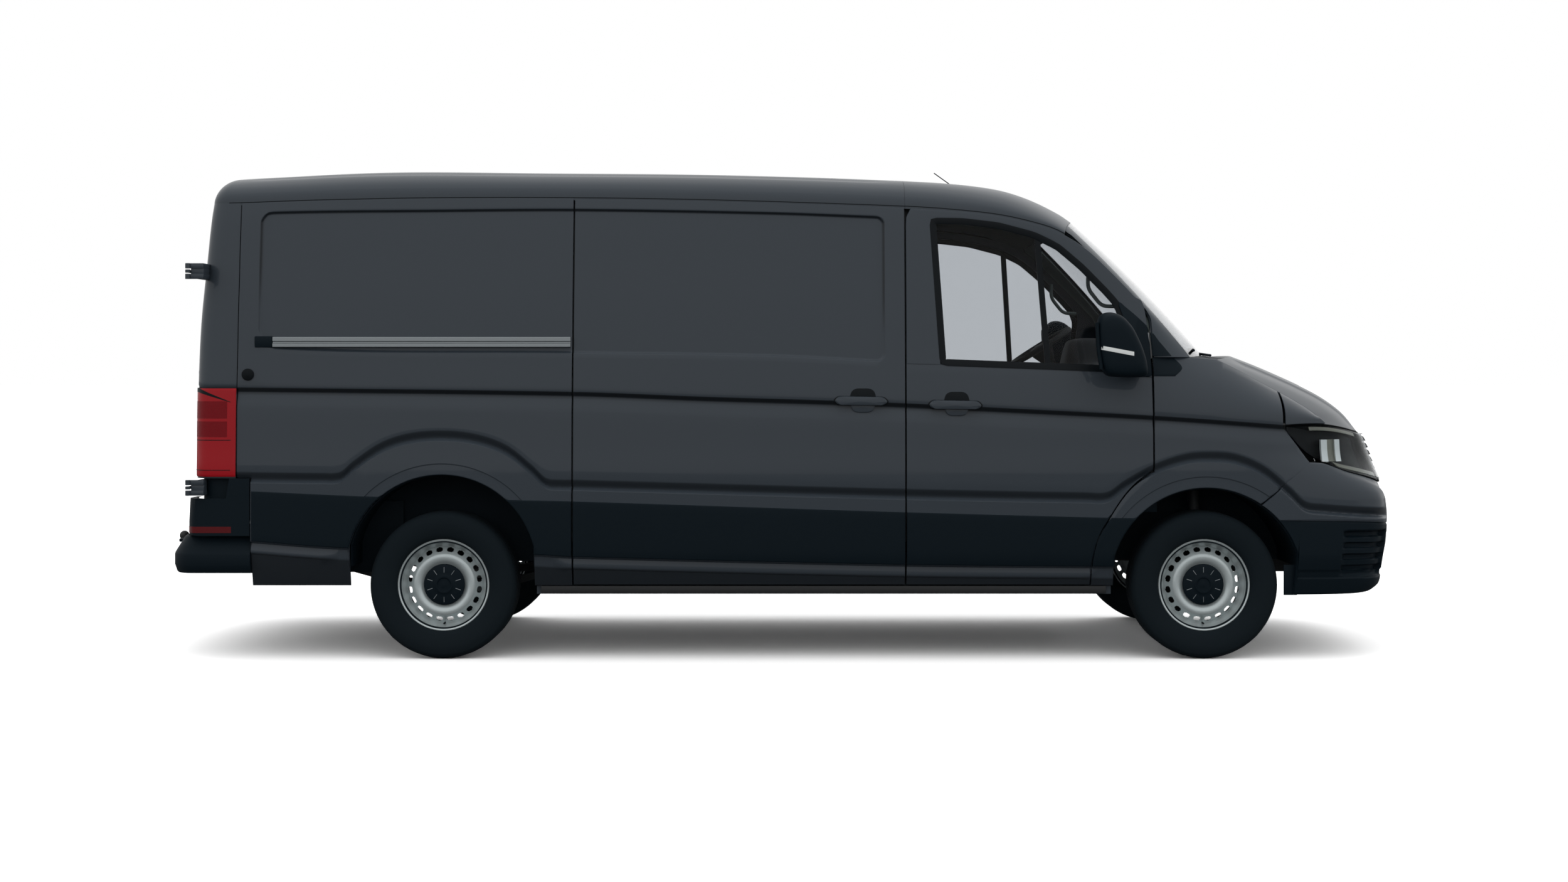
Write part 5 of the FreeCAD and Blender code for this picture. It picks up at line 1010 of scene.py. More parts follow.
def build_doors():
    """Cab doors: lower panel, window frame, cladding, surround and divider."""
    rear, front = b_post_x + shut_gap / 2, door_front_x - shut_gap / 2
    for sign in (1, -1):
        word = side_word(sign)
        body = "cab_door_" + word
        lower = side_panel(side_stations(rear, front, 0.025),
                           lambda x: door_low(x) + shut_gap / 2,
                           lambda x: body_line(belt_shares, x), wall=0.03)
        obj = piece(body + "_skin", lower, "body_paint", body, sign=sign)
        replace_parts(obj, body)
        piece(body + "_frame", door_frame(), "body_paint", body, sign=sign)
        clad = clad_panel(rear, front - 0.02, lambda x: np.maximum(body_line(sill_top_shares, x),
                                                                   door_low(x) + shut_gap / 2),
                          lambda x: np.maximum(body_line(clad_top_shares, x),
                                               door_low(x) + shut_gap / 2))
        piece(body + "_cladding", clad, "black_plastic", body, sign=sign)
        rings = [window_outline(96, g) for g in (0.006, 0.006, -0.002, -0.026, -0.026)]
        band = ring_parts(rings, (-0.016, 0.0008, 0.0012, -0.005, -0.018))
        piece(body + "_surround", band, "gloss_black", body, sign=sign)
        z0, z1 = 1.392, 2.035
        k = np.linspace(0, 1, 30)[:, None]
        middle = np.concatenate([1.322 + (1.276 - 1.322) * k, z0 + (z1 - z0) * k], 1)
        bar = np.stack([on_door(middle + (w, 0), o) for w, o in
                        ((-0.014, -0.020), (-0.014, -0.006), (0.014, -0.006), (0.014, -0.020))], 1)
        piece(body + "_divider", sheet(bar, around_v=True), "gloss_black", body, sign=sign)


def build_wings():
    """Front wings with their cladding over the sill's end."""
    low_x = door_front_x - door_length * 0.256 + shut_gap
    for sign in (1, -1):
        word = side_word(sign)
        main = side_panel(side_stations(low_x, seam_high[0] - 0.004, 0.02), wing_low, wing_high,
                          base=wing_surface)
        tip = fine(lamp_tip_x + 0.0005, 2.662, 0.012)
        over = side_panel(tip, lambda x: lamp_top_z(x) + shut_gap / 2,
                          lambda x: np.maximum(wing_top(x)[1], lamp_top_z(x) + 0.005),
                          base=wing_surface, wall=0.012)
        obj = piece("front_wing_" + word, [main, over], "body_paint", sign=sign)
        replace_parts(obj, "front_wings")
        clad = clad_panel(low_x, 1.76,
                          lambda x: np.maximum(body_line(sill_top_shares, x), arch_z(x, "front")),
                          lambda x: np.minimum(np.maximum(body_line(clad_top_shares, x),
                                                          arch_z(x, "front")),
                                               np.maximum(door_low(x) - shut_gap,
                                                          arch_z(x, "front"))))
        piece("wing_cladding_" + word, clad, "black_plastic", sign=sign)


def bonnet_grid(us, vs):
    """Bonnet's outer face: centre and side lines blended by |v|^2.3 across, with two raised
    edges along it and a shallow hollow between."""
    count = len(bonnet_centre_shares) - 1
    u, v = np.meshgrid(us, vs, indexing="ij")
    tables = []
    for shares in (bonnet_centre_shares, bonnet_side_shares):
        for k in (0, 1):
            tables.append(curve([(i / count, p[k]) for i, p in enumerate(shares)], u))
    middle_x = bonnet_back_x + bonnet_run * tables[0]
    middle_z = bonnet_top - bonnet_drop * tables[1]
    edge_x = bonnet_side_x + bonnet_side_run * tables[2]
    edge_z = bonnet_side_top - bonnet_side_drop * tables[3]
    blend = np.abs(v)**2.3
    x = middle_x + (edge_x - middle_x) * blend
    z = middle_z + (edge_z - middle_z) * blend
    crease = 0.66 - 0.16 * u
    fall = ease(0, 0.05, np.abs(v) - crease)
    ends = ease(0, 0.12, u) * ease(0, 0.1, 1 - u)
    z = z - 0.007 * (fall - ease(0.05, 0.30, np.abs(v) - crease)) * ends
    return np.stack([x, v * bonnet_half, z], -1)


def build_bonnet():
    """Bonnet skin with rolled edges."""
    edge = np.array([0, 0.002, 0.005, 0.01])
    us = np.unique(np.concatenate([np.linspace(0, 1, 50), edge, 1 - edge]))
    half = np.concatenate([np.linspace(0, 1, 60), 1 - edge[1:] / 2])
    vs = np.unique(np.concatenate([-half, half]))
    points = bonnet_grid(us, vs)
    u, v = np.meshgrid(us, vs, indexing="ij")
    near = np.minimum.reduce([u * 0.65, (1 - u) * 0.65, (1 - np.abs(v)) * bonnet_half])
    n = normals(points)
    n = n * np.sign(n[..., 2:3])
    outer = points - n * roll(near)[..., None]
    obj = piece("bonnet_skin", shell(outer, outer - n * 0.012), "body_paint", "bonnet")
    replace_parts(obj, "bonnet")


def nose_grid(ts, low, high, rows, out=None, wall=0.012, arch=False):
    """A closed patch of the nose between two height lines; with arch set, it is also held
    above the front arch and under the wing's seam at each station's own x."""
    lo, hi = low(ts), high(ts)
    if arch:
        for _ in range(4):
            x = nose_point(ts, lo)[..., 0]
            lo = np.maximum(low(ts), arch_z(x, "front"))
            xh = nose_point(ts, hi)[..., 0]
            hi = np.where(xh < seam_high[0], np.minimum(high(ts), seam_z(xh) - shut_gap / 2), high(ts))
        hi = np.maximum(hi, lo)
    k = rows[None, :]
    z = lo[:, None] + (hi - lo)[:, None] * k
    t = np.broadcast_to(ts[:, None], z.shape)
    stand = np.zeros_like(z) if out is None else out(t, z, k)
    stand = stand - 0.0002
    return shell(nose_point(t, z, stand), nose_point(t, z, stand - wall))


def along_t(shares):
    """Height along the nose from a table of shares."""
    return lambda t: roof_height * curve(shares, np.abs(t))


def edged(count):
    """Shares from 0 to 1 with close ones at both ends, for rolled edges."""
    edge = np.array([0.004, 0.012, 0.03])
    return np.unique(np.concatenate([np.linspace(0, 1, count), edge, 1 - edge]))


def end_roll(t, z, k, reach=0.004):
    """Rolled top and bottom edges by share of the height."""
    return -reach * (1 - ease(0, 0.03, k)) - reach * (1 - ease(0, 0.03, 1 - k)) + 0 * z


grille_top_shares = ((0.0, 0.4475), (0.275, 0.4505))


def slat_form(t, z, slat_count):
    """Saw-tooth profile of the grille: each slat stands out at its lower edge and runs in
    under the next."""
    low = roof_height * curve(bumper_top_shares, np.abs(t)) + 2 * shut_gap
    high = roof_height * curve(grille_top_shares, np.abs(t))
    phase = ((z - low) / (high - low) * slat_count) % 1.0
    return -0.004 - 0.024 * ease(0.62, 0.70, phase) * (1 - ease(0.94, 1.0, phase)) - 0.006 * phase


def build_nose(slat_count):
    """Bumpers, grille and headlamps."""
    fine_t = np.unique(np.concatenate([np.linspace(-1, 1, 161), np.linspace(0.78, 1, 90),
                                       -np.linspace(0.78, 1, 90), [-0.9, 0.9]]))

    def painted_out(t, z, k):
        """The flare's line carried round the corner, and a shoulder leaning back over it."""
        side = np.abs(t)
        under = body_line(flare_shares, nose_point(t, z)[..., 0]) - z
        line = -flare_tuck * ease(0, flare_dark, under)
        line = line + (flare_tuck + flare_stand) * ease(flare_dark, flare_ledge, under)
        crease = 0.742 + 0.10 * ease(0.30, 0.62, side)
        shoulder = 0.016 * ease(0, 0.07, z - crease) * (1 - ease(0.56, 0.68, side))
        return line * ease(0.40, 0.62, side) - shoulder + end_roll(t, z, k)
    upper = nose_grid(fine_t, along_t(bumper_split_shares), along_t(bumper_top_shares),
                      edged(90), painted_out, arch=True)
    obj = piece("front_bumper_painted", upper, "body_paint")
    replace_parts(obj, "front_bumper_upper")

    def lower_out(t, z, k):
        groove = -0.010 * ease(0.0, 0.008, z - 0.385) * ease(0, 0.012, 0.430 - z)
        side = np.abs(t)
        frame_in = ease(0.47, 0.50, side) * ease(0, 0.03, 0.80 - side)
        band = ease(0.395, 0.41, z) * ease(0, 0.015, 0.622 - z)
        slats = 0.5 + 0.5 * np.cos((z - 0.41) * 2 * math.pi / 0.054)
        middle = ease(0, 0.04, 0.44 - side) * ease(0.40, 0.415, z) * ease(0, 0.015, 0.60 - z)
        return (-0.030 * frame_in * band * (1 - 0.55 * ease(0.3, 0.6, slats)) + groove * 0.6
                - 0.035 * middle * (1 - 0.5 * ease(0.3, 0.6, slats)) + end_roll(t, z, k))
    edges = np.concatenate([np.linspace(0.46, 0.51, 9), np.linspace(0.76, 0.81, 9),
                            np.linspace(0.39, 0.45, 9)])
    ts = np.unique(np.concatenate([fine_t, edges, -edges]))
    lower = nose_grid(ts, along_t(bumper_bottom_shares), along_t(bumper_split_shares),
                      edged(90), lower_out, arch=True)
    obj = piece("front_bumper_black", lower, "black_plastic")
    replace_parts(obj, "front_bumper_lower")
    grille_t = np.linspace(-0.2745, 0.2745, 45)
    slats = nose_grid(grille_t, lambda t: along_t(bumper_top_shares)(t) + 2 * shut_gap,
                      along_t(grille_top_shares),
                      np.linspace(0, 1, slat_count * 16 + 1),
                      lambda t, z, k: slat_form(t, z, slat_count), wall=0.004)
    obj = piece("grille_slats", slats, "black_plastic")
    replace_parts(obj, "grille")
    for sign in (1, -1):
        word = side_word(sign)
        lamp_t = np.linspace(0.276, 0.78, 60)
        low, high = along_t(lamp_low_shares), along_t(lamp_high_shares)
        lens = nose_grid(lamp_t, lambda t: low(t) + 0.002, lambda t: high(t) - 0.009, edged(20),
                         end_roll, wall=0.003)
        obj = piece("headlamp_lens_" + word, lens, "lamp_clear", sign=sign)
        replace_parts(obj, "headlamps")
        back = nose_grid(lamp_t, lambda t: low(t) - 0.004, lambda t: high(t) + 0.002, edged(14),
                         lambda t, z, k: -0.012 - 0.040 * ease(0, 0.12, k) * ease(0, 0.12, 1 - k)
                         * ease(0.276, 0.31, t) * ease(0, 0.04, 0.78 - t), wall=0.004)
        piece("headlamp_housing_" + word, back, "lamp_dark", sign=sign, slot="lamp_clear")
        for part, finish, spans in (("bars", "lamp_silver", ((2.636, 2.669, 0.014),
                                                             (2.711, 2.739, 0.014))),
                                    ("bowl", "lamp_bowl", ((2.669, 2.711, 0.026),))):
            blocks = []
            for x0, x1, deep in spans:
                x, z = np.meshgrid(np.linspace(x0, x1, 9), np.linspace(0.942, 1.046, 14),
                                   indexing="ij")
                face = np.stack([x, wing_y(x, z) - deep, z], -1)
                blocks.append(shell(face, face - (0.004, 0.014, 0)))
            piece("headlamp_%s_%s" % (part, word), blocks, finish, sign=sign, slot="lamp_clear")
        # Two strips behind the lens: the lower one a strip along the lamp's low edge, the upper one under the top
        # edge a painted highlight of the lamp's lit upper shelf
        strips = [nose_grid(np.linspace(0.30, 0.60, 40), lambda t: low(t) + 0.012,
                            lambda t: low(t) + 0.034, edged(4),
                            lambda t, z, k: -0.016 + 0 * z, wall=0.006),
                  nose_grid(np.linspace(0.34, 0.64, 40), lambda t: high(t) - 0.030,
                            lambda t: high(t) - 0.014, edged(4),
                            lambda t, z, k: -0.016 + 0 * z, wall=0.006)]
        piece("headlamp_strips_" + word, strips, "lamp_bowl", sign=sign, slot="lamp_clear")


header_x = door_front_x - 0.302
header_sweep = 0.110
tail_radius = 0.090


def arc(s, power):
    """Height of the roof's arc across, from one at the middle to none at the edge."""
    return np.sqrt(np.maximum(1 - np.abs(s)**power, 0))


def roof_ribs(x, s, depth):
    """Pressed ribs along the roof: six shallow grooves that fade out at both ends."""
    wave = 0.5 + 0.5 * np.cos(np.clip(s / 0.86, -1, 1) * 6 * math.pi)
    ends = ease(rear_face_x + 0.20, rear_face_x + 0.32, x)
    ends = ends * ease(-b_post_x + 0.05, -b_post_x + 0.2, -x)
    return -depth * ease(0.35, 0.8, wave) * ends * (np.abs(s) < 0.86)


def cab_arch(u, s):
    """The cab roof from the B posts (u 0) to the header (u 1), s across: its arc opens from the
    power 6 of the cargo roof to the ellipse of the windscreen's top edge."""
    u = u[:, None]
    edge_x = b_post_x + u * (header_x - header_sweep - b_post_x)
    low = body_line(gutter_shares, edge_x)
    rise = body_line(crown_shares, b_post_x + u * (header_x - b_post_x)) - low
    x = b_post_x + u * (header_x - header_sweep * s**2 - b_post_x)
    return np.stack(np.broadcast_arrays(x, s * side_y(edge_x, low),
                                        low + rise * arc(s, 6 - 4 * u)), -1)


def build_roof(rib_depth):
    """Cargo and cab roofs with pressed ribs and a turned-down edge at the gutter."""
    half_s = np.concatenate([np.linspace(0, 0.86, 44), np.linspace(0.875, 1, 14)[:-1],
                             [0.985, 0.993, 0.998, 1.0]])
    s = np.unique(np.round(np.concatenate([-half_s, half_s]), 5))
    start = rear_x(body_line(gutter_shares, np.array(corner_x))) + tail_radius
    xs = np.linspace(start, b_post_x - 0.0005, 90)[:, None]
    low = body_line(gutter_shares, xs)
    rise = body_line(crown_shares, xs) - low
    half = side_y(xs, low)
    crown = low + (rise + roof_ribs(xs, s, rib_depth)) * arc(s, 6)
    main = np.stack(np.broadcast_arrays(xs, s * half, crown), -1)
    a = np.radians(np.linspace(85, 0, 12, endpoint=False))[:, None]
    low = body_line(gutter_shares, np.array(start))
    rise = body_line(crown_shares, start - tail_radius * np.sin(a)) - low
    wide = side_y(np.array(start), low) - tail_radius * (1 - np.cos(a))
    turn = np.stack(np.broadcast_arrays(start - tail_radius * np.sin(a), s * wide,
                                        low + rise * arc(s, 6) * np.sqrt(np.cos(a))), -1)
    points = np.concatenate([turn, main])
    obj = piece("cargo_roof_skin", shell(points, points - (0, 0, 0.012)), "body_paint")
    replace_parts(obj, "cargo_roof")
    cab = cab_arch(np.linspace(0.0005, 1, 44), s)
    obj = piece("cab_roof_skin", shell(cab, cab - (0, 0, 0.012)), "body_paint")
    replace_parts(obj, "cab_roof")
    for sign in (1, -1):
        xs = np.linspace(start, header_x - header_sweep, 120)
        z = body_line(gutter_shares, xs)
        y = side_y(xs, z)
        path = np.stack([xs, y - 0.004, z], -1)
        piece("gutter_seal_" + side_word(sign), tube(path, 0.0045, 8), "rubber", sign=sign)


def corner_line(z, out=0.0, to_y=0.8035, from_x=None, steps=10):
    """The left rear corner in plan at each height: side, quarter circle, then back face."""
    z = np.asarray(z, float)[:, None]
    side = side_y(np.array(corner_x), z) + out
    back = rear_x(z) - out
    radius = tail_radius + out
    begin = back + radius
    from_x = corner_x if from_x is None else from_x
    k = np.linspace(0, 1, steps)[None, :]
    x1, y1 = from_x + (begin - from_x) * k[:, :-1], side + 0 * k[:, :-1]
    a = k * math.pi / 2
    x2, y2 = begin - radius * np.sin(a), side - radius * (1 - np.cos(a))
    y3 = (side - radius) + (to_y - side + radius) * k[:, 1:]
    x3 = back + 0 * k[:, 1:]
    x, y = np.concatenate([x1, x2, x3], 1), np.concatenate([y1, y2, y3], 1)
    return np.stack([x, y, np.broadcast_to(z, x.shape)], -1)


def lean_in(points, wall):
    """Points of a corner moved inwards in plan, by their normals."""
    n = normals(points)
    middle = np.array((corner_x, 0.7, 0))
    n = n * np.sign(np.sum(n * (points - middle) * (1, 1, 0), -1, keepdims=True))
    return points - n * wall


lens_low, lens_high = 0.8735, 1.2935
hinge_heights = (0.822, 1.850)
hinge_x, hinge_y = rear_face_x - 0.020, 1.05
rear_door_low = 0.600


def hinge_barrel(low, high):
    """A length of hinge round the pin of the left rear door."""
    return turned([(low, 0.0001), (low, 0.0105), (low + 0.0015, 0.012), (high - 0.0015, 0.012),
                   (high, 0.0105), (high, 0.0001)], (hinge_x, hinge_y, 0), 24, "z")


def build_tail():
    """Rear corners, rear doors, tail lamps, hinges, buffers, handle and number plate."""
    level = float(body_line(gutter_shares, np.array(corner_x)))
    edge = np.array([0, 0.002, 0.005])
    for sign in (1, -1):
        word = side_word(sign)
        z = np.unique(np.concatenate([np.linspace(0.866, level, 60), 0.866 + edge, level - edge]))
        outer = corner_line(z)
        x = outer[..., 0]
        roll_in = roll(np.minimum(corner_x + 1e-6 - x, 9))
        waist = body_line(waist_shares, np.array(corner_x)) - outer[..., 2]
        tuck = waist_tuck * ease(0, waist_dark, waist) * (1 - ease(waist_dark, waist_fade, waist))
        outer = lean_in(outer, (roll_in + tuck)[..., None])
        obj = piece("rear_corner_" + word, shell(outer, lean_in(outer, 0.02)), "body_paint",
                    sign=sign)
        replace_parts(obj, "rear_corners")
        lens_z = np.unique(np.concatenate([np.linspace(lens_low, lens_high, 40),
                                           lens_low + edge, lens_high - edge]))
        face = corner_line(lens_z, 0.005, 0.807, corner_x - 0.0006, 12)
        lens = lean_in(face, (0.002 - 0.002 * ease(0, 0.006, np.minimum(
            lens_z - lens_low, lens_high - lens_z)))[:, None, None])
        obj = piece("tail_lamp_" + word, shell(lens, lean_in(lens, 0.008)), "lamp_red", sign=sign)
        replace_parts(obj, "tail_lamps")
        bars = []
        for z0, z1 in ((0.903, 0.906), (1.045, 1.0485)):
            band = corner_line(np.linspace(z0, z1, 3), 0.0058, 0.815, corner_x - 0.024, 12)
            bars.append(shell(band, lean_in(band, 0.004)))
        cap = corner_line(np.linspace(1.2895, 1.2715, 6), 0.0060, 0.815, corner_x - 0.026, 24)
        way = ((corner_x - 0.026 - cap[..., :1]) / (corner_x - rear_face_x - 0.036)).clip(0, 1)
        was = cap[..., 2:].copy()
        cap[..., 2:] = 1.228 + 0.058 * way + (was - 1.2805) * (0.12 + way)
        cap[..., 1:2] += side_y(cap[..., :1], cap[..., 2:]) - side_y(cap[..., :1], was)
        cap[..., :1] += rear_x(cap[..., 2:]) - rear_x(was)
        bars.append(shell(cap, lean_in(cap, 0.004)))
        cells = []
        for z0, z1 in ((1.062, 1.136), (1.150, 1.232)):
            band = corner_line(np.linspace(z0, z1, 8), 0.0056, 0.83, corner_x - 0.042, 12)
            cells.append(shell(band, lean_in(band, 0.004)))
        piece("tail_lamp_cells_" + word, cells, "lamp_cell", sign=sign, slot="lamp_red")
        piece("tail_lamp_trim_" + word, bars, "gloss_black", sign=sign, slot="lamp_red")
        top, low_y, high_y = level - shut_gap, 0.0056, 0.7965
        zs = np.unique(np.concatenate([np.linspace(rear_door_low, top, 90),
                                       rear_door_low + edge, top - edge]))
        ys = np.unique(np.concatenate([np.linspace(low_y, high_y, 60), low_y + edge,
                                       high_y - edge]))
        zz, yy = np.meshgrid(zs, ys, indexing="ij")
        near = np.minimum.reduce([zz - rear_door_low, top - zz, yy - low_y, high_y - yy])

        def pan(y0, y1, z0, z1, slope):
            """A sunken field with sloping sides."""
            return (ease(y0, y0 + slope, yy) * ease(-y1, -y1 + slope, -yy)
                    * ease(z0, z0 + slope, zz) * ease(-z1, -z1 + slope, -zz))
        depth = 0.010 * pan(0.075, 0.735, 1.46, 2.085, 0.018)
        depth = depth + 0.006 * pan(0.075, 0.735, 0.70, 1.27, 0.05)
        if sign > 0:
            depth = depth + 0.010 * pan(0.09, 0.70, 0.80, 1.00, 0.03)
        under = body_line(waist_shares, np.array(corner_x)) - zz
        depth = depth + 0.006 * ease(0, 0.018, under) * (1 - ease(0.018, 0.1, under))
        skin_x = rear_x(zz) + depth + roll(near)
        outer = np.stack([skin_x, yy, zz], -1)
        body = "rear_door_" + word
        panel = shell(outer, np.stack([rear_x(zz) + 0.045, yy, zz], -1))
        straps = []
        for z in hinge_heights:
            straps.append(box_part((rear_face_x - 0.0245, 0.66, z - 0.0075),
                                   (rear_face_x - 0.0155, 1.046, z + 0.0075), 0.003))
            straps.append(box_part((rear_face_x - 0.0245, 0.66, z - 0.0075),
                                   (float(rear_x(np.array(z))) + 0.01, 0.785, z + 0.0075), 0.003))
            straps.append(hinge_barrel(z - 0.0075, z + 0.0075))
        obj = piece(body + "_skin", [panel] + straps, "body_paint", body, sign=sign)
        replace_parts(obj, body)
        lugs = []
        for z in hinge_heights:
            for low in (z - 0.0375, z + 0.0125):
                lugs.append(box_part((hinge_x, 1.0416, low),
                                     (rear_face_x + 0.055, hinge_y, low + 0.025), 0.003))
                lugs.append(hinge_barrel(low, low + 0.025))
                root_y = float(side_y(np.array(corner_x), np.array(z))) - 0.13
                lugs.append(box_part((rear_face_x + 0.020, root_y, low),
                                     (rear_face_x + 0.055, hinge_y, low + 0.025), 0.004))
            lugs.append(box_part((rear_face_x - 0.006, 1.0416, z - 0.030),
                                 (rear_face_x + 0.055, 1.0448, z + 0.030), 0.001))
            lugs.append(box_part((rear_face_x + 0.035, root_y, z - 0.030),
                                 (rear_face_x + 0.054, 1.0440, z + 0.030), 0.001))
        piece("rear_hinges_" + word, lugs, "body_paint", sign=sign)
        face_x = float(rear_x(np.array(1.367)))
        peg = [turned([(face_x + 0.004, 0.0001), (face_x + 0.004, 0.024), (face_x - 0.030, 0.027),
                       (face_x - 0.040, 0.026), (face_x - 0.044, 0.020), (face_x - 0.044, 0.0001)],
                      (0, 0.72, 1.367), 40, "x")]
        piece("rear_door_buffer_" + word, peg, "rubber", body, sign=sign, slot="black_plastic")
    plate = box_part((rear_face_x + 0.006, 0.135, 0.845), (rear_face_x + 0.0095, 0.655, 0.955),
                     0.0015)
    piece("number_plate_rear", plate, "plate_white", "rear_door_left", slot="black_plastic")
    handle = box_part((rear_face_x - 0.012, -0.17, 1.03), (rear_face_x + 0.004, -0.04, 1.075), 0.008)
    piece("rear_door_handle", handle, "black_plastic", "rear_door_right")
    rubbing = [box_part((rear_face_x - 0.004, -0.03, z0), (rear_face_x + 0.001, -0.007, z1), 0.002)
               for z0, z1 in ((0.62, 1.02), (1.09, 1.36))]
    piece("rear_door_strip", rubbing, "black_plastic", "rear_door_right")


def capped(rows):
    """A closed tube through rows of points, with its ends drawn in to the end rows' middle."""
    ends = [np.broadcast_to(rows[k].mean(0), rows[:1].shape) for k in (0, -1)]
    return sheet(np.concatenate([ends[0], rows, ends[1]]), around_v=True)


def swept(path, profile):
    """A closed profile of (stand, height) pairs carried along a plan path, standing out along
    the path's normals."""
    path, profile = np.asarray(path, float), np.asarray(profile, float)
    way = np.gradient(path, axis=0)
    way /= np.linalg.norm(way, axis=1, keepdims=True)
    aside = np.stack([way[:, 1], -way[:, 0]], 1)
    sign = np.sign(np.sum(aside * (path - (rear_axle_x, 0))))
    aside = aside * sign
    x = path[:, None, 0] + aside[:, None, 0] * profile[None, :, 0]
    y = path[:, None, 1] + aside[:, None, 1] * profile[None, :, 0]
    z = np.broadcast_to(profile[None, :, 1], x.shape)
    return capped(np.stack([x, y, z], -1))


def build_rear_bumper():
    """Step bumper with a tread, a cover up each corner, reflectors and the high brake lamp."""
    full, side = rear_face_x - 0.168, float(side_y(np.array(corner_x), np.array(0.59))) - touch
    shares = np.linspace(0, 0.86, 24)
    first = np.stack([full + 0.168 * 0.42 * shares**2.5, side * shares], 1)
    reach = tail_radius * 1.2
    a = np.linspace(0, math.pi / 2, 12)[1:]
    last = first[-1]
    second = np.stack([last[0] + reach * (1 - np.cos(a)),
                       last[1] + (side - last[1]) * np.sin(a)], 1)
    front = corner_x + 0.068
    third = np.stack([np.linspace(second[-1, 0], front, 8)[1:], np.full(7, side)], 1)
    half = np.concatenate([first, second, third])
    path = np.concatenate([half[:0:-1] * (1, -1), half])
    path = path_along(path, 160, 0.02)
    profile = np.array([(-0.062, 0.4135), (-0.018, 0.4135), (-0.011, 0.420), (-0.0035, 0.444),
                        (-0.0005, 0.452), (-0.0005, 0.502), (-0.003, 0.510), (-0.046, 0.580),
                        (-0.051, 0.586), (-0.056, 0.5895), (-0.062, 0.5895)])
    parts = [swept(path, profile)]
    tread = box_part((full + 0.058, -side * 0.84, 0.552), (rear_face_x + 0.02, side * 0.84, 0.568),
                     0.004)
    ridges = [box_part((full + 0.064 + 0.018 * k, -side * 0.80, 0.566),
                       (full + 0.072 + 0.018 * k, side * 0.80, 0.5715), 0.002)
              for k in range(4)]
    obj = piece("rear_bumper_step", parts + [tread] + ridges, "black_plastic")
    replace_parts(obj, "rear_bumper")
    cover_z = np.array([0.592, 0.596, 0.62, 0.66, 0.70, 0.75, 0.80, 0.835, 0.855, 0.8655])
    stand = np.array([0.033, 0.0375, 0.038, 0.038, 0.036, 0.034, 0.033, 0.020, 0.009, 0.003])
    for sign in (1, -1):
        word = side_word(sign)
        rows = [corner_line([z], out, 0.814, front - 0.002, 12)[0] for z, out in zip(cover_z, stand)]
        face = np.stack(rows)
        face[..., 1] = np.minimum(face[..., 1], 1.0235)
        hinge = (face[..., 2] > 0.770) & (face[..., 0] < corner_x - 0.04)
        face[..., 2] = np.where(hinge, 0.770, face[..., 2])
        piece("bumper_corner_" + word, shell(face, lean_in(face, 0.012)), "black_plastic",
              sign=sign)
        band = corner_line(np.linspace(0.606, 0.636, 4), 0.0392, 0.90, -2.568, 14)
        band[..., 1] = np.minimum(band[..., 1], 1.0236)
        piece("bumper_reflector_" + word, shell(band, lean_in(band, 0.004)), "reflex_red",
              sign=sign, slot="lamp_red")
    lamp_y = np.linspace(-0.315, 0.315, 41)
    section = np.array([(-2.6, 2.3355), (-2.64, 2.343), (-2.675, 2.3435), (-2.6885, 2.336),
                        (-2.6888, 2.310), (-2.680, 2.303), (-2.66, 2.309), (-2.63, 2.3245)])
    taper = ease(0, 0.09, 0.315 - np.abs(lamp_y))[:, None]
    middle = section.mean(0)
    zx = middle + (section - middle) * (0.72 + 0.28 * taper[..., None])
    rows = np.stack([zx[..., 0], np.broadcast_to(lamp_y[:, None], zx.shape[:2]), zx[..., 1]], -1)
    piece("high_brake_lamp", capped(rows), "lamp_red")


def tyre_profile(groove):
    """Section of a tyre as (across, radius): side wall, tread with four grooves, side wall, bead."""
    side = [(0.0855, 0.2075), (0.0862, 0.2200), (0.0925, 0.2225), (0.1005, 0.229),
            (0.108, 0.245), (0.1145, 0.270), (0.1172, 0.292), (0.1165, 0.312), (0.112, 0.327),
            (0.1115, 0.3295), (0.107, 0.336), (0.100, 0.343), (0.094, 0.3465)]
    edge, floor = tyre_radius - 0.0012, tyre_radius - groove
    tread = []
    for y in (0.070, 0.024, -0.022, -0.068):
        tread += [(y + 0.005, edge), (y + 0.004, floor), (y - 0.004, floor), (y - 0.005, edge),
                  (y - 0.012, tyre_radius - 0.0004)]
    shoulder = tyre_radius - 0.0018
    ring = side + [(0.084, shoulder)] + tread + [(-0.084, shoulder)]
    ring += [(-b, c) for b, c in side[::-1]]
    return np.array(ring + [(-0.0855, 0.2035), (0.0855, 0.2035)])


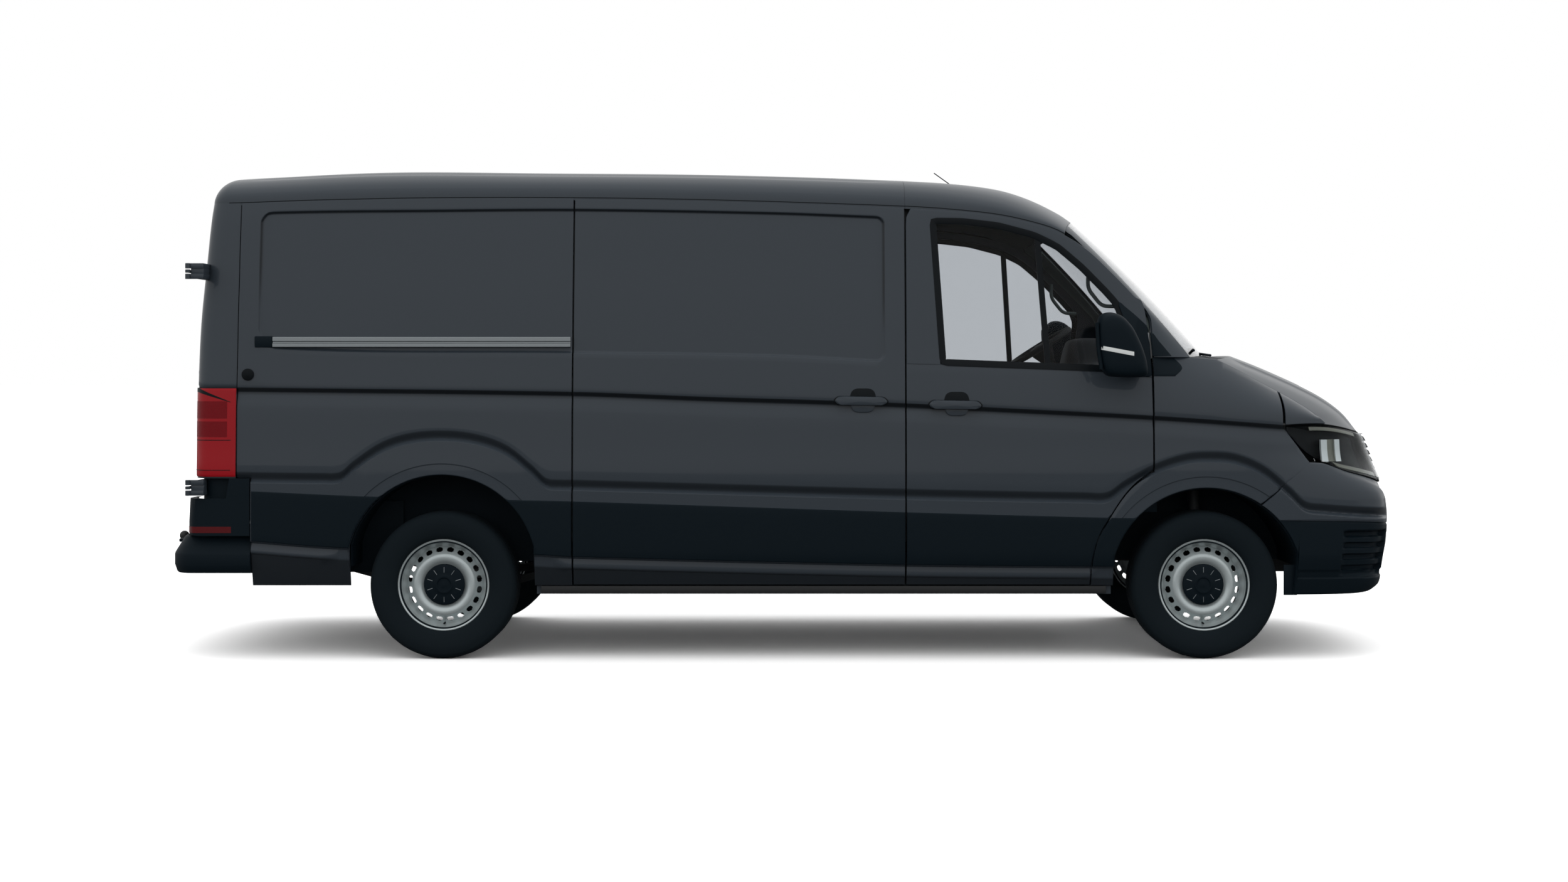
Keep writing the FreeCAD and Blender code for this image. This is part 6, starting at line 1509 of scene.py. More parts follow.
def build_wheels(holes, groove):
    """Pressed steel wheels with oval vents, a cap each, and tyres with a grooved tread."""
    rim_profile = np.array([
        (0.086, 0.2195), (0.088, 0.2165), (0.086, 0.2105), (0.080, 0.2065), (0.072, 0.2045),
        (0.066, 0.200), (0.056, 0.1995), (0.048, 0.196), (0.036, 0.184), (0.020, 0.181),
        (-0.02, 0.181), (-0.05, 0.196), (-0.07, 0.202), (-0.084, 0.207), (-0.088, 0.218),
        (-0.084, 0.219), (-0.076, 0.2095), (-0.05, 0.2035), (-0.018, 0.1875), (0.022, 0.1875),
        (0.038, 0.190), (0.052, 0.2035), (0.068, 0.2055), (0.078, 0.2120), (0.083, 0.2190)])
    rings = np.array([0.184, 0.1815, 0.1785, 0.176, 0.172, 0.169, 0.166, 0.163, 0.160, 0.157,
                      0.153, 0.149, 0.144, 0.136, 0.126, 0.116, 0.106, 0.098, 0.090, 0.070,
                      0.040, 0.001])
    across = np.interp(rings[::-1], [0.0, 0.085, 0.098, 0.112, 0.128, 0.144, 0.152, 0.170, 0.184],
                       [0.040, 0.040, 0.044, 0.058, 0.066, 0.062, 0.054, 0.034, 0.024])[::-1]
    cap_profile = np.array([(0.046, 0.097), (0.058, 0.0985), (0.064, 0.096), (0.067, 0.090),
                            (0.070, 0.060), (0.071, 0.044), (0.074, 0.040), (0.074, 0.034),
                            (0.070, 0.030), (0.069, 0.020), (0.071, 0.012), (0.0715, 0.0005),
                            (0.046, 0.0005)])
    tyre = tyre_profile(groove)
    cell = 20
    count = cell * holes
    a = np.linspace(0, 2 * math.pi, count, endpoint=False)
    for sign in (1, -1):
        for word, hub in (("front", front_hub), ("rear", rear_hub)):
            centre = np.array((hub[0], 0, hub[2]))
            body = "wheel_%s_%s" % (word, side_word(sign))
            y0 = hub[1]
            r = np.broadcast_to(rings[None, :], (count, len(rings)))
            y = np.broadcast_to(across[None, :], r.shape)
            disc = np.stack([np.cos(a)[:, None] * r, y + y0, np.sin(a)[:, None] * r], -1) + centre
            back = disc - (0, 0.006, 0)
            rows, cols = count, len(rings)
            outer, inner = grid_faces(rows, cols, True), grid_faces(rows, cols, True, base=count * cols)
            i, j = np.meshgrid(np.arange(rows), np.arange(cols - 1), indexing="ij")
            centre_k = ((i % cell) + 0.5) / cell - 0.5
            middle_r = 0.5 * (rings[j] + rings[j + 1])
            gone = ((centre_k / 0.31)**2 + ((middle_r - 0.1665) / 0.0115)**2 < 1).ravel()
            wall = []
            cells = gone.reshape(rows, -1)
            base = count * cols
            at, ring = np.nonzero(cells != np.roll(cells, 1, 0))
            wall.append(np.stack([at * cols + ring, at * cols + ring + 1,
                                  base + at * cols + ring + 1, base + at * cols + ring], -1))
            inner_cells = np.zeros_like(cells)
            inner_cells[:, 1:] = cells[:, :-1]
            at, ring = np.nonzero(cells != inner_cells)
            at, ring = (np.concatenate([at, np.arange(rows), np.arange(rows)]),
                        np.concatenate([ring, np.zeros(rows, int), np.full(rows, cols - 1)]))
            beyond = (at + 1) % rows
            wall.append(np.stack([at * cols + ring, beyond * cols + ring,
                                  base + beyond * cols + ring, base + at * cols + ring], -1))
            faces = np.concatenate([outer[~gone], inner[~gone]] + wall)
            disc_part = (np.concatenate([disc.reshape(-1, 3), back.reshape(-1, 3)]), faces)
            barrel = turned(rim_profile + (y0, 0), centre, 160)
            node_name = "rim_%s_%s" % (word, side_word(sign))
            obj = piece(node_name + "_steel", [barrel, disc_part], "wheel_steel", body, sign=sign,
                        flat=40)
            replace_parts(obj, node_name)
            cap = turned(cap_profile + (y0, 0), centre, 120)
            piece(node_name + "_cap", cap, "black_plastic", body, sign=sign)
            marks = []
            for m in range(10):
                turn = math.radians(36 * m + 18)
                p0 = np.array((math.cos(turn), 0, math.sin(turn)))
                marks.append(tube(centre + (0, y0 + 0.0693, 0) + p0 * np.linspace(
                    0.058, 0.084, 4)[:, None] - (0, 0.0008, 0) * np.linspace(0, 1, 4)[:, None],
                    0.0016, 6))
            piece(node_name + "_cap_marks", marks, "rail_metal", body, sign=sign,
                  slot="black_plastic")
            valve = tube(centre + (0, y0 + 0.03, 0) + np.linspace(0, 1, 5)[:, None]
                         * (0.0, 0.036, 0.0) + (0, 0, -0.186), 0.0045, 10)
            piece(node_name + "_valve", valve, "rubber", body, sign=sign, slot="tyre_rubber")
            node_name = "tyre_%s_%s" % (word, side_word(sign))
            obj = piece(node_name + "_rubber", turned(tyre + (y0, 0), centre, 240),
                        "tyre_rubber", body, sign=sign, flat=28)
            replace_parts(obj, node_name)


def build_details():
    """Mirrors, handles, wipers, sill flange, front plate, the closing pieces inside the arches and
    beside the cab floor, the door rail's strips and its stop pad."""
    outline = np.array([(1.774, 1.350), (1.768, 1.420), (1.742, 1.500), (1.700, 1.585),
                        (1.650, 1.640), (1.590, 1.658), (1.545, 1.640), (1.534, 1.580),
                        (1.540, 1.480), (1.552, 1.400), (1.575, 1.352), (1.640, 1.347),
                        (1.720, 1.346)])
    loop = path_along(outline, 72, 0.03, closed=True)
    middle = loop.mean(0)
    for sign in (1, -1):
        word = side_word(sign)
        body = "cab_door_" + word
        ys = np.array([1.0645, 1.068, 1.078, 1.10, 1.13, 1.16, 1.185, 1.20, 1.208, 1.2125])
        size = np.array([0.70, 0.86, 0.95, 1.0, 1.0, 0.99, 0.95, 0.88, 0.78, 0.55])
        plan = middle + (loop - middle) * size[:, None, None]
        across = np.broadcast_to(ys[:, None], plan.shape[:2])
        head = capped(np.stack([plan[..., 0], across, plan[..., 1]], -1))
        arm = [box_part((1.668, 0.965, 1.362), (1.770, 1.085, 1.400), 0.012),
               box_part((1.668, 0.965, 1.425), (1.760, 1.085, 1.455), 0.012)]
        corners = np.array([(1.652, 1.3515), (1.8175, 1.3495), (1.812, 1.50), (1.803, 1.592),
                            (1.745, 1.646), (1.692, 1.690), (1.670, 1.712), (1.664, 1.700),
                            (1.686, 1.640), (1.674, 1.50)])
        foot = raised(corners, ((0.0, -0.012), (1.0, -0.012), (1.0, 0.004), (0.965, 0.0075),
                                (0.0, 0.0075)))
        obj = piece("mirror_%s_housing" % word, [head, foot] + arm, "black_plastic", body,
                    sign=sign)
        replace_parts(obj, "mirror_" + word)
        z, y = np.meshgrid(np.linspace(1.398, 1.590, 12), (1.094, 1.176), indexing="ij")
        x = np.interp(z, (1.40, 1.48, 1.58), (1.552, 1.540, 1.534)) - 0.0011
        glass = np.stack([x, y, z], -1)
        piece("mirror_%s_glass" % word, shell(glass, glass + (0.0015, 0, 0)), "reflector", body,
              sign=sign, slot="window_glass")
        rim_z = np.linspace(1.385, 1.602, 24)
        rim_x = np.interp(rim_z, (1.40, 1.48, 1.58), (1.552, 1.540, 1.534)) - 0.004
        rim = tube(np.stack([rim_x, np.full_like(rim_x, 1.182), rim_z], -1), 0.010, 12)
        piece("mirror_%s_rim" % word, rim, "black_plastic", body, sign=sign)
        x, k = np.meshgrid(np.linspace(1.534, 1.698, 24), np.linspace(-1, 1, 5), indexing="ij")
        share = (middle[0] - x) / (middle[0] - 1.540)
        y = np.interp(share, size[:4:-1], ys[:4:-1]) + 0.0009 - 0.0003 * k**2
        strip = np.stack([x, y, 1.488 - 0.19 * (x - 1.534) + 0.0095 * k], -1)
        piece("mirror_%s_indicator" % word, shell(strip, strip - (0, 0.014, 0)), "lamp_silver",
              body, sign=sign, slot="lamp_clear")
        black, painted = pull_handle(0.744, 1.009, 1.2165, 0.817, 0.950, 1.277, 1.165)
        # The seat's piece also holds the finger cup's upper half, a black patch of painted shadow
        piece("cab_door_%s_handle_seat" % word, black, "gloss_black", body, sign=sign)
        piece("cab_door_%s_handle" % word, painted, "sill_paint", body, sign=sign)
        row = np.linspace(0, 1, 14)[:, None]
        wiper = [tube((2.16, 0.62, 1.452) + row * (-0.10, -0.46, 0.028), 0.006, 8),
                 tube((2.05, 0.78, 1.476) + row * (0.085, -0.62, 0.012), 0.007, 8)]
        piece("wiper_" + word, wiper, "black_plastic", sign=sign)
        x0, x1 = -1.10, 1.60
        lower = [box_part((x0, 0.955, 0.3145), (x1, 0.9635, 0.350), 0.002)]
        piece("sill_flange_" + word, lower, "chassis_coat", sign=sign)
    black, painted = pull_handle(0.295, 0.561, 1.2350, 0.369, 0.505, 1.293, 1.181)
    # The seat's piece also holds the finger cup's upper half, a black patch of painted shadow
    piece("sliding_door_handle_seat", black, "gloss_black", sign=-1)
    piece("sliding_door_handle", painted, "sill_paint", sign=-1)
    plate = nose_grid(np.linspace(-0.102, 0.102, 16), lambda t: 0.456 + 0 * t,
                      lambda t: 0.568 + 0 * t, edged(6), lambda t, z, k: -0.003 + 0 * z, 0.003)
    piece("number_plate_front", plate, "plate_white", slot="black_plastic")
    for sign in (1, -1):
        word = side_word(sign)
        liners = [box_part((-2.125, 0.690, 0.392), (-1.800, 0.694, 0.740), 0.001),
                  box_part((2.449, 0.955, 0.305), (2.514, 0.961, 0.450), 0.002)]
        piece("arch_aprons_" + word, liners, "black_plastic", sign=sign)
        centre, _, radius, half = arches["rear"]
        reach = math.asin(half / radius) - 0.02
        x, k = np.meshgrid(centre + radius * np.sin(np.linspace(-reach, reach, 60)), (0.0, 1.0),
                           indexing="ij")
        z = arch_z(x, "rear") + 0.003
        lip = np.stack([x, side_y(x, z) - 0.075 + 0.057 * k, z], -1)
        piece("arch_lip_" + word, shell(lip, lip + (0, 0, 0.003)), "black_plastic", sign=sign)
        kick = [box_part((1.690, 0.790, 0.700), (1.704, 0.919, 1.395), 0.002),
                box_part((1.690, 0.907, 0.700), (1.850, 0.919, 1.395), 0.002)]
        piece("kick_panel_" + word, kick, "black_plastic", sign=sign)
        z = np.linspace(0.640, 0.872, 12)
        lower = lean_in(corner_line(z, 0.0, 0.8035, corner_x - 0.002), 0.030)
        piece("corner_foot_" + word, shell(lower, lean_in(lower, 0.004)), "black_plastic",
              sign=sign)
        z = np.linspace(0.870, float(body_line(gutter_shares, np.array(corner_x))) - 0.002, 30)
        z, x = np.meshgrid(z, (corner_x - 0.012, corner_x + 0.012), indexing="ij")
        back = np.stack([x, side_y(x, z) - 0.0212, z], -1)
        piece("corner_seam_" + word, shell(back, back - (0, 0.003, 0)), "rubber", sign=sign,
              slot="black_plastic")
    xs = np.linspace(-2.377, -0.957, 60)
    rails = []
    for z0, z1, out in ((1.490, 1.507, 0.011), (1.507, 1.517, 0.004), (1.517, 1.538, 0.011)):
        y = side_y(xs, np.full_like(xs, 0.5 * (z0 + z1)))
        loop = np.stack([np.stack([xs, y + o, np.full_like(xs, z)], -1) for o, z in
                         ((-0.022, z0), (out - 0.002, z0), (out, z0 + 0.002), (out, z1 - 0.002),
                          (out - 0.002, z1), (-0.022, z1))], 1)
        rails.append(capped(loop))
    obj = piece("door_rail_strips", rails, "rail_metal", sign=-1)
    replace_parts(obj, "door_rail")
    y = float(side_y(np.array(-2.42), np.array(1.52)))
    piece("door_rail_end", box_part((-2.464, y - 0.016, 1.488), (-2.3775, y + 0.008, 1.542), 0.006),
          "black_plastic", sign=-1)
    y = float(side_y(np.array(-2.493), np.array(1.359)))
    pad = turned([(y - 0.006, 0.0001), (y - 0.006, 0.0285), (y + 0.008, 0.0285), (y + 0.013, 0.022),
                  (y + 0.015, 0.0001)], (-2.493, 0, 1.359), 40)
    piece("door_stop_pad", pad, "rubber", sign=-1, slot="black_plastic")


def screen_point(u, v, out=0.0):
    """Windscreen's outer face: straight lines from the header down to the scuttle, each bulged
    forward by 4u(1 - u) of the bulge; moved back along (1, 0, 1) by a wall."""
    edge_x = np.array(header_x - header_sweep)
    share = v * 0.858
    low = body_line(gutter_shares, edge_x)
    rise = body_line(crown_shares, np.array(header_x)) - low
    top = np.stack(np.broadcast_arrays(header_x - header_sweep * share**2,
                                       share * side_y(edge_x, low),
                                       low + rise * arc(share, 2)), -1)
    base = np.stack(np.broadcast_arrays(front_axle_x + 0.120 - 0.180 * v**2, 0.900 * v,
                                        scuttle_z + 0.012 * (1 - v**2)), -1)
    lift = 0.012 * 4 * u * (1 - u) + out
    return top + (base - top) * np.asarray(u)[..., None] + lift[..., None] * (1, 0, 1)


def pillar_point(u, w, inward=0.0):
    """Windscreen pillar: from the glass edge (w 0) to the door line (w 1), swelling outwards by
    4w(1 - w), and moved inwards by a distance."""
    glass_edge = header_x - header_sweep
    low = body_line(gutter_shares, np.array(glass_edge))
    inner = screen_point(u, np.ones_like(u))
    z = low + (scuttle_z - low) * u
    x = np.minimum(door_edge_x(z), glass_edge + (door_front_x - glass_edge)
                   * np.minimum(u * 1.5, 1)) - 0.050
    edge = np.stack([x, side_y(x, z), z], -1)
    swell = 0.025 * 4 * w * (1 - w)
    point = inner + (edge - inner) * w[..., None]
    return point + swell[..., None] * (0.5, 1, 0) - inward * np.array((0.3, 1, 0.3))


def pillar_reach(u):
    """Share of the way to the door line at which the pillar meets the door's shut gap."""
    ends = pillar_point(u, np.zeros_like(u))[..., 0], pillar_point(u, np.ones_like(u))[..., 0]
    z = pillar_point(u, np.ones_like(u))[..., 2]
    return np.clip((ends[0] - door_edge_x(z) - shut_gap / 2) / (ends[0] - ends[1]), 0.05, 1)


def pillar_y(x, z):
    """Half width of the pillar at x and z."""
    low = body_line(gutter_shares, np.array(header_x - header_sweep))
    u = np.clip((low - z) / (low - scuttle_z), 0, 1)
    start, end = (pillar_point(u, np.full_like(u, w))[..., 0] for w in (0.0, 1.0))
    w = np.clip((start - x) / (start - end), 0, 1)
    return pillar_point(u, w)[..., 1]


def build_glass():
    """Windscreen with its printed border, door panes, pillars and the black mirror triangles."""
    v = np.unique(np.concatenate([np.linspace(-1, 1, 61), [-0.9985, 0.9985]]))
    u = np.linspace(0.002, 1, 50)
    uu, vv = np.meshgrid(u, v, indexing="ij")
    glass = shell(screen_point(uu, vv), screen_point(uu, vv, -0.004))
    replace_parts(piece("windscreen_glass", glass, "window_glass"), "windscreen")
    borders = []
    for u0, u1, v0, v1 in ((0.004, 0.035, -0.99, 0.99), (0.955, 0.996, -0.99, 0.99),
                           (0.035, 0.955, 0.955, 0.99), (0.035, 0.955, -0.99, -0.955)):
        uu, vv = np.meshgrid(np.linspace(u0, u1, 24), np.linspace(v0, v1, 40), indexing="ij")
        borders.append(shell(screen_point(uu, vv, -0.0045), screen_point(uu, vv, -0.0060)))
    piece("windscreen_border", borders, "gloss_black")
    for sign in (1, -1):
        word = side_word(sign)
        body = "cab_door_" + word
        outline = window_outline(96, -0.008)
        middle = outline.mean(0)
        k = np.linspace(0.002, 1, 16)[:, None, None]
        pane = middle + (outline - middle) * k
        pane = np.concatenate([on_door(pane, -0.010), on_door(pane, -0.0145)[::-1]])
        obj = piece("door_glass_%s_pane" % word, sheet(pane, around_u=True, around_v=True),
                    "window_glass", body, sign=sign)
        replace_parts(obj, "door_glass_" + word)
        u = np.linspace(0, 1, 40)
        across = np.linspace(0, 1, 15)
        uu, ww = np.meshgrid(u, across, indexing="ij")
        ww = ww * np.maximum(pillar_reach(uu), 0.45)
        face = pillar_point(uu, ww)
        back = face[:, -1:] - (0.004, 0.030, 0.004)
        face = np.concatenate([face[:, :1] - (0.004, 0.008, 0.004), face, back], 1)
        obj = piece("windscreen_pillar_" + word, shell(face, face - (0.006, 0.010, 0.004)),
                    "body_paint", sign=sign)
        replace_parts(obj, "windscreen_pillars")
        z = np.linspace(1.352, 1.560, 40)
        end = curve(((1.351, 1.928), (1.392, 1.966), (1.443, 1.925), (1.500, 1.878),
                     (1.562, 1.829)), z)
        start = door_edge_x(z) + shut_gap / 2 + 0.0015
        k = np.linspace(0, 1, 14)[None, :]
        x = start[:, None] + (np.maximum(end, start + 0.002) - start)[:, None] * k
        zz = np.broadcast_to(z[:, None], x.shape)
        low = wing_surface(x, np.minimum(zz, scuttle_z))
        y = np.where(zz < scuttle_z, low, pillar_y(x, np.maximum(zz, scuttle_z)))
        near = np.minimum.reduce([zz - z[0], z[-1] - zz, (x - x[:, :1]), (x[:, -1:] - x)])
        face = np.stack([x, y + 0.005 - roll(near, 0.003), zz], -1)
        piece("mirror_triangle_" + word, shell(face, face - (0, 0.014, 0)), "black_plastic",
              sign=sign)


def cushion(low, high, power=7.0, crown=0.018, channels=(), lean=0.0, count=36):
    """A stuffed form: points of a cube pushed on to the rounded box |x|^p + |y|^p + |z|^p = 1,
    stretched between two corners. Its sides draw in between the corners, its large faces crown
    by (1 - a^2)(1 - b^2) and dip at sewn channels by a bell curve; it leans back with height."""
    low, high = np.asarray(low, float), np.asarray(high, float)
    k = np.linspace(-1, 1, count)
    a, b = np.meshgrid(k, k, indexing="ij")
    one = np.ones_like(a)
    faces = [np.stack(f, -1) for f in (
        (one, a, b), (-one, b, a), (b, one, a), (a, -one, b), (a, b, one), (b, a, -one))]
    points = np.concatenate([f.reshape(-1, 3) for f in faces])
    quads = np.concatenate([grid_faces(count, count, base=i * count * count) for i in range(6)])
    unit = points / (np.abs(points)**power).sum(1, keepdims=True)**(1 / power)
    half = (high - low) / 2
    thin = int(np.argmin(half))
    wide = [i for i in range(3) if i != thin]
    drawn = np.ones_like(unit)
    for i, other in (wide, wide[::-1]):
        drawn[:, i] -= 0.022 * (1 - unit[:, other]**2)
    swell = (1 - unit[:, wide[0]]**2) * (1 - unit[:, wide[1]]**2)
    q = (low + high) / 2 + unit * drawn * half
    dip = sum(np.exp(-((q[:, axis] - place) / 0.007)**2) for axis, place in channels) \
        if channels else 0.0
    q[:, thin] += np.sign(unit[:, thin]) * np.abs(unit[:, thin]) * (crown * swell - 0.007 * dip
                                                                    * (swell > 0.02))
    q[:, 0] -= lean * (q[:, 2] - low[2])
    return q, quads


def build_seats():
    """Driver's seat and double bench: stuffed cushions, backrests and headrests on plinths."""
    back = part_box("seats")[0][0]
    plinths = []
    for name, y, width, heads in (("driver", 0.470, 0.480, 1), ("bench", -0.3384, 0.900, 2)):
        low, high = y - width / 2, y + width / 2
        plinths.append(box_part((back + 0.15, low + 0.06, 0.618), (back + 0.53, high - 0.06, 0.846),
                                0.02))
        rows = [(0, back + 0.30), (0, back + 0.46)]
        pads = [("cushion", (back + 0.115, low + 0.006, 0.846), (back + 0.640, high - 0.006, 0.950),
                 0.014, rows, 0.0),
                ("backrest", (back + 0.070, low + 0.006, 0.955), (back + 0.185, high - 0.006, 1.585),
                 0.010, [(2, 1.15), (2, 1.38)], 0.11)]
        for k in range(heads):
            middle = low + width / heads * (k + 0.5)
            pads.append(("headrest_%d" % (k + 1), (back + 0.014, middle - 0.124, 1.600),
                         (back + 0.102, middle + 0.124, 1.766), 0.008, [], 0.0))
            posts = [tube([(back + 0.06, middle + s * 0.06, z) for z in (1.50, 1.56, 1.62)], 0.006)
                     for s in (-1, 1)]
            plinths += posts
        for word, start, end, crown, channels, lean in pads:
            parts = cushion(start, end, crown=crown, channels=channels, lean=lean)
            obj = piece("seat_%s_%s" % (name, word), parts, "seat_cloth", flat=60)
    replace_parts(piece("seat_plinths", plinths, "black_plastic"), "seats")


def build_cab():
    """Dashboard, steering wheel, door cards, pillar trims with their handles and the lining."""
    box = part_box("dashboard")
    loop = path_along([(1.534, 1.02), (1.545, 1.335), (1.600, 1.402), (1.66, 1.413),
                       (box[1][0] - 0.002, 1.412), (box[1][0] - 0.002, 1.385), (1.82, 1.372),
                       (1.82, 0.962), (1.62, 0.962)], 110, 0.018, closed=True)
    y = np.unique(np.concatenate([np.linspace(-0.818, 0.818, 80), [-0.8195, 0.8195]]))
    hood = np.exp(-((y - 0.42) / 0.215)**4)[:, None]
    middle = loop.mean(0)
    size = 1 - 0.012 * (np.abs(y) > 0.819)[:, None]
    x = middle[0] + (loop[None, :, 0] - middle[0]) * size
    z = middle[1] + (loop[None, :, 1] - middle[1]) * size
    lift = ease(1.30, 1.41, z) * (1 - ease(1.72, 1.86, x)) * hood
    z = z + 0.135 * lift
    x = x - 0.02 * lift * ease(1.75, 1.6, x)
    rows = np.stack([x, np.broadcast_to(y[:, None], x.shape), z], -1)
    dash = piece("dashboard_trim", capped(rows), "dark_trim", slot="black_plastic")
    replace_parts(dash, "dashboard")
    tilt = math.radians(32)
    hub = np.array((front_axle_x - 0.640, 0.420, 1.500))
    axis = np.array((-math.sin(tilt), 0, math.cos(tilt)))
    up = np.array((math.cos(tilt), 0, math.sin(tilt)))
    side = np.array((0, 1.0, 0))
    a, b = np.meshgrid(np.linspace(0, 2 * math.pi, 72, endpoint=False),
                       np.linspace(0, 2 * math.pi, 16, endpoint=False), indexing="ij")
    out = np.cos(a)[..., None] * up + np.sin(a)[..., None] * side
    ring = hub + out * (0.180 + 0.0145 * np.cos(b))[..., None] + axis * 0.0145 * np.sin(b)[..., None]
    wheel = [sheet(ring, around_u=True, around_v=True)]
    k = np.linspace(0, 1, 10)[:, None]
    for way in (side, -side, -up):
        wheel.append(tube(hub + way * 0.17 * k - axis * 0.006 * np.sin(math.pi * k), 0.0115))
    wheel.append(tube(hub + axis * np.array([-0.26, -0.10, -0.03, 0.002, 0.012])[:, None],
                      [0.028, 0.028, 0.060, 0.062, 0.046], 24))
    obj = piece("steering_wheel_trim", wheel, "dark_trim", slot="black_plastic")
    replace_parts(obj, "steering_wheel")
    for sign in (1, -1):
        word = side_word(sign)
        body = "cab_door_" + word
        x = np.linspace(b_post_x + 0.03, door_front_x - 0.05, 40)
        low, high = door_low(x) + 0.05, body_line(belt_shares, x) - 0.012
        z = low[:, None] + (high - low)[:, None] * edged(24)[None]
        xx = np.broadcast_to(x[:, None], z.shape)
        pocket = ease(0.62, 0.66, z) * ease(-0.80, -0.77, -z)
        pocket = pocket * ease(0.9, 0.94, xx) * ease(-1.5, -1.46, -xx)
        rest = ease(1.12, 1.15, z) * ease(-1.22, -1.19, -z)
        rest = rest * ease(0.85, 0.9, xx) * ease(-1.5, -1.42, -xx)
        face = np.stack([xx, side_y(xx, z) - 0.034, z], -1)
        inner = face - np.stack([0 * z, 0.022 - 0.006 * pocket + 0.02 * rest, 0 * z], -1)
        piece(body + "_card", shell(face, inner), "dark_trim", body, sign=sign,
              slot="black_plastic")
        u = np.linspace(0.0, 0.97, 40)
        uu, ww = np.meshgrid(u, np.linspace(0.02, 0.98, 12), indexing="ij")
        face = pillar_point(uu, ww * np.maximum(pillar_reach(uu), 0.62), 0.032)
        piece("pillar_trim_" + word, shell(face, face - (0.004, 0.010, 0.003)), "pale_trim",
              sign=sign, slot="black_plastic")
        bend = path_along([(1.535, 1.850), (1.533, 1.775), (1.600, 1.690), (1.672, 1.688)], 30,
                          0.03)
        y = pillar_y(bend[:, 0], bend[:, 1]) - 0.050
        handle = tube(np.stack([bend[:, 0], np.minimum(y, 0.80), bend[:, 1]], 1), 0.0095, 12)
        piece("grab_handle_" + word, handle, "pale_trim", sign=sign, slot="black_plastic")
    lining = cab_arch(np.linspace(0, 0.96, 40), np.linspace(-0.93, 0.93, 61)) - (0.02, 0, 0.052)
    piece("roof_lining", shell(lining, lining - (0, 0, 0.010)), "lining", slot="black_plastic")


def dress():
    """Finish of each frame piece that still shows, from its slot in the record."""
    for row in frame["record"]["subparts"]:
        obj = frame["nodes"][row["node"]]
        if obj.hide_render:
            continue
        made = finishes[slot_finish[row["material_slot"]]]
        obj.data.materials.clear()
        obj.data.materials.append(made)


def build_stage(size, sky, key):
    """White floor that keeps the van's shadow, an even white sky, a wide lamp above, and the
    camera level with the van's waist."""
    scene = bpy.context.scene
    floor_points = np.array([(-size, -size, -0.001), (size, -size, -0.001), (-size, size, -0.001),
                             (size, size, -0.001)]).reshape(2, 2, 3)
    data = bpy.data.meshes.new("studio_floor")
    data.from_pydata(floor_points.reshape(-1, 3).tolist(), [], [(0, 1, 3, 2)])
    floor = bpy.data.objects.new("studio_floor", data)
    scene.collection.objects.link(floor)
    # Matt white studio sheet: its bounce stays below that of real white, only its picture is lifted
    made = bpy.data.materials.new("studio_sheet")
    made.use_nodes = True
    tree = made.node_tree
    tree.nodes.clear()
    path = add_node(tree, "ShaderNodeLightPath")
    seen = add_node(tree, "ShaderNodeBsdfDiffuse", {"Color": (1.5, 1.5, 1.5, 1.0)})
    plain = add_node(tree, "ShaderNodeBsdfDiffuse", {"Color": (0.20, 0.20, 0.20, 1.0)})
    mix = add_node(tree, "ShaderNodeMixShader", {0: path.outputs["Is Camera Ray"],
                                                 1: plain.outputs[0], 2: seen.outputs[0]})
    add_node(tree, "ShaderNodeOutputMaterial", {"Surface": mix.outputs[0]})
    data.materials.append(made)
    world = bpy.data.worlds.new("studio_sky")
    scene.world = world
    world.use_nodes = True
    tree = world.node_tree
    tree.nodes.clear()
    path = add_node(tree, "ShaderNodeLightPath")
    seen = add_node(tree, "ShaderNodeMath", {0: path.outputs["Is Camera Ray"],
                                             1: path.outputs["Is Transmission Ray"]},
                    operation="MAXIMUM")
    strength = add_node(tree, "ShaderNodeMapRange",
                        {"Value": seen.outputs[0], "To Min": sky, "To Max": 1.0})
    light = add_node(tree, "ShaderNodeBackground",
                     {"Color": (1, 1, 1, 1), "Strength": strength.outputs[0]})
    add_node(tree, "ShaderNodeOutputWorld", {"Surface": light.outputs[0]})
    lamp = bpy.data.lights.new("softbox_above", "AREA")
    lamp.shape = "RECTANGLE"
    lamp.size, lamp.size_y, lamp.energy = 9.0, 5.0, key
    above = bpy.data.objects.new("softbox_above", lamp)
    above.location = (0.2, 0.0, 6.5)
    scene.collection.objects.link(above)
    # Picture geometry: the camera stands level, 12.3 m from the van's middle, and is shifted
    camera = bpy.data.cameras.new("photo_camera")
    camera.lens, camera.sensor_width = 54.59, 36.0
    camera.shift_x, camera.shift_y = -0.0012, -0.0486
    camera.clip_end = 500.0
    eye = bpy.data.objects.new("photo_camera", camera)
    eye.location = (0.070, -12.325, 1.4057)
    eye.rotation_euler = (math.pi / 2, 0, 0)
    scene.collection.objects.link(eye)
    scene.camera = eye
    scene.view_settings.view_transform = "Standard"


class VanFinishes(bpy.types.PropertyGroup):
    """Colours of the van."""
    paint: FloatVectorProperty(name="Paint", description="Colour of the body's paint",
                               subtype="COLOR", size=3, min=0, max=1, default=srgb("31383F")[:3])
    plastic: FloatVectorProperty(name="Plastic", description="Colour of the black mouldings",
                                 subtype="COLOR", size=3, min=0, max=1,
                                 default=srgb("08141B")[:3])


class VanForms(bpy.types.PropertyGroup):
    """Sizes and counts of the van's repeated forms."""
    rib_depth: FloatProperty(name="Rib depth", description="Depth of the roof's pressed ribs",
                             default=0.004, min=0, max=0.02, unit="LENGTH")
    slats: IntProperty(name="Slats", description="Overlapping slats of the grille", default=7,
                       min=3, max=12)
    vents: IntProperty(name="Vents", description="Oval vents round each steel wheel", default=20,
                       min=8, max=40)
    groove: FloatProperty(name="Groove", description="Depth of the tyres' tread grooves",
                          default=0.008, min=0.002, max=0.012, unit="LENGTH")


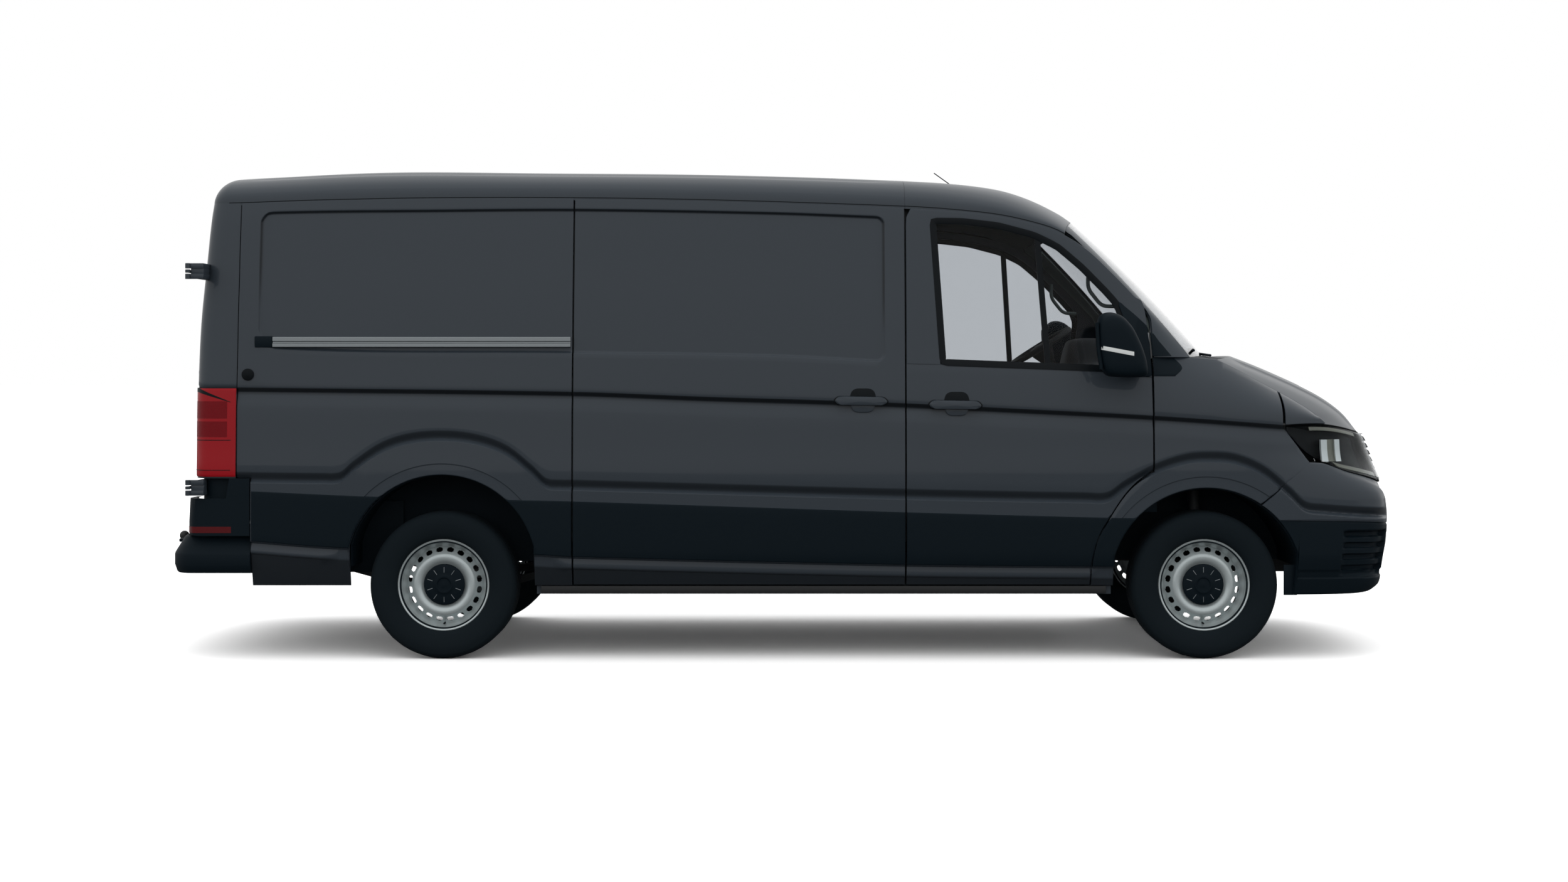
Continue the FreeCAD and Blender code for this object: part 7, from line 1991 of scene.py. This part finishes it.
class VanStage(bpy.types.PropertyGroup):
    """Floor and light round the van."""
    floor_size: FloatProperty(name="Floor", description="Half width of the floor", default=150.0,
                              min=10, unit="LENGTH")
    sky: FloatProperty(name="Sky", description="Strength of the even sky", default=1.15, min=0)
    key: FloatProperty(name="Lamp above", description="Power of the wide lamp overhead",
                       default=40.0, min=0, unit="POWER")


class BuildStep:
    """Shared settings of every step that builds pieces."""
    bl_options = {"REGISTER"}


class VAN_OT_finishes(BuildStep, bpy.types.Operator):
    """Make the finishes that the other steps use"""
    bl_idname = "van.finishes"
    bl_label = "Make finishes"

    def execute(self, context):
        finishes.update(make_materials(context.scene.van_finishes))
        return {"FINISHED"}


class VAN_OT_sides(BuildStep, bpy.types.Operator):
    """Build the sides, the sliding door and their cladding"""
    bl_idname = "van.sides"
    bl_label = "Build sides"

    def execute(self, context):
        build_sides()
        return {"FINISHED"}


class VAN_OT_cab_doors(BuildStep, bpy.types.Operator):
    """Build the cab doors"""
    bl_idname = "van.cab_doors"
    bl_label = "Build cab doors"

    def execute(self, context):
        build_doors()
        return {"FINISHED"}


class VAN_OT_wings(BuildStep, bpy.types.Operator):
    """Build the front wings and the bonnet"""
    bl_idname = "van.wings"
    bl_label = "Build wings and bonnet"

    def execute(self, context):
        build_wings()
        build_bonnet()
        return {"FINISHED"}


class VAN_OT_nose(BuildStep, bpy.types.Operator):
    """Build the bumpers, the grille and the headlamps"""
    bl_idname = "van.nose"
    bl_label = "Build nose"

    def execute(self, context):
        build_nose(context.scene.van_forms.slats)
        return {"FINISHED"}


class VAN_OT_roof(BuildStep, bpy.types.Operator):
    """Build the roofs"""
    bl_idname = "van.roof"
    bl_label = "Build roof"

    def execute(self, context):
        build_roof(context.scene.van_forms.rib_depth)
        return {"FINISHED"}


class VAN_OT_tail(BuildStep, bpy.types.Operator):
    """Build the rear corners, the rear doors, the lamps and the step bumper"""
    bl_idname = "van.tail"
    bl_label = "Build tail"

    def execute(self, context):
        build_tail()
        build_rear_bumper()
        return {"FINISHED"}


class VAN_OT_wheels(BuildStep, bpy.types.Operator):
    """Build the wheels and the tyres"""
    bl_idname = "van.wheels"
    bl_label = "Build wheels"

    def execute(self, context):
        forms = context.scene.van_forms
        build_wheels(forms.vents, forms.groove)
        return {"FINISHED"}


class VAN_OT_details(BuildStep, bpy.types.Operator):
    """Build the mirrors, the handles, the rail and the wipers"""
    bl_idname = "van.details"
    bl_label = "Build details"

    def execute(self, context):
        build_details()
        return {"FINISHED"}


class VAN_OT_glass(BuildStep, bpy.types.Operator):
    """Build the glass and the windscreen pillars"""
    bl_idname = "van.glass"
    bl_label = "Build glass"

    def execute(self, context):
        build_glass()
        return {"FINISHED"}


class VAN_OT_cab(BuildStep, bpy.types.Operator):
    """Build the seats and the trim of the cab"""
    bl_idname = "van.cab"
    bl_label = "Build cab"

    def execute(self, context):
        build_seats()
        build_cab()
        return {"FINISHED"}


class VAN_OT_frame_finishes(BuildStep, bpy.types.Operator):
    """Give the frame's own pieces that still show their finishes"""
    bl_idname = "van.frame_finishes"
    bl_label = "Finish the frame"

    def execute(self, context):
        dress()
        return {"FINISHED"}


class VAN_OT_stage(BuildStep, bpy.types.Operator):
    """Set up the floor, the light and the camera"""
    bl_idname = "van.stage"
    bl_label = "Set up the stage"

    def execute(self, context):
        stage = context.scene.van_stage
        build_stage(stage.floor_size, stage.sky, stage.key)
        return {"FINISHED"}


steps = (VAN_OT_finishes, VAN_OT_sides, VAN_OT_cab_doors, VAN_OT_wings, VAN_OT_nose, VAN_OT_roof,
         VAN_OT_tail, VAN_OT_wheels, VAN_OT_details, VAN_OT_glass, VAN_OT_cab,
         VAN_OT_frame_finishes, VAN_OT_stage)


class VAN_PT_panel(bpy.types.Panel):
    """Sizes, colours and steps of the van"""
    bl_idname = "VAN_PT_panel"
    bl_label = "Panel van"
    bl_space_type = "VIEW_3D"
    bl_region_type = "UI"
    bl_category = "Panel van"

    def draw(self, context):
        scene = context.scene
        for group in (scene.van_finishes, scene.van_forms, scene.van_stage):
            box = self.layout.box()
            for name in group.__annotations__:
                box.prop(group, name)
        for step in steps:
            self.layout.operator(step.bl_idname)


classes = (VanFinishes, VanForms, VanStage) + steps + (VAN_PT_panel,)


def register():
    """Registers the classes and hangs the settings on the scene."""
    for made in classes:
        bpy.utils.register_class(made)
    bpy.types.Scene.van_finishes = PointerProperty(type=VanFinishes)
    bpy.types.Scene.van_forms = PointerProperty(type=VanForms)
    bpy.types.Scene.van_stage = PointerProperty(type=VanStage)


def unregister():
    """Takes the settings and the classes away again."""
    for name in ("van_finishes", "van_forms", "van_stage"):
        delattr(bpy.types.Scene, name)
    for made in reversed(classes):
        bpy.utils.unregister_class(made)


def main():
    """Builds the van step by step."""
    register()
    for step in steps:
        group, name = step.bl_idname.split(".")
        getattr(getattr(bpy.ops, group), name)()
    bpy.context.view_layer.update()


if __name__ == "__main__":
    main()
